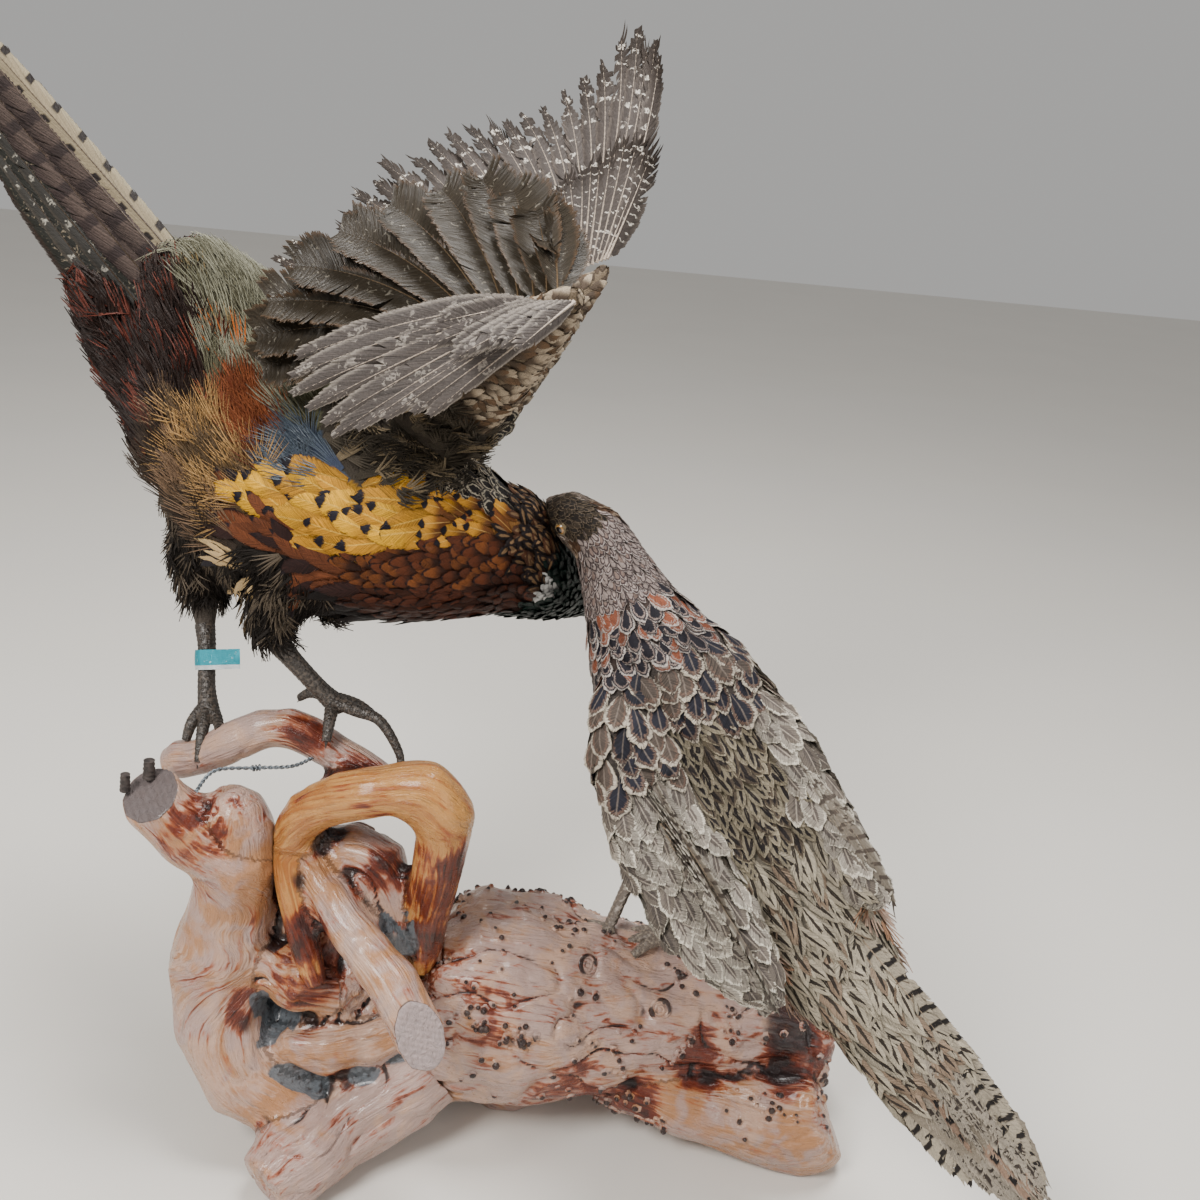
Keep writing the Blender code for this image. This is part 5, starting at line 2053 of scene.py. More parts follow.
    def wings(self) -> None:
        """The near wing half shut, the far one thrown open."""
        olive = QuillFinish("olive inner vane", (0.026, 0.020, 0.013), (0.072, 0.044, 0.025),
                            (0.13, 0.115, 0.09), Marks.FLECKS, rim_from=0.82, roughness=0.34,
                            streak=0.7, sparse=0.085)
        grey = QuillFinish("mauve-grey hand vane", (0.078, 0.066, 0.060), (0.27, 0.235, 0.20),
                           (0.27, 0.24, 0.21), Marks.DASHES, 5.0, rim_from=0.64, streak=1.1,
                           roughness=0.45)
        mottled = QuillFinish("white-dashed far vane", (0.055, 0.045, 0.040), (0.115, 0.095, 0.082),
                              (0.52, 0.48, 0.42), Marks.DASHES, 12.0, rim_from=0.55,
                              tip=(0.026, 0.019, 0.015), streak=0.9)
        pale = ShaftFinish("pale shaft", (0.46, 0.38, 0.31))
        brown = ShaftFinish("olive shaft", (0.13, 0.085, 0.045))
        cup = QuillCut(0.0215, 0.0250, 0.0012, 34, 0.5, -0.13, 0.16, 4, (
            (0.0, 0.2), (0.1, 0.6), (0.3, 0.9), (0.7, 1.0), (0.88, 0.93), (0.96, 0.74), (1.0, 0.50)))
        finger = QuillCut(0.0056, 0.0098, 0.0016, 36, 0.9, 0.14, 0.10, 3, (
            (0.0, 0.3), (0.1, 0.7), (0.3, 1.0), (0.75, 0.92), (0.92, 0.62), (1.0, 0.25)))
        near_inner = Fan(((0.000, -0.040, 0.646), (-0.042, -0.030, 0.628), (-0.090, -0.012, 0.600)),
                         ((-0.008, -0.004, 0.670), (-0.028, 0.020, 0.693), (-0.061, 0.036, 0.700),
                          (-0.118, 0.035, 0.683), (-0.164, 0.020, 0.645), (-0.190, 0.004, 0.605),
                          (-0.196, -0.004, 0.570)), 11, cup, (0.0, 0.012, 0.006), VIEW_SIDE, 13.0,
                         uneven=0.05)
        near_hand = Fan(((0.010, -0.058, 0.646), (-0.014, -0.056, 0.642)),
                        ((-0.070, -0.060, 0.570), (-0.104, -0.056, 0.562), (-0.134, -0.050, 0.554),
                         (-0.160, -0.044, 0.572), (-0.150, -0.040, 0.602)), 10, finger,
                        (0.006, -0.004, 0.008), VIEW_SIDE, -14.0)
        near_lesser = replace(near_hand, count=9, reach=0.42, raised=0.05,
                              cut=replace(finger, outer=0.006, inner=0.0085, locks=16))
        long_feathers("cock_near_inner_vanes", ((near_inner, 0),), (olive, brown),
                      "flight_feathers", ("cock_right_wing_secondaries",), SEED + 1)
        long_feathers("cock_near_hand_vanes", ((near_hand, 0), (near_lesser, 0)), (grey, pale),
                      "flight_feathers", ("cock_right_wing_primaries",), SEED + 2)
        broad = replace(finger, outer=0.0095, inner=0.0150, locks=36, fray=0.32, splits=6)
        far_inner = Fan(((-0.008, 0.172, 0.632), (-0.060, 0.145, 0.606), (-0.118, 0.116, 0.572)),
                        ((-0.066, 0.268, 0.736), (-0.117, 0.255, 0.721), (-0.172, 0.240, 0.684),
                         (-0.202, 0.220, 0.640), (-0.244, 0.200, 0.621)), 15, broad,
                        (0.006, 0.012, 0.005), VIEW_SIDE, 12.0)
        far_hand = Fan(((0.022, 0.190, 0.646), (-0.006, 0.176, 0.635)),
                       ((0.048, 0.285, 0.790), (0.029, 0.295, 0.812), (-0.015, 0.288, 0.772),
                        (-0.062, 0.271, 0.739)), 10, replace(broad, inner=0.0125, fray=0.42),
                       (0.006, 0.012, 0.005), VIEW_SIDE, 12.0)
        coverts = tuple((replace(fan, reach=0.42, raised=0.04, cut=replace(broad, locks=16)), 0)
                        for fan in (far_inner, far_hand))
        long_feathers("cock_far_inner_vanes", ((far_inner, 0), coverts[0]), (mottled, pale),
                      "flight_feathers", ("cock_left_wing_secondaries",), SEED + 3)
        long_feathers("cock_far_hand_vanes", ((far_hand, 0), coverts[1]), (mottled, pale),
                      "flight_feathers", ("cock_left_wing_primaries",), SEED + 4)

    def tail(self) -> None:
        """The long folded tail, its two sides leaning together like a roof."""
        tan = QuillFinish("barred tan tail vane", (0.175, 0.142, 0.090), (0.225, 0.190, 0.125),
                          (0.012, 0.009, 0.008), Marks.BARS, 15.0, rim_from=0.5, streak=0.7)
        mauve = QuillFinish("mauve-fringed tail vane", (0.062, 0.044, 0.037), (0.034, 0.024, 0.022),
                            (0.026, 0.018, 0.017), Marks.CROSS, 13.0, rim_from=0.2, streak=1.6,
                            roughness=0.6)
        barred = QuillFinish("grey-barred tail vane", (0.026, 0.024, 0.021), (0.045, 0.038, 0.03),
                             (0.27, 0.25, 0.21), Marks.DASHES, 15.0, rim_from=0.6, streak=0.8)
        dark = QuillFinish("greenish-black tail vane", (0.014, 0.014, 0.011), (0.030, 0.018, 0.013),
                           (0.16, 0.13, 0.09), Marks.FLECKS, rim_from=0.7, streak=0.8, sparse=0.05)
        shaft = ShaftFinish("dark tail shaft", (0.07, 0.05, 0.035))
        rump, middle = np.array((-0.272, 0.090, 0.586)), np.array((-0.429, 0.164, 0.718))
        heading = unit(middle - rump)
        across = unit(np.array(VIEW_SIDE) - heading * heading[1] * -1.0)
        over = np.cross(heading, across)
        whole = 0.442
        outline = ((0.0, 0.55), (0.1, 0.9), (0.35, 1.0), (0.55, 0.85), (0.75, 0.55), (0.9, 0.28),
                   (1.0, 0.06))
        cut = QuillCut(0.0120, 0.0120, 0.0011, 92, 1.1, 0.12, 0.16, 5, outline)
        loose = replace(cut, outer=0.0165, inner=0.0165, slant=1.9, fray=0.65, splits=26, locks=100)
        slim = replace(cut, outer=0.0085, inner=0.0095, locks=96)
        rows = ((0.0310, 1.00, slim, 0), (0.0230, 0.98, loose, 1), (0.0135, 0.95, loose, 1),
                (0.0040, 0.90, loose, 1), (-0.0060, 0.83, cut, 3), (-0.0150, 0.74, slim, 2),
                (-0.0230, 0.66, cut, 3), (-0.0300, 0.57, slim, 2), (-0.0370, 0.48, cut, 3))
        quills = Quills(Bundle("cock_tail_vanes"), 2 * len(rows), SEED + 5)
        for flank in (1.0, -1.0):
            for number, (height, share, shape, slot) in enumerate(rows):
                reach = np.linspace(0.0, 1.0, 40)[:, None] * share
                off = (0.0135 - 0.0012 * number + 0.0022 * (number % 2)) * (1.0 - 0.75 * reach)
                shape = replace(shape, locks=max(34, int(shape.locks * share)))
                line = (rump + heading * (reach * whole + 0.006) + np.array(UP) * 0.012 * reach**2
                        + over * ((height + min(flank, 0.0) * 0.006) * (1.0 - 0.62 * reach**1.6))
                        + across * flank * off)
                quills.add(line, across * flank + over * 0.25, shape, slot, 4)
        piece = quills.bundle.finish([f.build() for f in (tan, mauve, barred, dark, shaft)])
        settle(piece, None, "flight_feathers", "cock_tail")

    def face(self) -> None:
        """His bill, eyes and lids."""
        horn = HornFinish("pale bill horn", (0.42, 0.36, 0.24), (0.25, 0.20, 0.13)).build()
        upper = Form()
        upper.sweep(curve_through((
            (0.0510, 0.1290, 0.3905, 0.0060, 0.0066), (0.0560, 0.1365, 0.3855, 0.0050, 0.0058),
            (0.0615, 0.1450, 0.3780, 0.0042, 0.0046), (0.0665, 0.1525, 0.3685, 0.0030, 0.0032),
            (0.0700, 0.1575, 0.3585, 0.0010, 0.0010)), 14), self.right, 14)
        upper.sweep(curve_through((
            (0.0500, 0.1270, 0.3860, 0.0034, 0.0056), (0.0550, 0.1350, 0.3800, 0.0028, 0.0048),
            (0.0600, 0.1420, 0.3735, 0.0022, 0.0038), (0.0650, 0.1490, 0.3650, 0.0010, 0.0016)),
            10), self.right, 14)
        settle(upper.finish("cock_horn_bill"), horn, "horn", "cock_bill")
        glass = EyeFinish("amber glass eye", (0.38, 0.16, 0.03)).build()
        lid = HornFinish("red eyelid", (0.20, 0.012, 0.010), (0.30, 0.03, 0.02), 0.5).build()
        for name, sign in (("right", 1.0), ("left", -1.0)):
            outward = Vector(self.right) * sign
            centre = Vector(self.head) + outward * self.eye_out
            build_eye(f"cock_glass_eye_{name}", centre, outward, self.eye, glass,
                      f"cock_eye_{name}")
            build_lid(f"cock_eyelid_{name}", centre, outward, self.eye, lid, "neck_plumage")

    def feet(self) -> None:
        """His scaled shanks and toes."""
        scale = ScaleFinish("cock leg scale").build()
        claw = HornFinish("black claw horn", (0.020, 0.016, 0.014), (0.05, 0.04, 0.035)).build()
        for foot in COCK_FEET:
            foot.build(scale, claw, "leg_scale")


def build_eye(name: str, centre: Vector, outward: Vector, radius: float,
              material: bpy.types.Material, *nodes: str) -> None:
    """A glass eye whose rings are told from the way it looks.

    Args:
        name: The piece's name.
        centre: The ball's middle.
        outward: The way it looks.
        radius: The ball's radius.
        material: Its finish.
        nodes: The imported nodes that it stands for.
    """
    form = Form()
    turn = outward.to_track_quat('Z', 'Y').to_matrix()
    form.ball(centre, (radius, radius, radius), turn, 32)
    eye = form.finish(name)
    out = unit(points_of(eye.data) - np.array(centre))
    angle = np.degrees(np.arccos(np.clip(out @ np.array(outward.normalized()), -1.0, 1.0)))
    write_value(eye.data, "Ring", np.clip(angle / 62.0, 0.0, 2.0))
    settle(eye, material, "eye", *nodes)


def build_lid(name: str, centre: Vector, outward: Vector, radius: float,
              material: bpy.types.Material, slot: str) -> None:
    """Two folds of lid round an eye.

    Args:
        name: The piece's name.
        centre: The ball's middle.
        outward: The way it looks.
        radius: The ball's radius.
        material: The lid's finish.
        slot: The record's material slot.
    """
    form = Form()
    outward = outward.normalized()
    for out, wide, thick in ((0.52, 0.86, 0.11), (0.34, 1.02, 0.14)):
        form.hoop(centre + outward * radius * out, outward, radius * wide, radius * thick)
    settle(form.finish(name), material, slot)


def grown_skin(name: str, nodes: tuple[str, ...], voxel: float,
               coats: dict[Chain, tuple[Patch, ...]], slot: str) -> Field:
    """Cuts one seamless skin from a bird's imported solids, inside them by the coat's depth.

    Args:
        name: The skin's name.
        nodes: The solids of flesh.
        voxel: The grid of the new surface.
        coats: The patches on each chain.
        slot: The record's material slot.

    Returns:
        The field that the coat is laid on.
    """
    thing = carved(name, nodes, voxel)
    relax(thing.data, 3)
    spots = points_of(thing.data)
    chains = list(coats)
    places = [chain.locate(spots) for chain in chains]
    chosen = np.argmin([where.near for where in places], axis=0)
    depth = np.stack([where.depth for where in places])[chosen, np.arange(len(spots))]
    move_to(thing.data, spots - normals_of(thing.data) * depth[:, None])
    relax(thing.data, 2)
    thing.data.shade_smooth()
    skin = Field(thing, coats)
    skin.dye()
    skin.unroll()
    settle(thing, SkinFinish(f"{name} under its feathers").build(), slot, *nodes)
    return skin


# ------------------------------------------------------------------ legs and hen
def scutes(bundle: Bundle, rows: np.ndarray, front: Point, count: int, arc: float,
           strip: tuple[float, float]) -> None:
    """Lays overlapping plates down the front of a shank or toe.

    Args:
        bundle: The piece that they join.
        rows: x, y, z and radius from top to tip.
        front: The way the plates face.
        count: How many plates.
        arc: How far round they reach, in degrees each way.
        strip: Left and right of their strip on the bake map.
    """
    plate = leaf(7, 3)
    heading = unit(np.gradient(rows[:, :3], axis=0))
    face = unit(np.array(front) - heading * (heading @ np.array(front))[:, None])
    table = np.hstack((rows, np.cross(heading, face), face))
    start = np.arange(count)[:, None] / (count + 0.6)
    share = start + plate.along[None] * 1.45 / (count + 0.6)
    at = read_at(table, share)
    turn = np.radians(arc) * plate.across * (1.0 - 0.18 * plate.along)
    radius = at[..., 3] * 1.03 + 0.00022 + plate.height * 0.00020 + plate.along * 0.00055
    points = (at[..., :3] + at[..., 4:7] * (np.sin(turn) * radius)[..., None]
              + at[..., 7:10] * (np.cos(turn) * radius)[..., None])
    bake = np.stack((strip[0] + (strip[1] - strip[0]) * np.broadcast_to(plate.vane[:, 0], share.shape),
                     0.02 + 0.9 * share), -1)
    bundle.add(plate, points, bake, np.linspace(0, 1, count), np.linspace(1, 0, count))


@dataclass(frozen=True)
class Foot:
    """A bird's shank and toes: plates over them and a claw on each toe."""

    name: str
    paths: tuple[tuple[tuple[float, ...], ...], ...]
    front: Point
    claw: float = 0.0085
    drop: Point = (0.0, -0.25, -0.95)
    thick: float = 0.0050

    def build(self, scale: bpy.types.Material, horn: bpy.types.Material, slot: str) -> None:
        """Builds the plates and claws.

        Args:
            scale: The plates' finish.
            horn: The claws' finish.
            slot: The plates' material slot.
        """
        bundle, claws = Bundle(f"{self.name}_scales"), Form()
        for number, path in enumerate(self.paths):
            if number:
                path = tuple((*spot, self.thick * (1.0 - index / (len(path) + 1)))
                             for index, spot in enumerate(path))
            rows = curve_through(path, 40)
            length = np.linalg.norm(np.diff(rows[:, :3], axis=0), axis=1).sum()
            front = self.front if number == 0 else (0.12, -0.45, 0.9)
            strip = (0.02 + number * 0.19, 0.18 + number * 0.19)
            scutes(bundle, rows, front, max(6, int(length / 0.0036)),
                   105.0 if number else 120.0, strip)
            if number:
                end, way = rows[-1, :3], unit(rows[-1, :3] - rows[-8, :3])
                root = end - way * self.claw * 0.75
                bend = unit(way + np.array(self.drop) * 0.55)
                t = np.linspace(0.0, 1.0, 9)[:, None]
                line = root + way * t * self.claw * 0.75 + bend * t**2 * self.claw * 0.55
                radius = (0.0024 * (1.0 - 0.92 * t**1.3)) * self.thick / 0.005
                claws.sweep(np.hstack((line, radius * 1.15, radius * 0.9)), UP, 10)
        settle(bundle.finish([scale]), None, slot)
        settle(claws.finish(f"{self.name}_claws"), horn, "horn")


COCK_FEET = (
    Foot("cock_right_leg", (
        ((-0.178, -0.007, 0.384, 0.0068), (-0.167, -0.006, 0.371, 0.0058),
         (-0.151, -0.002, 0.351, 0.0058), (-0.139, 0.0, 0.339, 0.0074)),
        ((-0.146, -0.001, 0.344), (-0.126, -0.003, 0.338), (-0.108, -0.006, 0.333),
         (-0.093, -0.013, 0.314), (-0.090, -0.018, 0.302)),
        ((-0.143, -0.001, 0.341), (-0.142, -0.015, 0.335), (-0.142, -0.025, 0.323)),
        ((-0.142, 0.004, 0.342), (-0.126, 0.012, 0.334), (-0.108, 0.015, 0.318)),
        ((-0.144, 0.002, 0.345), (-0.160, 0.009, 0.343), (-0.170, 0.013, 0.336))),
        (0.55, -0.75, 0.35)),
    Foot("cock_left_leg", (
        ((-0.247, 0.039, 0.376, 0.0068), (-0.243, 0.030, 0.360, 0.0058),
         (-0.240, 0.018, 0.335, 0.0058), (-0.236, 0.010, 0.319, 0.0074)),
        ((-0.238, 0.014, 0.324), (-0.236, -0.002, 0.316), (-0.235, -0.013, 0.306),
         (-0.235, -0.020, 0.294)),
        ((-0.238, 0.013, 0.324), (-0.228, 0.002, 0.319), (-0.222, -0.010, 0.316)),
        ((-0.238, 0.013, 0.324), (-0.245, 0.0, 0.315), (-0.248, -0.006, 0.303))),
        (0.3, -0.9, 0.25)))

HEN_CROWN = VaneFinish("dark hen crown feather", (0.012, 0.009, 0.007),
                       (Band(0.72, 0.88, (0.115, 0.085, 0.055)),), other=(0.026, 0.019, 0.013), share=0.3)
HEN_FACE = VaneFinish("pale hen face feather", (0.190, 0.150, 0.120),
                      (Band(0.0, 0.70, (0.040, 0.028, 0.022), 1.6),), other=(0.31, 0.26, 0.22), share=0.3,
                      streak=0.6)
HEN_EAR = VaneFinish("brown ear feather", (0.060, 0.032, 0.018), other=(0.18, 0.13, 0.09), share=0.3)
HEN_NECK = VaneFinish("scaled hen neck feather", (0.215, 0.172, 0.155),
                      (Band(0.50, 0.84, (0.040, 0.028, 0.028)), Band(0.90, 1.6, (0.30, 0.262, 0.245))),
                      other=(0.135, 0.095, 0.080), share=0.35, streak=0.8)
HEN_CHEST = VaneFinish("ringed hen shoulder feather", (0.009, 0.008, 0.012),
                       (Band(0.54, 0.66, (0.21, 0.16, 0.14)), Band(0.83, 1.6, (0.31, 0.275, 0.25))),
                       other=(0.140, 0.043, 0.022), share=0.26, streak=1.0)
HEN_MANTLE = VaneFinish("rimmed hen mantle feather", (0.012, 0.012, 0.018),
                        (Band(0.58, 0.72, (0.105, 0.066, 0.050)), Band(0.72, 0.80, (0.040, 0.032, 0.030)),
                         Band(0.80, 1.6, (0.35, 0.305, 0.245))),
                        shaft=(0.15, 0.12, 0.10), other=(0.055, 0.042, 0.034), share=0.35, streak=1.1)
HEN_BACK = VaneFinish("daggered hen back feather", (0.160, 0.136, 0.096),
                      (Band(0.0, 0.66, (0.014, 0.011, 0.011), 2.0), Band(0.90, 1.6, (0.235, 0.200, 0.142))),
                      other=(0.065, 0.050, 0.036), share=0.30, streak=1.2)
HEN_RUMP = VaneFinish("pale hen rump feather", (0.27, 0.235, 0.178),
                      (Band(0.0, 0.72, (0.026, 0.020, 0.016), 3.0),), other=(0.18, 0.130, 0.092),
                      share=0.3, streak=1.2)
HEN_WING = VaneFinish("silver-grey hen wing covert", (0.225, 0.200, 0.168),
                      (Band(0.0, 0.52, (0.082, 0.068, 0.060), 1.5), Band(0.86, 1.6, (0.48, 0.44, 0.365))),
                      shaft=(0.36, 0.31, 0.25), other=(0.115, 0.096, 0.080), share=0.35, streak=1.0)
HEN_UNDER = VaneFinish("dun hen belly feather", (0.22, 0.165, 0.115), (Band(0.72, 0.9, (0.09, 0.06, 0.04)),),
                       other=(0.15, 0.11, 0.07), share=0.4, streak=0.6)
HEN_UNDER_TAIL = VaneFinish("barred hen under-tail vane", (0.25, 0.215, 0.165),
                            (Band(0.10, 0.22, (0.045, 0.036, 0.030)), Band(0.44, 0.56, (0.030, 0.024, 0.020)),
                             Band(0.76, 0.88, (0.030, 0.024, 0.020))),
                            other=(0.20, 0.155, 0.11), share=0.3, streak=0.9)
HEN_VENT = VaneFinish("pinkish vent filament", (0.34, 0.235, 0.18), other=(0.22, 0.12, 0.07), share=0.4,
                      streak=0.5, roughness=0.7, fray=0.0)

H_CROWN = Tract("crown", HEN_CROWN, (0.03, 0.02, 0.015), 0.0085, 0.0022, 0.0022, 0.0010, columns=3,
                rows=5, stray=14.0)
H_FACE = Tract("face", HEN_FACE, (0.15, 0.12, 0.10), 0.0062, 0.0016, 0.0017, 0.0008, Cut.POINTED,
               columns=3, rows=4, stray=14.0)
H_EAR = Tract("ear", HEN_EAR, (0.07, 0.04, 0.025), 0.0070, 0.0016, 0.0019, 0.0012, columns=3, rows=4)
H_NECK = Tract("neck", HEN_NECK, (0.12, 0.095, 0.085), 0.0105, 0.0027, 0.0027, 0.0012, columns=5, rows=5,
               stray=14.0)
H_CHEST = Tract("shoulder", HEN_CHEST, (0.05, 0.035, 0.03), 0.0190, 0.0062, 0.0056, 0.0026, stray=13.0)
H_MANTLE = Tract("mantle", HEN_MANTLE, (0.06, 0.05, 0.045), 0.0280, 0.0092, 0.0084, 0.0036, stray=16.0)
H_BACK = Tract("back", HEN_BACK, (0.11, 0.09, 0.06), 0.0210, 0.0042, 0.0047, 0.0028, Cut.SILKY,
               stray=18.0)
H_RUMP = Tract("rump", HEN_RUMP, (0.16, 0.14, 0.11), 0.0330, 0.0056, 0.0060, 0.0040, Cut.POINTED,
               stray=18.0)
H_WING = Tract("wing", HEN_WING, (0.13, 0.11, 0.09), 0.0290, 0.0074, 0.0074, 0.0032, stray=14.0)
H_UNDER = Tract("belly", HEN_UNDER, (0.14, 0.10, 0.07), 0.0240, 0.0072, 0.0082, 0.0036, stray=11.0)
H_VENT = Tract("vent", HEN_VENT, (0.18, 0.13, 0.09), 0.0320, 0.0085, 0.0066, 0.0060, filaments=7,
               rows=5, stray=24.0, thin=0.11)
H_TAIL = Tract("tail_root", HEN_RUMP, (0.26, 0.22, 0.17), 0.0, 0.0, 1.0, 0.0)
H_UNDER_TAIL = Tract("under_tail", HEN_UNDER_TAIL, (0.20, 0.17, 0.13), 0.0300, 0.0060, 0.0064, 0.0010,
                     Cut.SILKY, stray=7.0)
H_BARE = Tract("bare", SHANK_SKIN, (0.13, 0.105, 0.085), 0.0, 0.0, 1.0, 0.0)


@dataclass
class Hen:
    """The hen: her skin, coat, wing tips, tail, face and feet."""

    voxel: float = 0.0026
    back: Point = (-0.064, -0.900, 0.430)
    eye_spot: Point = (0.008, 0.011, 0.483)
    eye_way: Point = (-0.58, -0.77, -0.27)
    head: Point = (0.014, 0.031, 0.486)
    eye: float = 0.0046
    aside: tuple[float, float] = (-0.022, 0.024)

    @property
    def sideways(self) -> Vector:
        """Across her body, towards her right wing."""
        return Vector(self.back).cross(Vector((0.61, -0.377, -0.70))).normalized()

    def chains(self) -> dict[str, Chain]:
        """Draws the middle lines of her body, wings, tail and legs.

        Returns:
            The chains, by name.
        """
        back = self.back
        body = Chain("body", tuple(Station(*spot, back, depth) for *spot, depth in (
            (-0.009, 0.044, 0.478, 0.0006), (-0.002, 0.040, 0.480, 0.0010),
            (0.014, 0.031, 0.486, 0.0018), (0.033, 0.024, 0.479, 0.0022),
            (0.046, 0.018, 0.460, 0.0028), (0.059, 0.009, 0.437, 0.0032),
            (0.074, -0.004, 0.413, 0.0036), (0.096, -0.010, 0.382, 0.0042),
            (0.130, -0.022, 0.337, 0.0050), (0.166, -0.044, 0.293, 0.0050),
            (0.197, -0.072, 0.256, 0.0050), (0.224, -0.098, 0.228, 0.0040),
            (0.240, -0.114, 0.214, 0.0030))), (0.0, 0.0, 0.60, 1.0))
        tail = Chain("tail", tuple(Station(*spot, back, 0.0016) for spot in (
            (0.248, -0.128, 0.214), (0.288, -0.148, 0.180), (0.330, -0.164, 0.146),
            (0.363, -0.177, 0.118))), (0.62, 0.0, 0.70, 1.0), 1.0)
        left = Chain("left_wing", tuple(Station(*spot, (0.12, -0.64, 0.53), 0.0022) for spot in (
            (0.062, -0.058, 0.386), (0.070, -0.068, 0.364), (0.096, -0.092, 0.318),
            (0.130, -0.120, 0.274), (0.160, -0.142, 0.246), (0.177, -0.155, 0.232))),
            (0.72, 0.0, 0.80, 1.0), 2.1)
        right = Chain("right_wing", tuple(Station(*spot, back, 0.0022) for spot in (
            (0.118, -0.020, 0.420), (0.150, -0.040, 0.400), (0.185, -0.058, 0.370),
            (0.212, -0.076, 0.334), (0.230, -0.092, 0.304), (0.246, -0.101, 0.282))),
            (0.82, 0.0, 0.90, 1.0), 2.8)
        legs = {}
        for number, aside in enumerate(self.aside):
            legs[f"leg_{number}"] = Chain(f"leg_{number}", (
                Station(0.118 + aside, 0.022, 0.282, (1.0, 0.0, 0.2), 0.0040),
                Station(0.118 + aside, 0.030, 0.262, (1.0, 0.0, 0.2), 0.0030),
                Station(0.112 + aside, 0.042, 0.205, (1.0, 0.0, 0.2), 0.0006),
                Station(0.092 + aside, 0.016, 0.154, (1.0, 0.0, 0.2), 0.0006),
                Station(0.062 + aside, 0.016, 0.148, (0.0, 0.0, 1.0), 0.0006)),
                (0.92, 0.5 * number, 0.99, 0.5 * number + 0.5))
        return {chain.name: chain for chain in (body, tail, left, right)} | legs

    def coats(self, chains: dict[str, Chain]) -> dict[Chain, tuple[Patch, ...]]:
        """Tells which feathers grow where.

        Args:
            chains: Her chains, by name.

        Returns:
            The patches on each chain.
        """
        body = patches(
            (H_CROWN, (0.022, 0.0, 0.022, 38.0)),
            (H_FACE, (0.020, 85.0, 0.020, 38.0), (0.040, 110.0, 0.012, 50.0),
             (0.030, 165.0, 0.02, 50.0)),
            (H_EAR, (0.043, 62.0, 0.007, 16.0)),
            (H_NECK, (0.072, 20.0, 0.024, 60.0), (0.080, 100.0, 0.030, 60.0),
             (0.085, 170.0, 0.030, 60.0)),
            (H_CHEST, (0.120, 10.0, 0.017, 45.0), (0.116, 60.0, 0.020, 30.0),
             (0.134, 70.0, 0.016, 18.0), (0.130, 110.0, 0.015, 30.0)),
            (H_MANTLE, (0.158, 22.0, 0.018, 40.0), (0.180, 48.0, 0.026, 18.0)),
            (H_WING, (0.215, 92.0, 0.040, 14.0)),
            (H_BACK, (0.215, 0.0, 0.034, 50.0), (0.265, 30.0, 0.030, 45.0)),
            (H_RUMP, (0.325, 10.0, 0.030, 50.0), (0.390, 20.0, 0.030, 60.0)),
            (H_UNDER, (0.220, 135.0, 0.060, 45.0), (0.250, 98.0, 0.050, 20.0)),
            (H_VENT, (0.345, 100.0, 0.026, 34.0), (0.370, 160.0, 0.040, 45.0)))
        tail = patches(
            (H_RUMP, (0.000, 90.0, 0.030, 180.0)), (H_TAIL, (0.085, 40.0, 0.045, 60.0)),
            (H_UNDER_TAIL, (0.070, 180.0, 0.045, 75.0)), (H_TAIL, (0.134, 180.0, 0.014, 75.0)))
        wing = patches((H_MANTLE, (0.010, 90.0, 0.026, 180.0)),
                       (H_WING, (0.080, 90.0, 0.034, 180.0), (0.140, 90.0, 0.05, 180.0)))
        leg = patches((H_UNDER, (0.010, 90.0, 0.040, 180.0)),
                      (H_BARE, (0.110, 90.0, 0.030, 180.0), (0.150, 90.0, 0.030, 180.0)))
        return {chains["body"]: body, chains["tail"]: tail, chains["left_wing"]: wing,
                chains["right_wing"]: wing, chains["leg_0"]: leg, chains["leg_1"]: leg}

    def build(self) -> None:
        """Builds the hen."""
        skin = grown_skin("hen_skin", ("hen",), self.voxel, self.coats(self.chains()),
                          "hen_plumage")
        Coat("hen", skin, "hen_plumage", SEED + 10).build()
        self.plumes()
        self.face()
        self.feet()

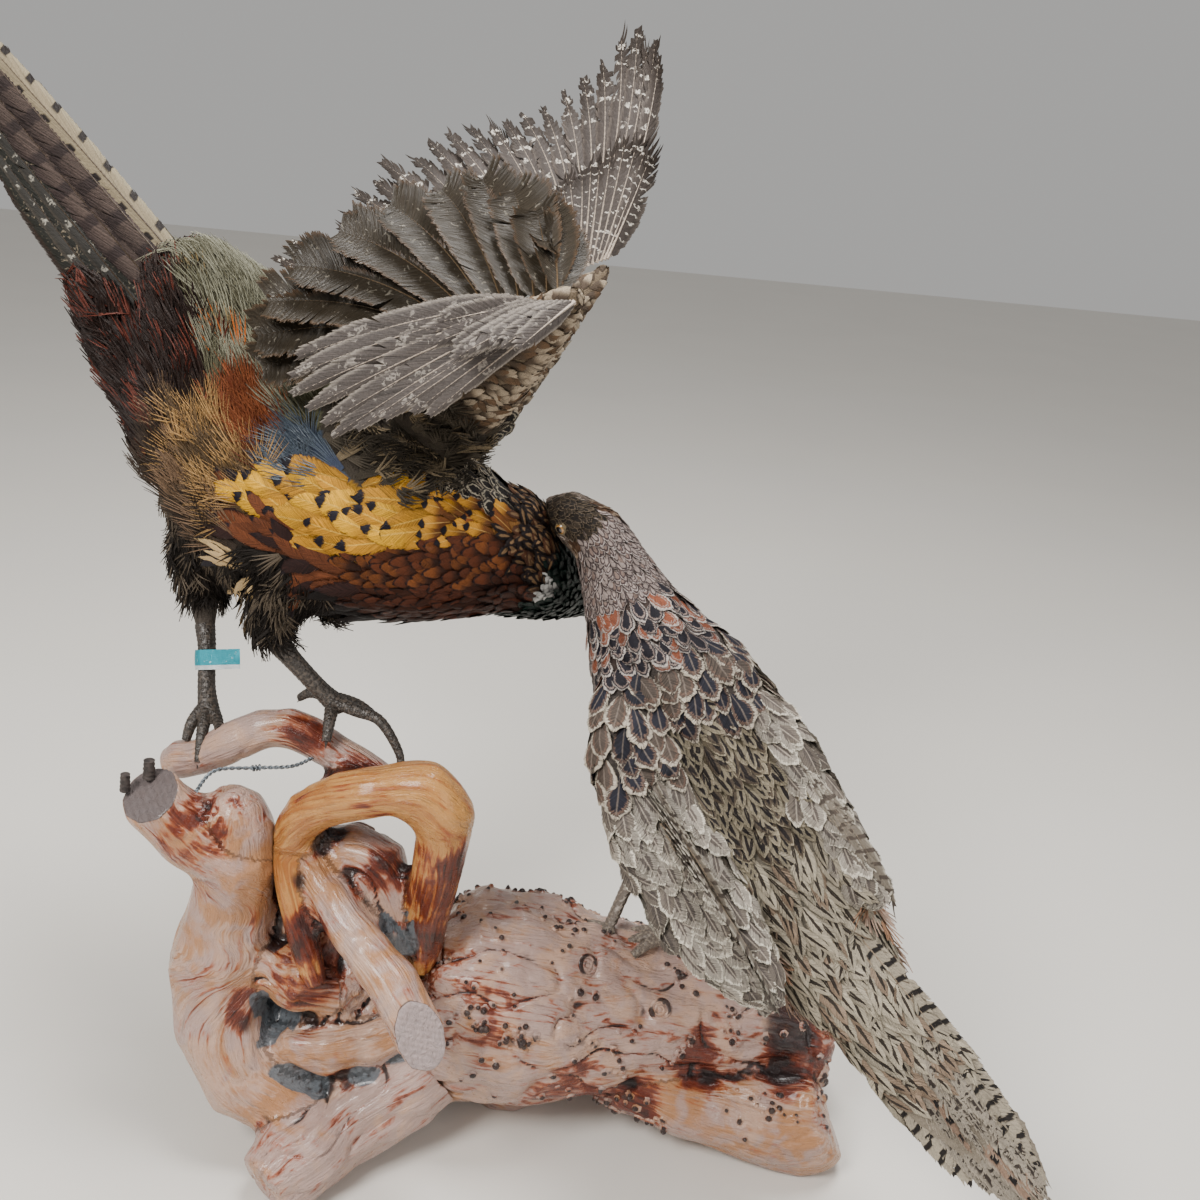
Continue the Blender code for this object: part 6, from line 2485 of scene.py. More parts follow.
    def plumes(self) -> None:
        """Her wing tips and tail."""
        vane = QuillFinish("silver-grey hen quill", (0.185, 0.160, 0.130), (0.46, 0.42, 0.35),
                           (0.080, 0.064, 0.054), Marks.CROSS, 12.0, rim_from=0.66, streak=0.9)
        spotted = QuillFinish("spotted hen tail vane", (0.235, 0.200, 0.160), (0.30, 0.255, 0.20),
                              (0.012, 0.010, 0.010), Marks.SPOTS, 12.0, (0.20, 0.085, 0.042), 0.75,
                              streak=0.9)
        fine = QuillFinish("fine-flecked hen tail vane", (0.255, 0.222, 0.178), (0.34, 0.29, 0.23),
                           (0.034, 0.026, 0.022), Marks.FLECKS, rim_from=0.75, streak=0.9,
                           sparse=-0.03)
        barred = QuillFinish("barred hen tail vane", (0.29, 0.25, 0.19), (0.34, 0.29, 0.22),
                             (0.016, 0.013, 0.012), Marks.CROSS, 14.0, rim_from=0.75, streak=0.8)
        shaft = ShaftFinish("hen shaft", (0.30, 0.23, 0.16))
        cut = QuillCut(0.0065, 0.0105, 0.0009, 28, 0.8, 0.08, 0.22, 5, (
            (0.0, 0.3), (0.1, 0.75), (0.4, 1.0), (0.8, 0.9), (0.94, 0.6), (1.0, 0.3)))
        face = (0.12, -0.64, 0.53)
        fans = (
            Fan(((0.064, -0.070, 0.366), (0.100, -0.112, 0.318)),
                ((0.146, -0.112, 0.244), (0.164, -0.134, 0.236), (0.178, -0.154, 0.230)), 9, cut,
                (0.006, -0.012, 0.008), face, 8.0),
            Fan(((0.066, -0.066, 0.372), (0.094, -0.096, 0.330)),
                ((0.112, -0.096, 0.266), (0.134, -0.118, 0.260), (0.152, -0.136, 0.258)), 7, cut,
                (0.006, -0.014, 0.009), face, 8.0),
            Fan(((0.150, -0.040, 0.392), (0.172, -0.056, 0.366)),
                ((0.219, -0.088, 0.280), (0.234, -0.095, 0.280), (0.250, -0.099, 0.288)), 8,
                replace(cut, outer=0.0055, inner=0.0085), (0.004, -0.012, 0.008), self.back, 8.0))
        long_feathers("hen_wing_vanes", tuple((fan, 0) for fan in fans), (vane, shaft),
                      "hen_plumage", (), SEED + 11)
        broad = QuillCut(0.0100, 0.0105, 0.0010, 52, 1.0, 0.05, 0.16, 6, (
            (0.0, 0.3), (0.15, 0.75), (0.5, 1.0), (0.8, 0.80), (0.93, 0.45), (1.0, 0.10)))
        lifted = np.array(self.back) * 0.0125
        roots = tuple(tuple(np.array(spot) + lifted) for spot in (
            (0.196, -0.088, 0.238), (0.210, -0.092, 0.250), (0.224, -0.086, 0.262)))
        tips = ((0.300, -0.172, 0.132), (0.338, -0.179, 0.118), (0.362, -0.180, 0.120),
                (0.360, -0.171, 0.138), (0.342, -0.160, 0.160))
        fans = (Fan(roots, tips, 13, broad, (0.0, -0.004, 0.004), self.back, -7.0,
                    slots=(2, 2, 1, 1, 1, 0, 0, 1, 1, 2, 2, 2, 2)),
                Fan(roots, ((0.292, -0.160, 0.152), (0.322, -0.168, 0.144), (0.334, -0.158, 0.164)), 7,
                    replace(broad, outer=0.008, inner=0.008, fray=0.5, splits=12),
                    (0.0, -0.006, 0.006), self.back, -7.0, raised=0.003, slots=(1, 1, 0, 1, 1, 1, 2)))
        long_feathers("hen_tail_vanes", tuple((fan, 0) for fan in fans),
                      (spotted, fine, barred, shaft), "hen_plumage", (), SEED + 12)

    def face(self) -> None:
        """Her bill, eyes and lids."""
        horn = HornFinish("hen bill horn", (0.26, 0.20, 0.15), (0.12, 0.085, 0.06)).build()
        bill = Form()
        side = self.sideways
        bill.sweep(curve_through((
            (-0.0030, 0.0410, 0.4805, 0.0068, 0.0072), (-0.0110, 0.0455, 0.4755, 0.0058, 0.0060),
            (-0.0190, 0.0520, 0.4685, 0.0044, 0.0046), (-0.0260, 0.0565, 0.4610, 0.0028, 0.0030),
            (-0.0302, 0.0590, 0.4545, 0.0008, 0.0009)), 14), side, 14)
        bill.sweep(curve_through((
            (-0.0040, 0.0440, 0.4750, 0.0038, 0.0062), (-0.0120, 0.0495, 0.4690, 0.0030, 0.0050),
            (-0.0190, 0.0550, 0.4630, 0.0022, 0.0036), (-0.0250, 0.0590, 0.4570, 0.0010, 0.0014)),
            10), side, 14)
        settle(bill.finish("hen_horn_bill"), horn, "horn")
        glass = EyeFinish("brown glass eye", (0.30, 0.15, 0.04), 0.50).build()
        lid = HornFinish("tawny eyelid", (0.105, 0.072, 0.032), (0.20, 0.155, 0.085), 0.6).build()
        spot, way = Vector(self.eye_spot), Vector(self.eye_way).normalized()
        twice = 2.0 * (spot - Vector(self.head)).dot(side)
        eyes = (("left", spot, way),
                ("right", spot - side * twice, way - side * (2.0 * way.dot(side))))
        for name, lens, out in eyes:
            centre = lens - out * self.eye * 0.75
            build_eye(f"hen_glass_eye_{name}", centre, out, self.eye, glass)
            build_lid(f"hen_eyelid_{name}", centre, out, self.eye, lid, "hen_plumage")

    def feet(self) -> None:
        """Her scaled shanks and toes."""
        scale = ScaleFinish("hen leg scale", (0.12, 0.095, 0.075), (0.34, 0.28, 0.22)).build()
        horn = HornFinish("hen claw horn", (0.06, 0.045, 0.035), (0.02, 0.015, 0.012)).build()
        for number, aside in enumerate(self.aside):
            sole = np.array((0.092 + aside, 0.016, 0.154))
            toes = []
            for way in (-0.55, 0.0, 0.55):
                reach = np.array((-math.cos(way) * 0.030, math.sin(way) * 0.030, 0.0))
                toes.append(tuple(tuple(spot) for spot in (
                    sole - reach * 0.12 + (0, 0, 0.004), sole + reach * 0.55 + (0, 0, 0.001),
                    sole + reach + (0, 0, -0.006))))
            shank = ((0.113 + aside, 0.040, 0.213, 0.0058), (0.104 + aside, 0.032, 0.185, 0.0050),
                     (*sole, 0.0050))
            Foot(f"hen_leg_{number}", (shank, *toes), (-0.8, 0.3, 0.3)).build(
                scale, horn, "leg_scale")


# ------------------------------------------------------------------ the root base
@dataclass(frozen=True)
class Root:
    """One root or stem of the base, as stations of x, y, z and radius."""

    path: tuple[tuple[float, float, float, float], ...]
    warm: float = 0.0
    creased: float = 1.0
    bowed: float = 0.0

    @cached_property
    def rows(self) -> np.ndarray:
        """The smoothed path."""
        return curve_through(self.path, 60)

    @cached_property
    def bow(self) -> np.ndarray:
        """How far the smoothed path stands off straight lines between its stations."""
        straight = read_at(np.array(self.path), np.linspace(0.0, 1.0, 60))
        return (self.rows - straight)[:, :3] * self.bowed


@dataclass(frozen=True)
class SawnFace:
    """A flat sawn end: its middle, the way it faces, its radius and how pale it is."""

    spot: Point
    way: Point
    radius: float
    tone: float


LOG_ROOTS = (
    Root(((-0.056, 0.004, 0.100, 0.062), (-0.038, 0.003, 0.100, 0.082), (0.022, 0.010, 0.090, 0.080),
          (0.102, 0.020, 0.086, 0.064), (0.186, 0.030, 0.073, 0.051), (0.240, 0.032, 0.060, 0.042),
          (0.258, 0.033, 0.056, 0.030)), 0.05, 1.0),
    Root(((0.060, -0.010, 0.058, 0.020), (0.100, -0.022, 0.048, 0.025), (0.155, -0.030, 0.038, 0.029),
          (0.215, -0.035, 0.031, 0.035), (0.256, -0.036, 0.036, 0.024)), 0.20, 0.4))
BURL_ROOTS = (
    Root(((-0.133, -0.004, 0.225, 0.020), (-0.134, 0.0, 0.160, 0.060), (-0.128, 0.0, 0.110, 0.064),
          (-0.112, -0.020, 0.036, 0.026)), 0.30, 1.1),
    Root(((-0.266, -0.055, 0.302, 0.021), (-0.253, -0.051, 0.276, 0.022), (-0.230, -0.045, 0.252, 0.027),
          (-0.203, -0.041, 0.232, 0.031), (-0.207, -0.045, 0.185, 0.032),
          (-0.214, -0.050, 0.142, 0.035), (-0.210, -0.058, 0.100, 0.034),
          (-0.187, -0.070, 0.060, 0.031), (-0.145, -0.078, 0.042, 0.026),
          (-0.115, -0.072, 0.042, 0.018)), 0.25, 0.12),
    Root(((-0.196, -0.038, 0.222, 0.026), (-0.204, -0.038, 0.252, 0.029),
          (-0.208, -0.038, 0.285, 0.010)), 0.25, 0.15),
    Root(((-0.125, 0.018, 0.105, 0.036), (-0.138, 0.050, 0.060, 0.034), (-0.152, 0.078, 0.018, 0.032),
          (-0.160, 0.092, -0.014, 0.032)), 0.2, 0.6),
    Root(((-0.160, -0.130, 0.020, 0.024), (-0.148, -0.116, 0.026, 0.032),
          (-0.118, -0.083, 0.034, 0.031), (-0.070, -0.055, 0.055, 0.033),
          (-0.035, -0.030, 0.075, 0.030)), -0.10, 0.5),
    Root(((-0.184, -0.046, 0.156, 0.012), (-0.150, -0.056, 0.143, 0.026),
          (-0.106, -0.036, 0.132, 0.014)), 0.35, 0.9),
    Root(((-0.166, -0.066, 0.094, 0.010), (-0.128, -0.068, 0.094, 0.021),
          (-0.070, -0.052, 0.108, 0.014)), 0.35, 0.5))
ARCH_ROOTS = (
    Root(((-0.266, -0.006, 0.284, 0.008), (-0.254, -0.006, 0.288, 0.015), (-0.234, -0.008, 0.293, 0.014),
          (-0.214, -0.009, 0.306, 0.015), (-0.191, -0.007, 0.319, 0.016),
          (-0.174, -0.006, 0.321, 0.016), (-0.157, -0.006, 0.315, 0.015),
          (-0.135, -0.010, 0.305, 0.014), (-0.106, -0.020, 0.295, 0.013),
          (-0.080, -0.040, 0.290, 0.011)), 0.0, 0.25),
    Root(((-0.136, -0.074, 0.154, 0.008), (-0.147, -0.064, 0.184, 0.011),
          (-0.158, -0.050, 0.214, 0.013), (-0.162, -0.036, 0.244, 0.016),
          (-0.150, -0.038, 0.274, 0.018), (-0.124, -0.046, 0.293, 0.018),
          (-0.092, -0.050, 0.304, 0.018), (-0.067, -0.050, 0.308, 0.021),
          (-0.054, -0.050, 0.290, 0.022), (-0.055, -0.049, 0.262, 0.019),
          (-0.060, -0.047, 0.222, 0.017), (-0.063, -0.043, 0.182, 0.014),
          (-0.067, -0.036, 0.148, 0.010)), 0.95, 0.15, 1.0),
    Root(((-0.161, -0.030, 0.242, 0.012), (-0.117, -0.071, 0.207, 0.016),
          (-0.076, -0.100, 0.181, 0.018), (-0.030, -0.148, 0.137, 0.018)), 0.2, 0.35),
    Root(((-0.166, -0.016, 0.222, 0.012), (-0.150, -0.018, 0.228, 0.020), (-0.124, -0.022, 0.230, 0.026),
          (-0.100, -0.030, 0.228, 0.024), (-0.080, -0.044, 0.170, 0.014)), 0.1, 0.8))
SAWN = (SawnFace((-0.257, -0.056, 0.283), (-0.30, -0.48, 0.82), 0.030, 0.30),
        SawnFace((-0.053, -0.124, 0.161), (0.45, -0.85, 0.27), 0.034, 1.0))
# Each of these places is a middle and how far it reaches.
CEMENT = (((-0.075, -0.050, 0.100), 0.034), ((-0.084, -0.046, 0.186), 0.034),
          ((-0.176, -0.070, 0.116), 0.030), ((-0.150, -0.068, 0.068), 0.034),
          ((-0.170, -0.040, 0.250), 0.018), ((-0.100, -0.060, 0.072), 0.026))
SHOULDER = ((-0.064, -0.050, 0.304), 0.040)
GOUGED = ((-0.222, -0.062, 0.262), 0.034)
DRIFT = ((9.32, -1.53, -7.95), (0.0, 0.0, 0.0), (6.33, 3.61, 5.28))   # where a step's x, y and z are read
KNOTS = ((0.058, -0.022, 0.153), (0.114, -0.029, 0.123))
# A peg has its foot, its height and its radius, and a stain has its strength last.
PEGS = (((-0.276, -0.050, 0.284), 0.013, 0.0036), ((-0.262, -0.042, 0.291), 0.014, 0.0042))
STAINS = (((-0.045, -0.055, 0.235), 0.045, 1.0), ((-0.060, -0.055, 0.180), 0.040, 0.9),
          ((-0.095, -0.052, 0.238), 0.022, 1.0), ((-0.145, -0.066, 0.185), 0.035, 1.1),
          ((-0.140, -0.090, 0.150), 0.035, 0.9), ((-0.160, -0.020, 0.325), 0.024, 0.9),
          ((-0.118, -0.030, 0.300), 0.026, 0.8), ((-0.105, -0.070, 0.290), 0.022, 0.6),
          ((0.060, -0.060, 0.040), 0.060, 0.7), ((0.150, -0.010, 0.070), 0.050, 0.9),
          ((0.225, 0.010, 0.060), 0.060, 0.8), ((-0.020, -0.070, 0.130), 0.040, 0.5),
          ((0.100, -0.040, 0.045), 0.040, 1.0), ((-0.186, -0.075, 0.130), 0.020, 0.9))
# Dark patches, each a middle and its reach, darkened through the same value as the painted shade in the
# hollows.
DARKS = (((0.262, 0.030, 0.060), 0.030), ((0.215, -0.005, 0.100), 0.034), ((0.135, -0.012, 0.098), 0.018),
         ((-0.180, -0.082, 0.118), 0.016), ((-0.158, -0.086, 0.118), 0.014),
         ((-0.130, -0.030, 0.262), 0.016), ((-0.152, -0.052, 0.226), 0.012))


def reaches(spots: np.ndarray, middle: Point, reach: float) -> np.ndarray:
    """How far spots are from a middle, counted in its reach."""
    return np.linalg.norm(spots - np.array(middle), axis=1) / reach


def speckle(spots: np.ndarray, fineness: float) -> np.ndarray:
    """A cloudy value from -1 to 1 at each spot."""
    return np.array([noise.noise(spot * fineness) for spot in map(Vector, spots)])


def stain_wood(mesh: bpy.types.Mesh, **values: np.ndarray) -> None:
    """Stores what the wood's finish reads, with nought for what isn't given.

    Args:
        mesh: The mesh to write on.
        values: One number or one row to a point, by name.
    """
    for key in ("Grain", "Warm", "Sawn", "Tone", "Hollow", "Cement", "Stain"):
        write_value(mesh, key, values.get(key, np.zeros(len(mesh.vertices))))


def drift(spot: Vector) -> Vector:
    """A cloudy step at a spot, the same in every run."""
    return Vector([noise.noise(spot + Vector(away)) for away in DRIFT])


@dataclass
class RootBase:
    """The varnished root base with its spines, knots and wire."""

    voxel: float = 0.0021
    swell: float = 0.0045     # how far creases between roots are filled
    rounds: int = 70          # how long the facets are smoothed
    thinnest: float = 0.012   # the least radius that a root claims wood with
    spines: int = 560
    clusters: int = 26

    def timber(self, name: str, node: str, roots: tuple[Root, ...], crease: float,
               lump: float, finish: bpy.types.Material) -> bpy.types.Object:
        """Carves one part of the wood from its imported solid.

        Args:
            name: The piece's name.
            node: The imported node.
            roots: The roots that its grain follows.
            crease: The depth of the grain's creases.
            lump: The height of the lumps.
            finish: The wood's finish.

        Returns:
            The piece.
        """
        thing = carved(name, (node,), self.voxel)
        fillet(thing, self.swell, self.voxel)
        mesh = thing.data
        before, facing = points_of(mesh), normals_of(mesh)
        held = self.sawn(before, facing)[0]
        move_to(mesh, before + self.bows(before, roots))
        smooth_form(mesh, self.rounds)
        self.soften(mesh)
        after = points_of(mesh)
        move_to(mesh, after * (1.0 - held[:, None]) + before * held[:, None])
        spots, normals = points_of(mesh), normals_of(mesh)
        grain, warm, creased = self.grain(spots, roots)
        sawn, tone = self.sawn(spots, normals)
        vectors = [Vector(g) for g in grain]
        fine = np.array([noise.fractal(Vector((g[0] * 12.0, g[1] * 80.0, g[2] * 80.0)), 1.0, 2.0, 3)
                         for g in vectors])
        warp = [drift(spot * 26.0) * 0.016 for spot in map(Vector, spots)]
        folds = np.array([abs(noise.noise(Vector(((g[0] + w[0]) * 9.0, (g[1] + w[1]) * 38.0,
                                                  (g[2] + w[2]) * 38.0))))
                          for g, w in zip(vectors, warp)])
        broad, lumps, chips = (speckle(spots, fineness) for fineness in (30.0, 74.0, 210.0))
        gouged = 1.0 - ease(0.5, 1.0, reaches(spots, *GOUGED))
        rise = (fine * 0.5 - (1.0 - ease(0.0, 0.16, folds)) * 1.7) * crease * creased
        rise = rise + (broad + lumps * 0.45 * creased) * lump + chips * gouged * 0.0016
        rise = rise * (1.0 - sawn * 0.96) * ease(0.0, 0.02, spots[:, 2])
        move_to(mesh, spots + normals * rise[:, None])
        # Depth of the hollows and creases: it places the cement, and the finish paints it dark as shade.
        hollow = ease(0.0002, 0.0026, hollows(mesh, 12))
        cement, stain, dark = np.zeros(len(spots)), gouged * 0.6, np.zeros(len(spots))
        for middle, reach in CEMENT:
            near = reaches(spots, middle, reach) + broad * 0.3
            cement = np.maximum(cement, (1.0 - ease(0.6, 1.0, near))
                                * ease(-0.05, 0.25, hollow + broad * 0.3))
        for middle, reach, amount in STAINS:
            near = reaches(spots, middle, reach) + broad * 0.35
            stain = np.maximum(stain, amount * (1.0 - ease(0.35, 1.1, near)))
        for middle, reach in DARKS:
            near = reaches(spots, middle, reach) + broad * 0.4
            dark = np.maximum(dark, 1.0 - ease(0.4, 1.1, near))
        # The hollows' depth and the dark patches go into one value, which the finish paints dark as shade and
        # dark wood.
        stain_wood(mesh, Grain=grain, Warm=warm, Sawn=sawn, Tone=tone, Hollow=hollow + dark * 0.8,
                   Cement=cement, Stain=stain)
        mesh.shade_smooth()
        return settle(thing, finish, "wood", node)

    def soften(self, mesh: bpy.types.Mesh) -> None:
        """Rounds the shoulder of the loop.

        Args:
            mesh: The mesh to change.
        """
        spots = points_of(mesh)
        soft = 1.0 - ease(0.45, 1.0, reaches(spots, *SHOULDER))
        if soft.max() > 0.0:
            for _ in range(90):
                spots = spots + (means(mesh, spots) - spots) * soft[:, None] * 0.6
            move_to(mesh, spots)
            move_to(mesh, spots + normals_of(mesh) * soft[:, None] * 0.0022)

    def bows(self, spots: np.ndarray, roots: tuple[Root, ...]) -> np.ndarray:
        """Rounds out the straight stretches of the roots.

        Args:
            spots: Points on the wood, one to a row.
            roots: The roots that run through it.

        Returns:
            How far each spot moves.
        """
        best = np.full(len(spots), np.inf)
        shift = np.zeros((len(spots), 3))
        for root in roots:
            line, radius = root.rows[:, :3] - root.bow, root.rows[:, 3]
            gaps = (np.linalg.norm(spots[:, None] - line[None], axis=2)
                    / np.maximum(radius, self.thinnest))
            here = gaps.min(axis=1) < best
            best = np.where(here, gaps.min(axis=1), best)
            shift[here] = root.bow[gaps.argmin(axis=1)][here]
        return shift

    def grain(self, spots: np.ndarray,
              roots: tuple[Root, ...]) -> tuple[np.ndarray, np.ndarray, np.ndarray]:
        """Reads the grain of the wood.

        Args:
            spots: Points on the wood, one to a row.
            roots: The roots that run through it.

        Returns:
            At each spot the grain coordinates, along first, the warmth and the creasing.
        """
        best = np.full(len(spots), np.inf)
        grain, warm = np.zeros((len(spots), 3)), np.zeros(len(spots))
        creased = np.ones(len(spots))
        for number, root in enumerate(roots):
            line, radius = root.rows[:, :3], root.rows[:, 3]
            gaps = (np.linalg.norm(spots[:, None] - line[None], axis=2)
                    / np.maximum(radius, self.thinnest))
            nearest = gaps.argmin(axis=1)
            heading = unit(np.gradient(line, axis=0))
            side = unit(np.cross(heading, np.array((0.13, 0.27, 0.95))))
            over = np.cross(heading, side)
            length = np.concatenate(([0.0], np.cumsum(np.linalg.norm(np.diff(line, axis=0), axis=1))))
            out = spots - line[nearest]
            here = gaps.min(axis=1) < best
            best = np.where(here, gaps.min(axis=1), best)
            step = np.linalg.norm(np.gradient(line, axis=0), axis=1)
            beyond = np.clip((out * heading[nearest]).sum(1) / step[nearest], -0.5, 0.5)
            table = read_at(np.column_stack((length, line, side, over)),
                            (nearest + beyond) / (len(line) - 1))
            out = spots - table[:, 1:4]
            along = table[:, 0] + (out * heading[nearest]).sum(1) + number * 0.7
            mine = np.stack((along, (out * table[:, 4:7]).sum(1), (out * table[:, 7:10]).sum(1)), 1)
            grain[here] = mine[here]
            warm[here] = root.warm
            creased[here] = root.creased
        return grain, warm, creased

    def sawn(self, spots: np.ndarray, normals: np.ndarray) -> tuple[np.ndarray, np.ndarray]:
        """Finds the sawn faces.

        Args:
            spots: Points on the wood, one to a row.
            normals: The way the wood faces there.

        Returns:
            1 on a sawn face and 0 elsewhere, and how pale that face is.
        """
        total, tone = np.zeros(len(spots)), np.ones(len(spots))
        for face in SAWN:
            way = unit(np.array(face.way))
            out = spots - np.array(face.spot)
            flat = 1.0 - ease(0.004, 0.008, np.abs(out @ way))
            near = 1.0 - ease(0.95, 1.1, np.linalg.norm(out, axis=1) / face.radius)
            here = flat * near * ease(0.80, 0.96, normals @ way)
            total = np.maximum(total, here)
            tone = np.where(here > 0.02, face.tone, tone)
        return total, tone

    def spine_piece(self, log: bpy.types.Object, finish: bpy.types.Material) -> None:
        """Small dark-tipped cones all over the log, and two ringed knots.

        Args:
            log: The log, already carved.
            finish: The wood's finish.
        """
        rng = np.random.default_rng(SEED + 20)
        spots, normals = points_of(log.data), normals_of(log.data)
        tree = BVHTree.FromPolygons(spots.tolist(), [list(p.vertices) for p in log.data.polygons])
        free = np.flatnonzero((spots[:, 2] > 0.030) & (normals[:, 2] > -0.75))
        middles = spots[rng.choice(free, self.clusters, replace=False)]
        near = np.linalg.norm(spots[free][:, None] - middles[None], axis=2).min(axis=1)
        chance = np.exp(-(near / 0.011) ** 2) + 0.06
        form = Form()
        for index in rng.choice(free, self.spines, replace=False, p=chance / chance.sum()):
            height, wide = rng.uniform(0.0022, 0.0056), rng.uniform(0.0026, 0.0054)
            lean = Vector(unit(normals[index] + rng.normal(0.0, 0.22, 3)))
            foot = Vector(spots[index]) - Vector(normals[index]) * 0.0012
            line = np.array([foot + lean * (height * t) for t in (0.0, 0.22, 0.55, 0.85, 1.0)])
            thick = wide * np.array((1.0, 0.74, 0.56, 0.40, 0.10))
            form.sweep(np.column_stack((line, thick, thick)), (0.13, 0.27, 0.95), 7)
        for knot in KNOTS:
            index = int(np.linalg.norm(spots - np.array(knot), axis=1).argmin())
            for radius, thick in ((0.0068, 0.0022), (0.0034, 0.0020), (0.0008, 0.0018)):
                form.hoop(Vector(spots[index]) - Vector(normals[index]) * 0.0006,
                          Vector(normals[index]), radius, thick, 20)
        piece = form.finish("base_log_spines")
        points = points_of(piece.data)
        away = np.array([tree.find_nearest(spot)[3] for spot in map(Vector, points)])
        grain, warm, _ = self.grain(points, LOG_ROOTS)
        # On the spines this value darkens the tips, which are dark of their own.
        stain_wood(piece.data, Grain=grain, Warm=warm, Hollow=ease(0.0003, 0.0030, away) * 1.25)
        piece.data.shade_smooth()
        settle(piece, finish, "wood")

    def pegs(self) -> None:
        """Two dark, ringed stubs of twig on the left root."""
        form = Form()
        for foot, height, radius in PEGS:
            t = np.linspace(0.0, 1.0, 12)[:, None]
            line = np.array(foot) + t * height * np.array((0.06, 0.0, 1.0))
            thick = radius * (1.0 + 0.10 * np.sin(t * 26.0)) * (1.0 - 0.12 * t)
            form.sweep(np.hstack((line, thick, thick)), VIEW_SIDE, 14)
        bark = HornFinish("dark twig bark", (0.060, 0.045, 0.040), (0.018, 0.013, 0.012), 0.6).build()
        settle(form.finish("base_twig_stubs"), bark, "wood")

    def wire(self) -> None:
        """Two twisted strands of wire with a knot, across the arch."""
        rows = curve_through(((-0.222, -0.062, 0.296), (-0.214, -0.046, 0.304),
                              (-0.190, -0.030, 0.300), (-0.165, -0.026, 0.302),
                              (-0.150, -0.018, 0.308)), 150)
        heading = unit(np.gradient(rows, axis=0))
        side = unit(np.cross(heading, np.array(UP)))
        over = np.cross(heading, side)
        form = Form()
        turn = np.linspace(0.0, math.tau * 13.0, len(rows))
        for start in (0.0, math.pi):
            angle = (turn + start)[:, None]
            line = rows + (side * np.cos(angle) + over * np.sin(angle)) * 0.00078
            thick = np.full((len(rows), 2), 0.00072)
            form.sweep(np.hstack((line, thick)), UP, 8)
        for middle, axis in (((-0.190, -0.030, 0.300), (0.9, 0.3, 0.2)),
                             ((-0.188, -0.029, 0.300), (0.8, 0.5, -0.1)),
                             ((-0.192, -0.031, 0.300), (0.9, 0.1, 0.4))):
            form.hoop(Vector(middle), Vector(axis), 0.0018, 0.0007, 18)
        settle(form.finish("base_tie_wire"), WireFinish().build(), "wire", "base_wire")

    def build(self) -> None:
        """Builds the base."""
        wood = WoodFinish("varnished root wood").build()
        log = self.timber("base_log_wood", "base_log", LOG_ROOTS, 0.0018, 0.0034, wood)
        self.timber("base_burl_wood", "base_burl", BURL_ROOTS, 0.0026, 0.0030, wood)
        self.timber("base_arch_wood", "base_arch", ARCH_ROOTS, 0.0020, 0.0016, wood)
        self.spine_piece(log, wood)
        self.pegs()
        self.wire()


def build_ribbon() -> None:
    """The blue ribbon round the far shank, with a notched free end."""
    axis = unit(np.array((-0.12, 0.40, 0.90)))
    middle = np.array((-0.2421, 0.0268, 0.3530))
    sideways = unit(np.cross(axis, np.array(VIEW_SIDE)))
    front = unit(np.cross(sideways, axis))
    front = front * (1.0 if front @ np.array(VIEW_SIDE) > 0 else -1.0)
    sideways = sideways * (1.0 if sideways[0] > 0 else -1.0)
    band = leaf(7, 60)
    wide, radius, free, wrapped = 0.0145, 0.0080, 0.0270, 0.66
    turn = np.minimum(band.along / wrapped, 1.0) * math.tau - math.tau
    straight = np.maximum(band.along - wrapped, 0.0) / (1.0 - wrapped)
    notch = 0.005 * (1.0 - np.abs(band.across)) * straight**8
    reach = straight * free - notch
    out = radius + 0.0004 * (turn / math.tau + 1.0) + band.height * 0.0005
    wavy = np.sin(straight * 5.0) * 0.0012
    points = (middle + axis * (band.across * wide / 2.0)[:, None]
              + front * (np.cos(turn) * out + wavy)[:, None]
              + sideways * (np.sin(turn) * out + reach)[:, None])
    bundle = Bundle("cock_ribbon")
    vane = np.stack((band.vane[:, 0], band.along), -1)
    bundle.add(band, points[None], vane[None] * 0.96 + 0.02, np.zeros(1), np.zeros(1))
    settle(bundle.finish([RibbonFinish("blue metallic ribbon").build()]), None, "ribbon",
           "cock_leg_tag")


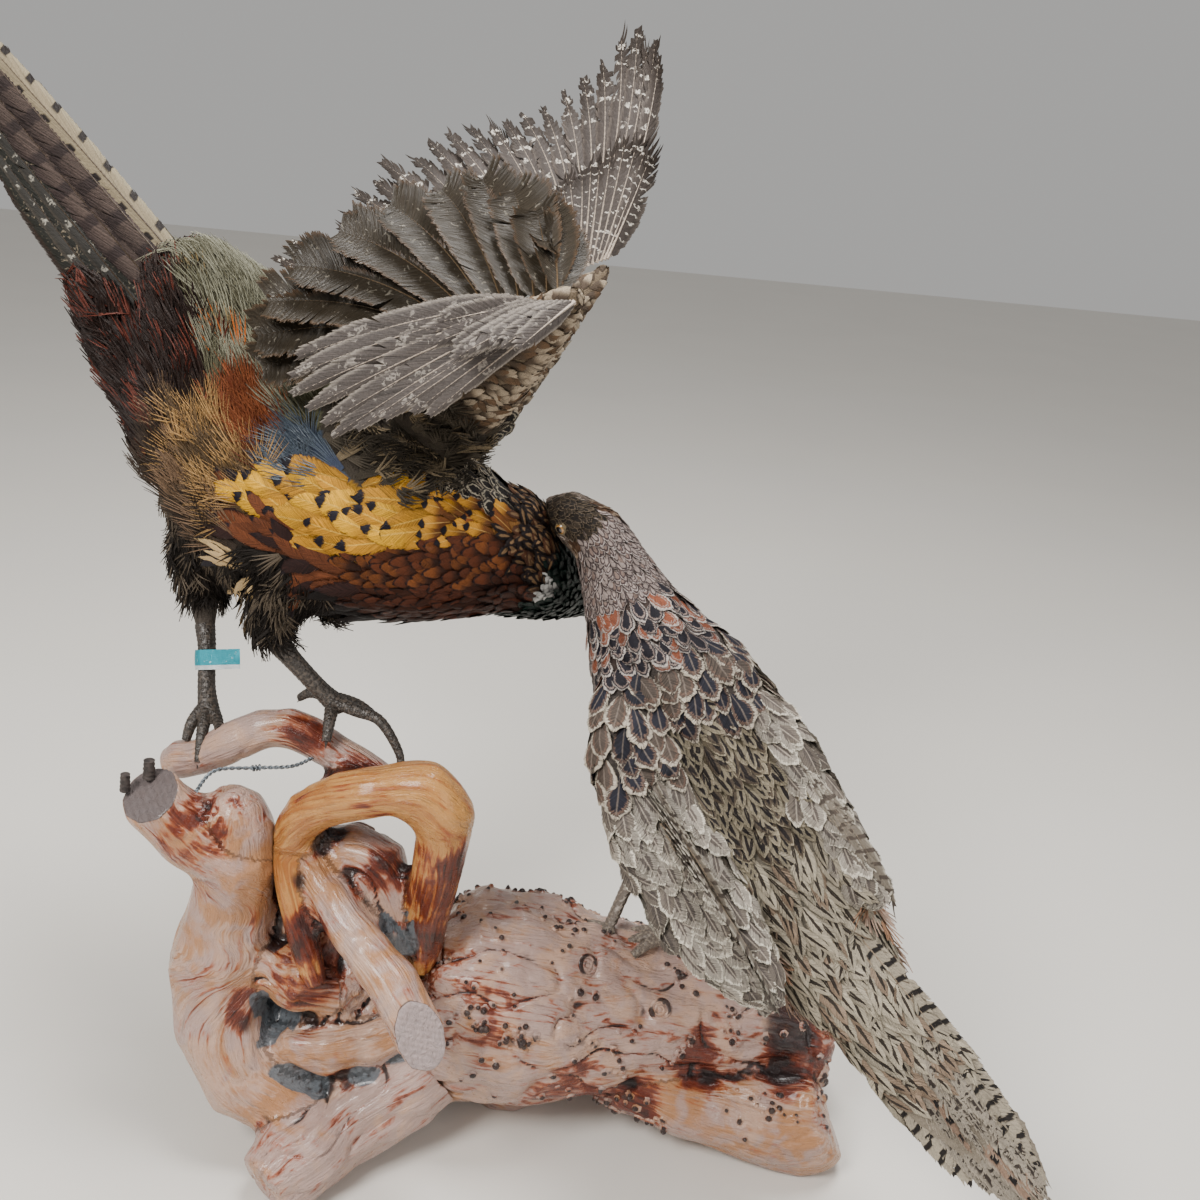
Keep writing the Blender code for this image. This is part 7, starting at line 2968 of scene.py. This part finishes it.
# ------------------------------------------------------------------ the studio
@dataclass(frozen=True)
class Lamp:
    """A soft studio lamp that faces a spot."""

    name: str
    spot: Point
    size: float
    power: float
    colour: Colour = (1.0, 1.0, 1.0)
    aim: Point = (-0.05, 0.05, 0.40)

    def build(self) -> None:
        """Hangs the lamp."""
        data = bpy.data.lights.new(self.name, 'AREA')
        data.shape, data.size, data.energy, data.color = 'DISK', self.size, self.power, self.colour
        lamp = bpy.data.objects.new(self.name, data)
        lamp.location = self.spot
        away = Vector(self.spot) - Vector(self.aim)
        lamp.rotation_euler = away.to_track_quat('Z', 'Y').to_euler()
        bpy.context.scene.collection.objects.link(lamp)


@dataclass(frozen=True)
class Studio:
    """A plain pale floor, soft lamps and the camera.

    Stand is where the camera is, tilt how far it looks up from straight down
    and roll how far it is turned about its own line of sight, in degrees.
    """

    floor: Colour = (0.74, 0.71, 0.66)
    sky: Colour = (0.86, 0.85, 0.83)
    strength: float = 0.50
    sensor: float = 36.0
    lens: float = 37.5
    stand: Point = (0.04, -0.80, 0.75)
    tilt: float = 68.75
    roll: float = 5.35
    lamps: tuple[Lamp, ...] = (
        Lamp("key", (-1.0, -1.3, 1.9), 0.8, 54.0, (1.0, 0.975, 0.94)),
        Lamp("fill", (1.6, -1.1, 1.1), 1.4, 10.0),
        Lamp("top", (0.2, 0.1, 2.1), 0.8, 42.0, (1.0, 0.985, 0.96)))

    def build(self) -> None:
        """Sets up the studio."""
        maker = bmesh.new()
        bmesh.ops.create_grid(maker, x_segments=2, y_segments=2, size=6.0)
        mesh = bpy.data.meshes.new("studio_floor")
        maker.to_mesh(mesh)
        maker.free()
        floor = place("studio_floor", mesh)
        mesh.materials.append(PlainFinish("studio floor", self.floor).build())
        world = bpy.data.worlds.new("studio air")
        world.use_nodes = True
        sky = world.node_tree.nodes["Background"]
        sky.inputs["Color"].default_value = (*self.sky, 1.0)
        sky.inputs["Strength"].default_value = self.strength
        bpy.context.scene.world = world
        for lamp in self.lamps:
            lamp.build()
        data = bpy.data.cameras.new("studio camera")
        data.sensor_width, data.lens = self.sensor, self.lens
        camera = bpy.data.objects.new("studio camera", data)
        turn = (Matrix.Rotation(math.radians(self.tilt), 4, 'X')
                @ Matrix.Rotation(math.radians(self.roll), 4, 'Z'))
        camera.matrix_world = Matrix.Translation(self.stand) @ turn
        bpy.context.scene.collection.objects.link(camera)
        bpy.context.scene.camera = camera


def main() -> None:
    """Builds everything in order."""
    logging.basicConfig(level=logging.INFO, format="%(message)s")
    RootBase().build()
    Cock().build()
    build_ribbon()
    Hen().build()
    Studio().build()


if __name__ == "__main__":
    main()
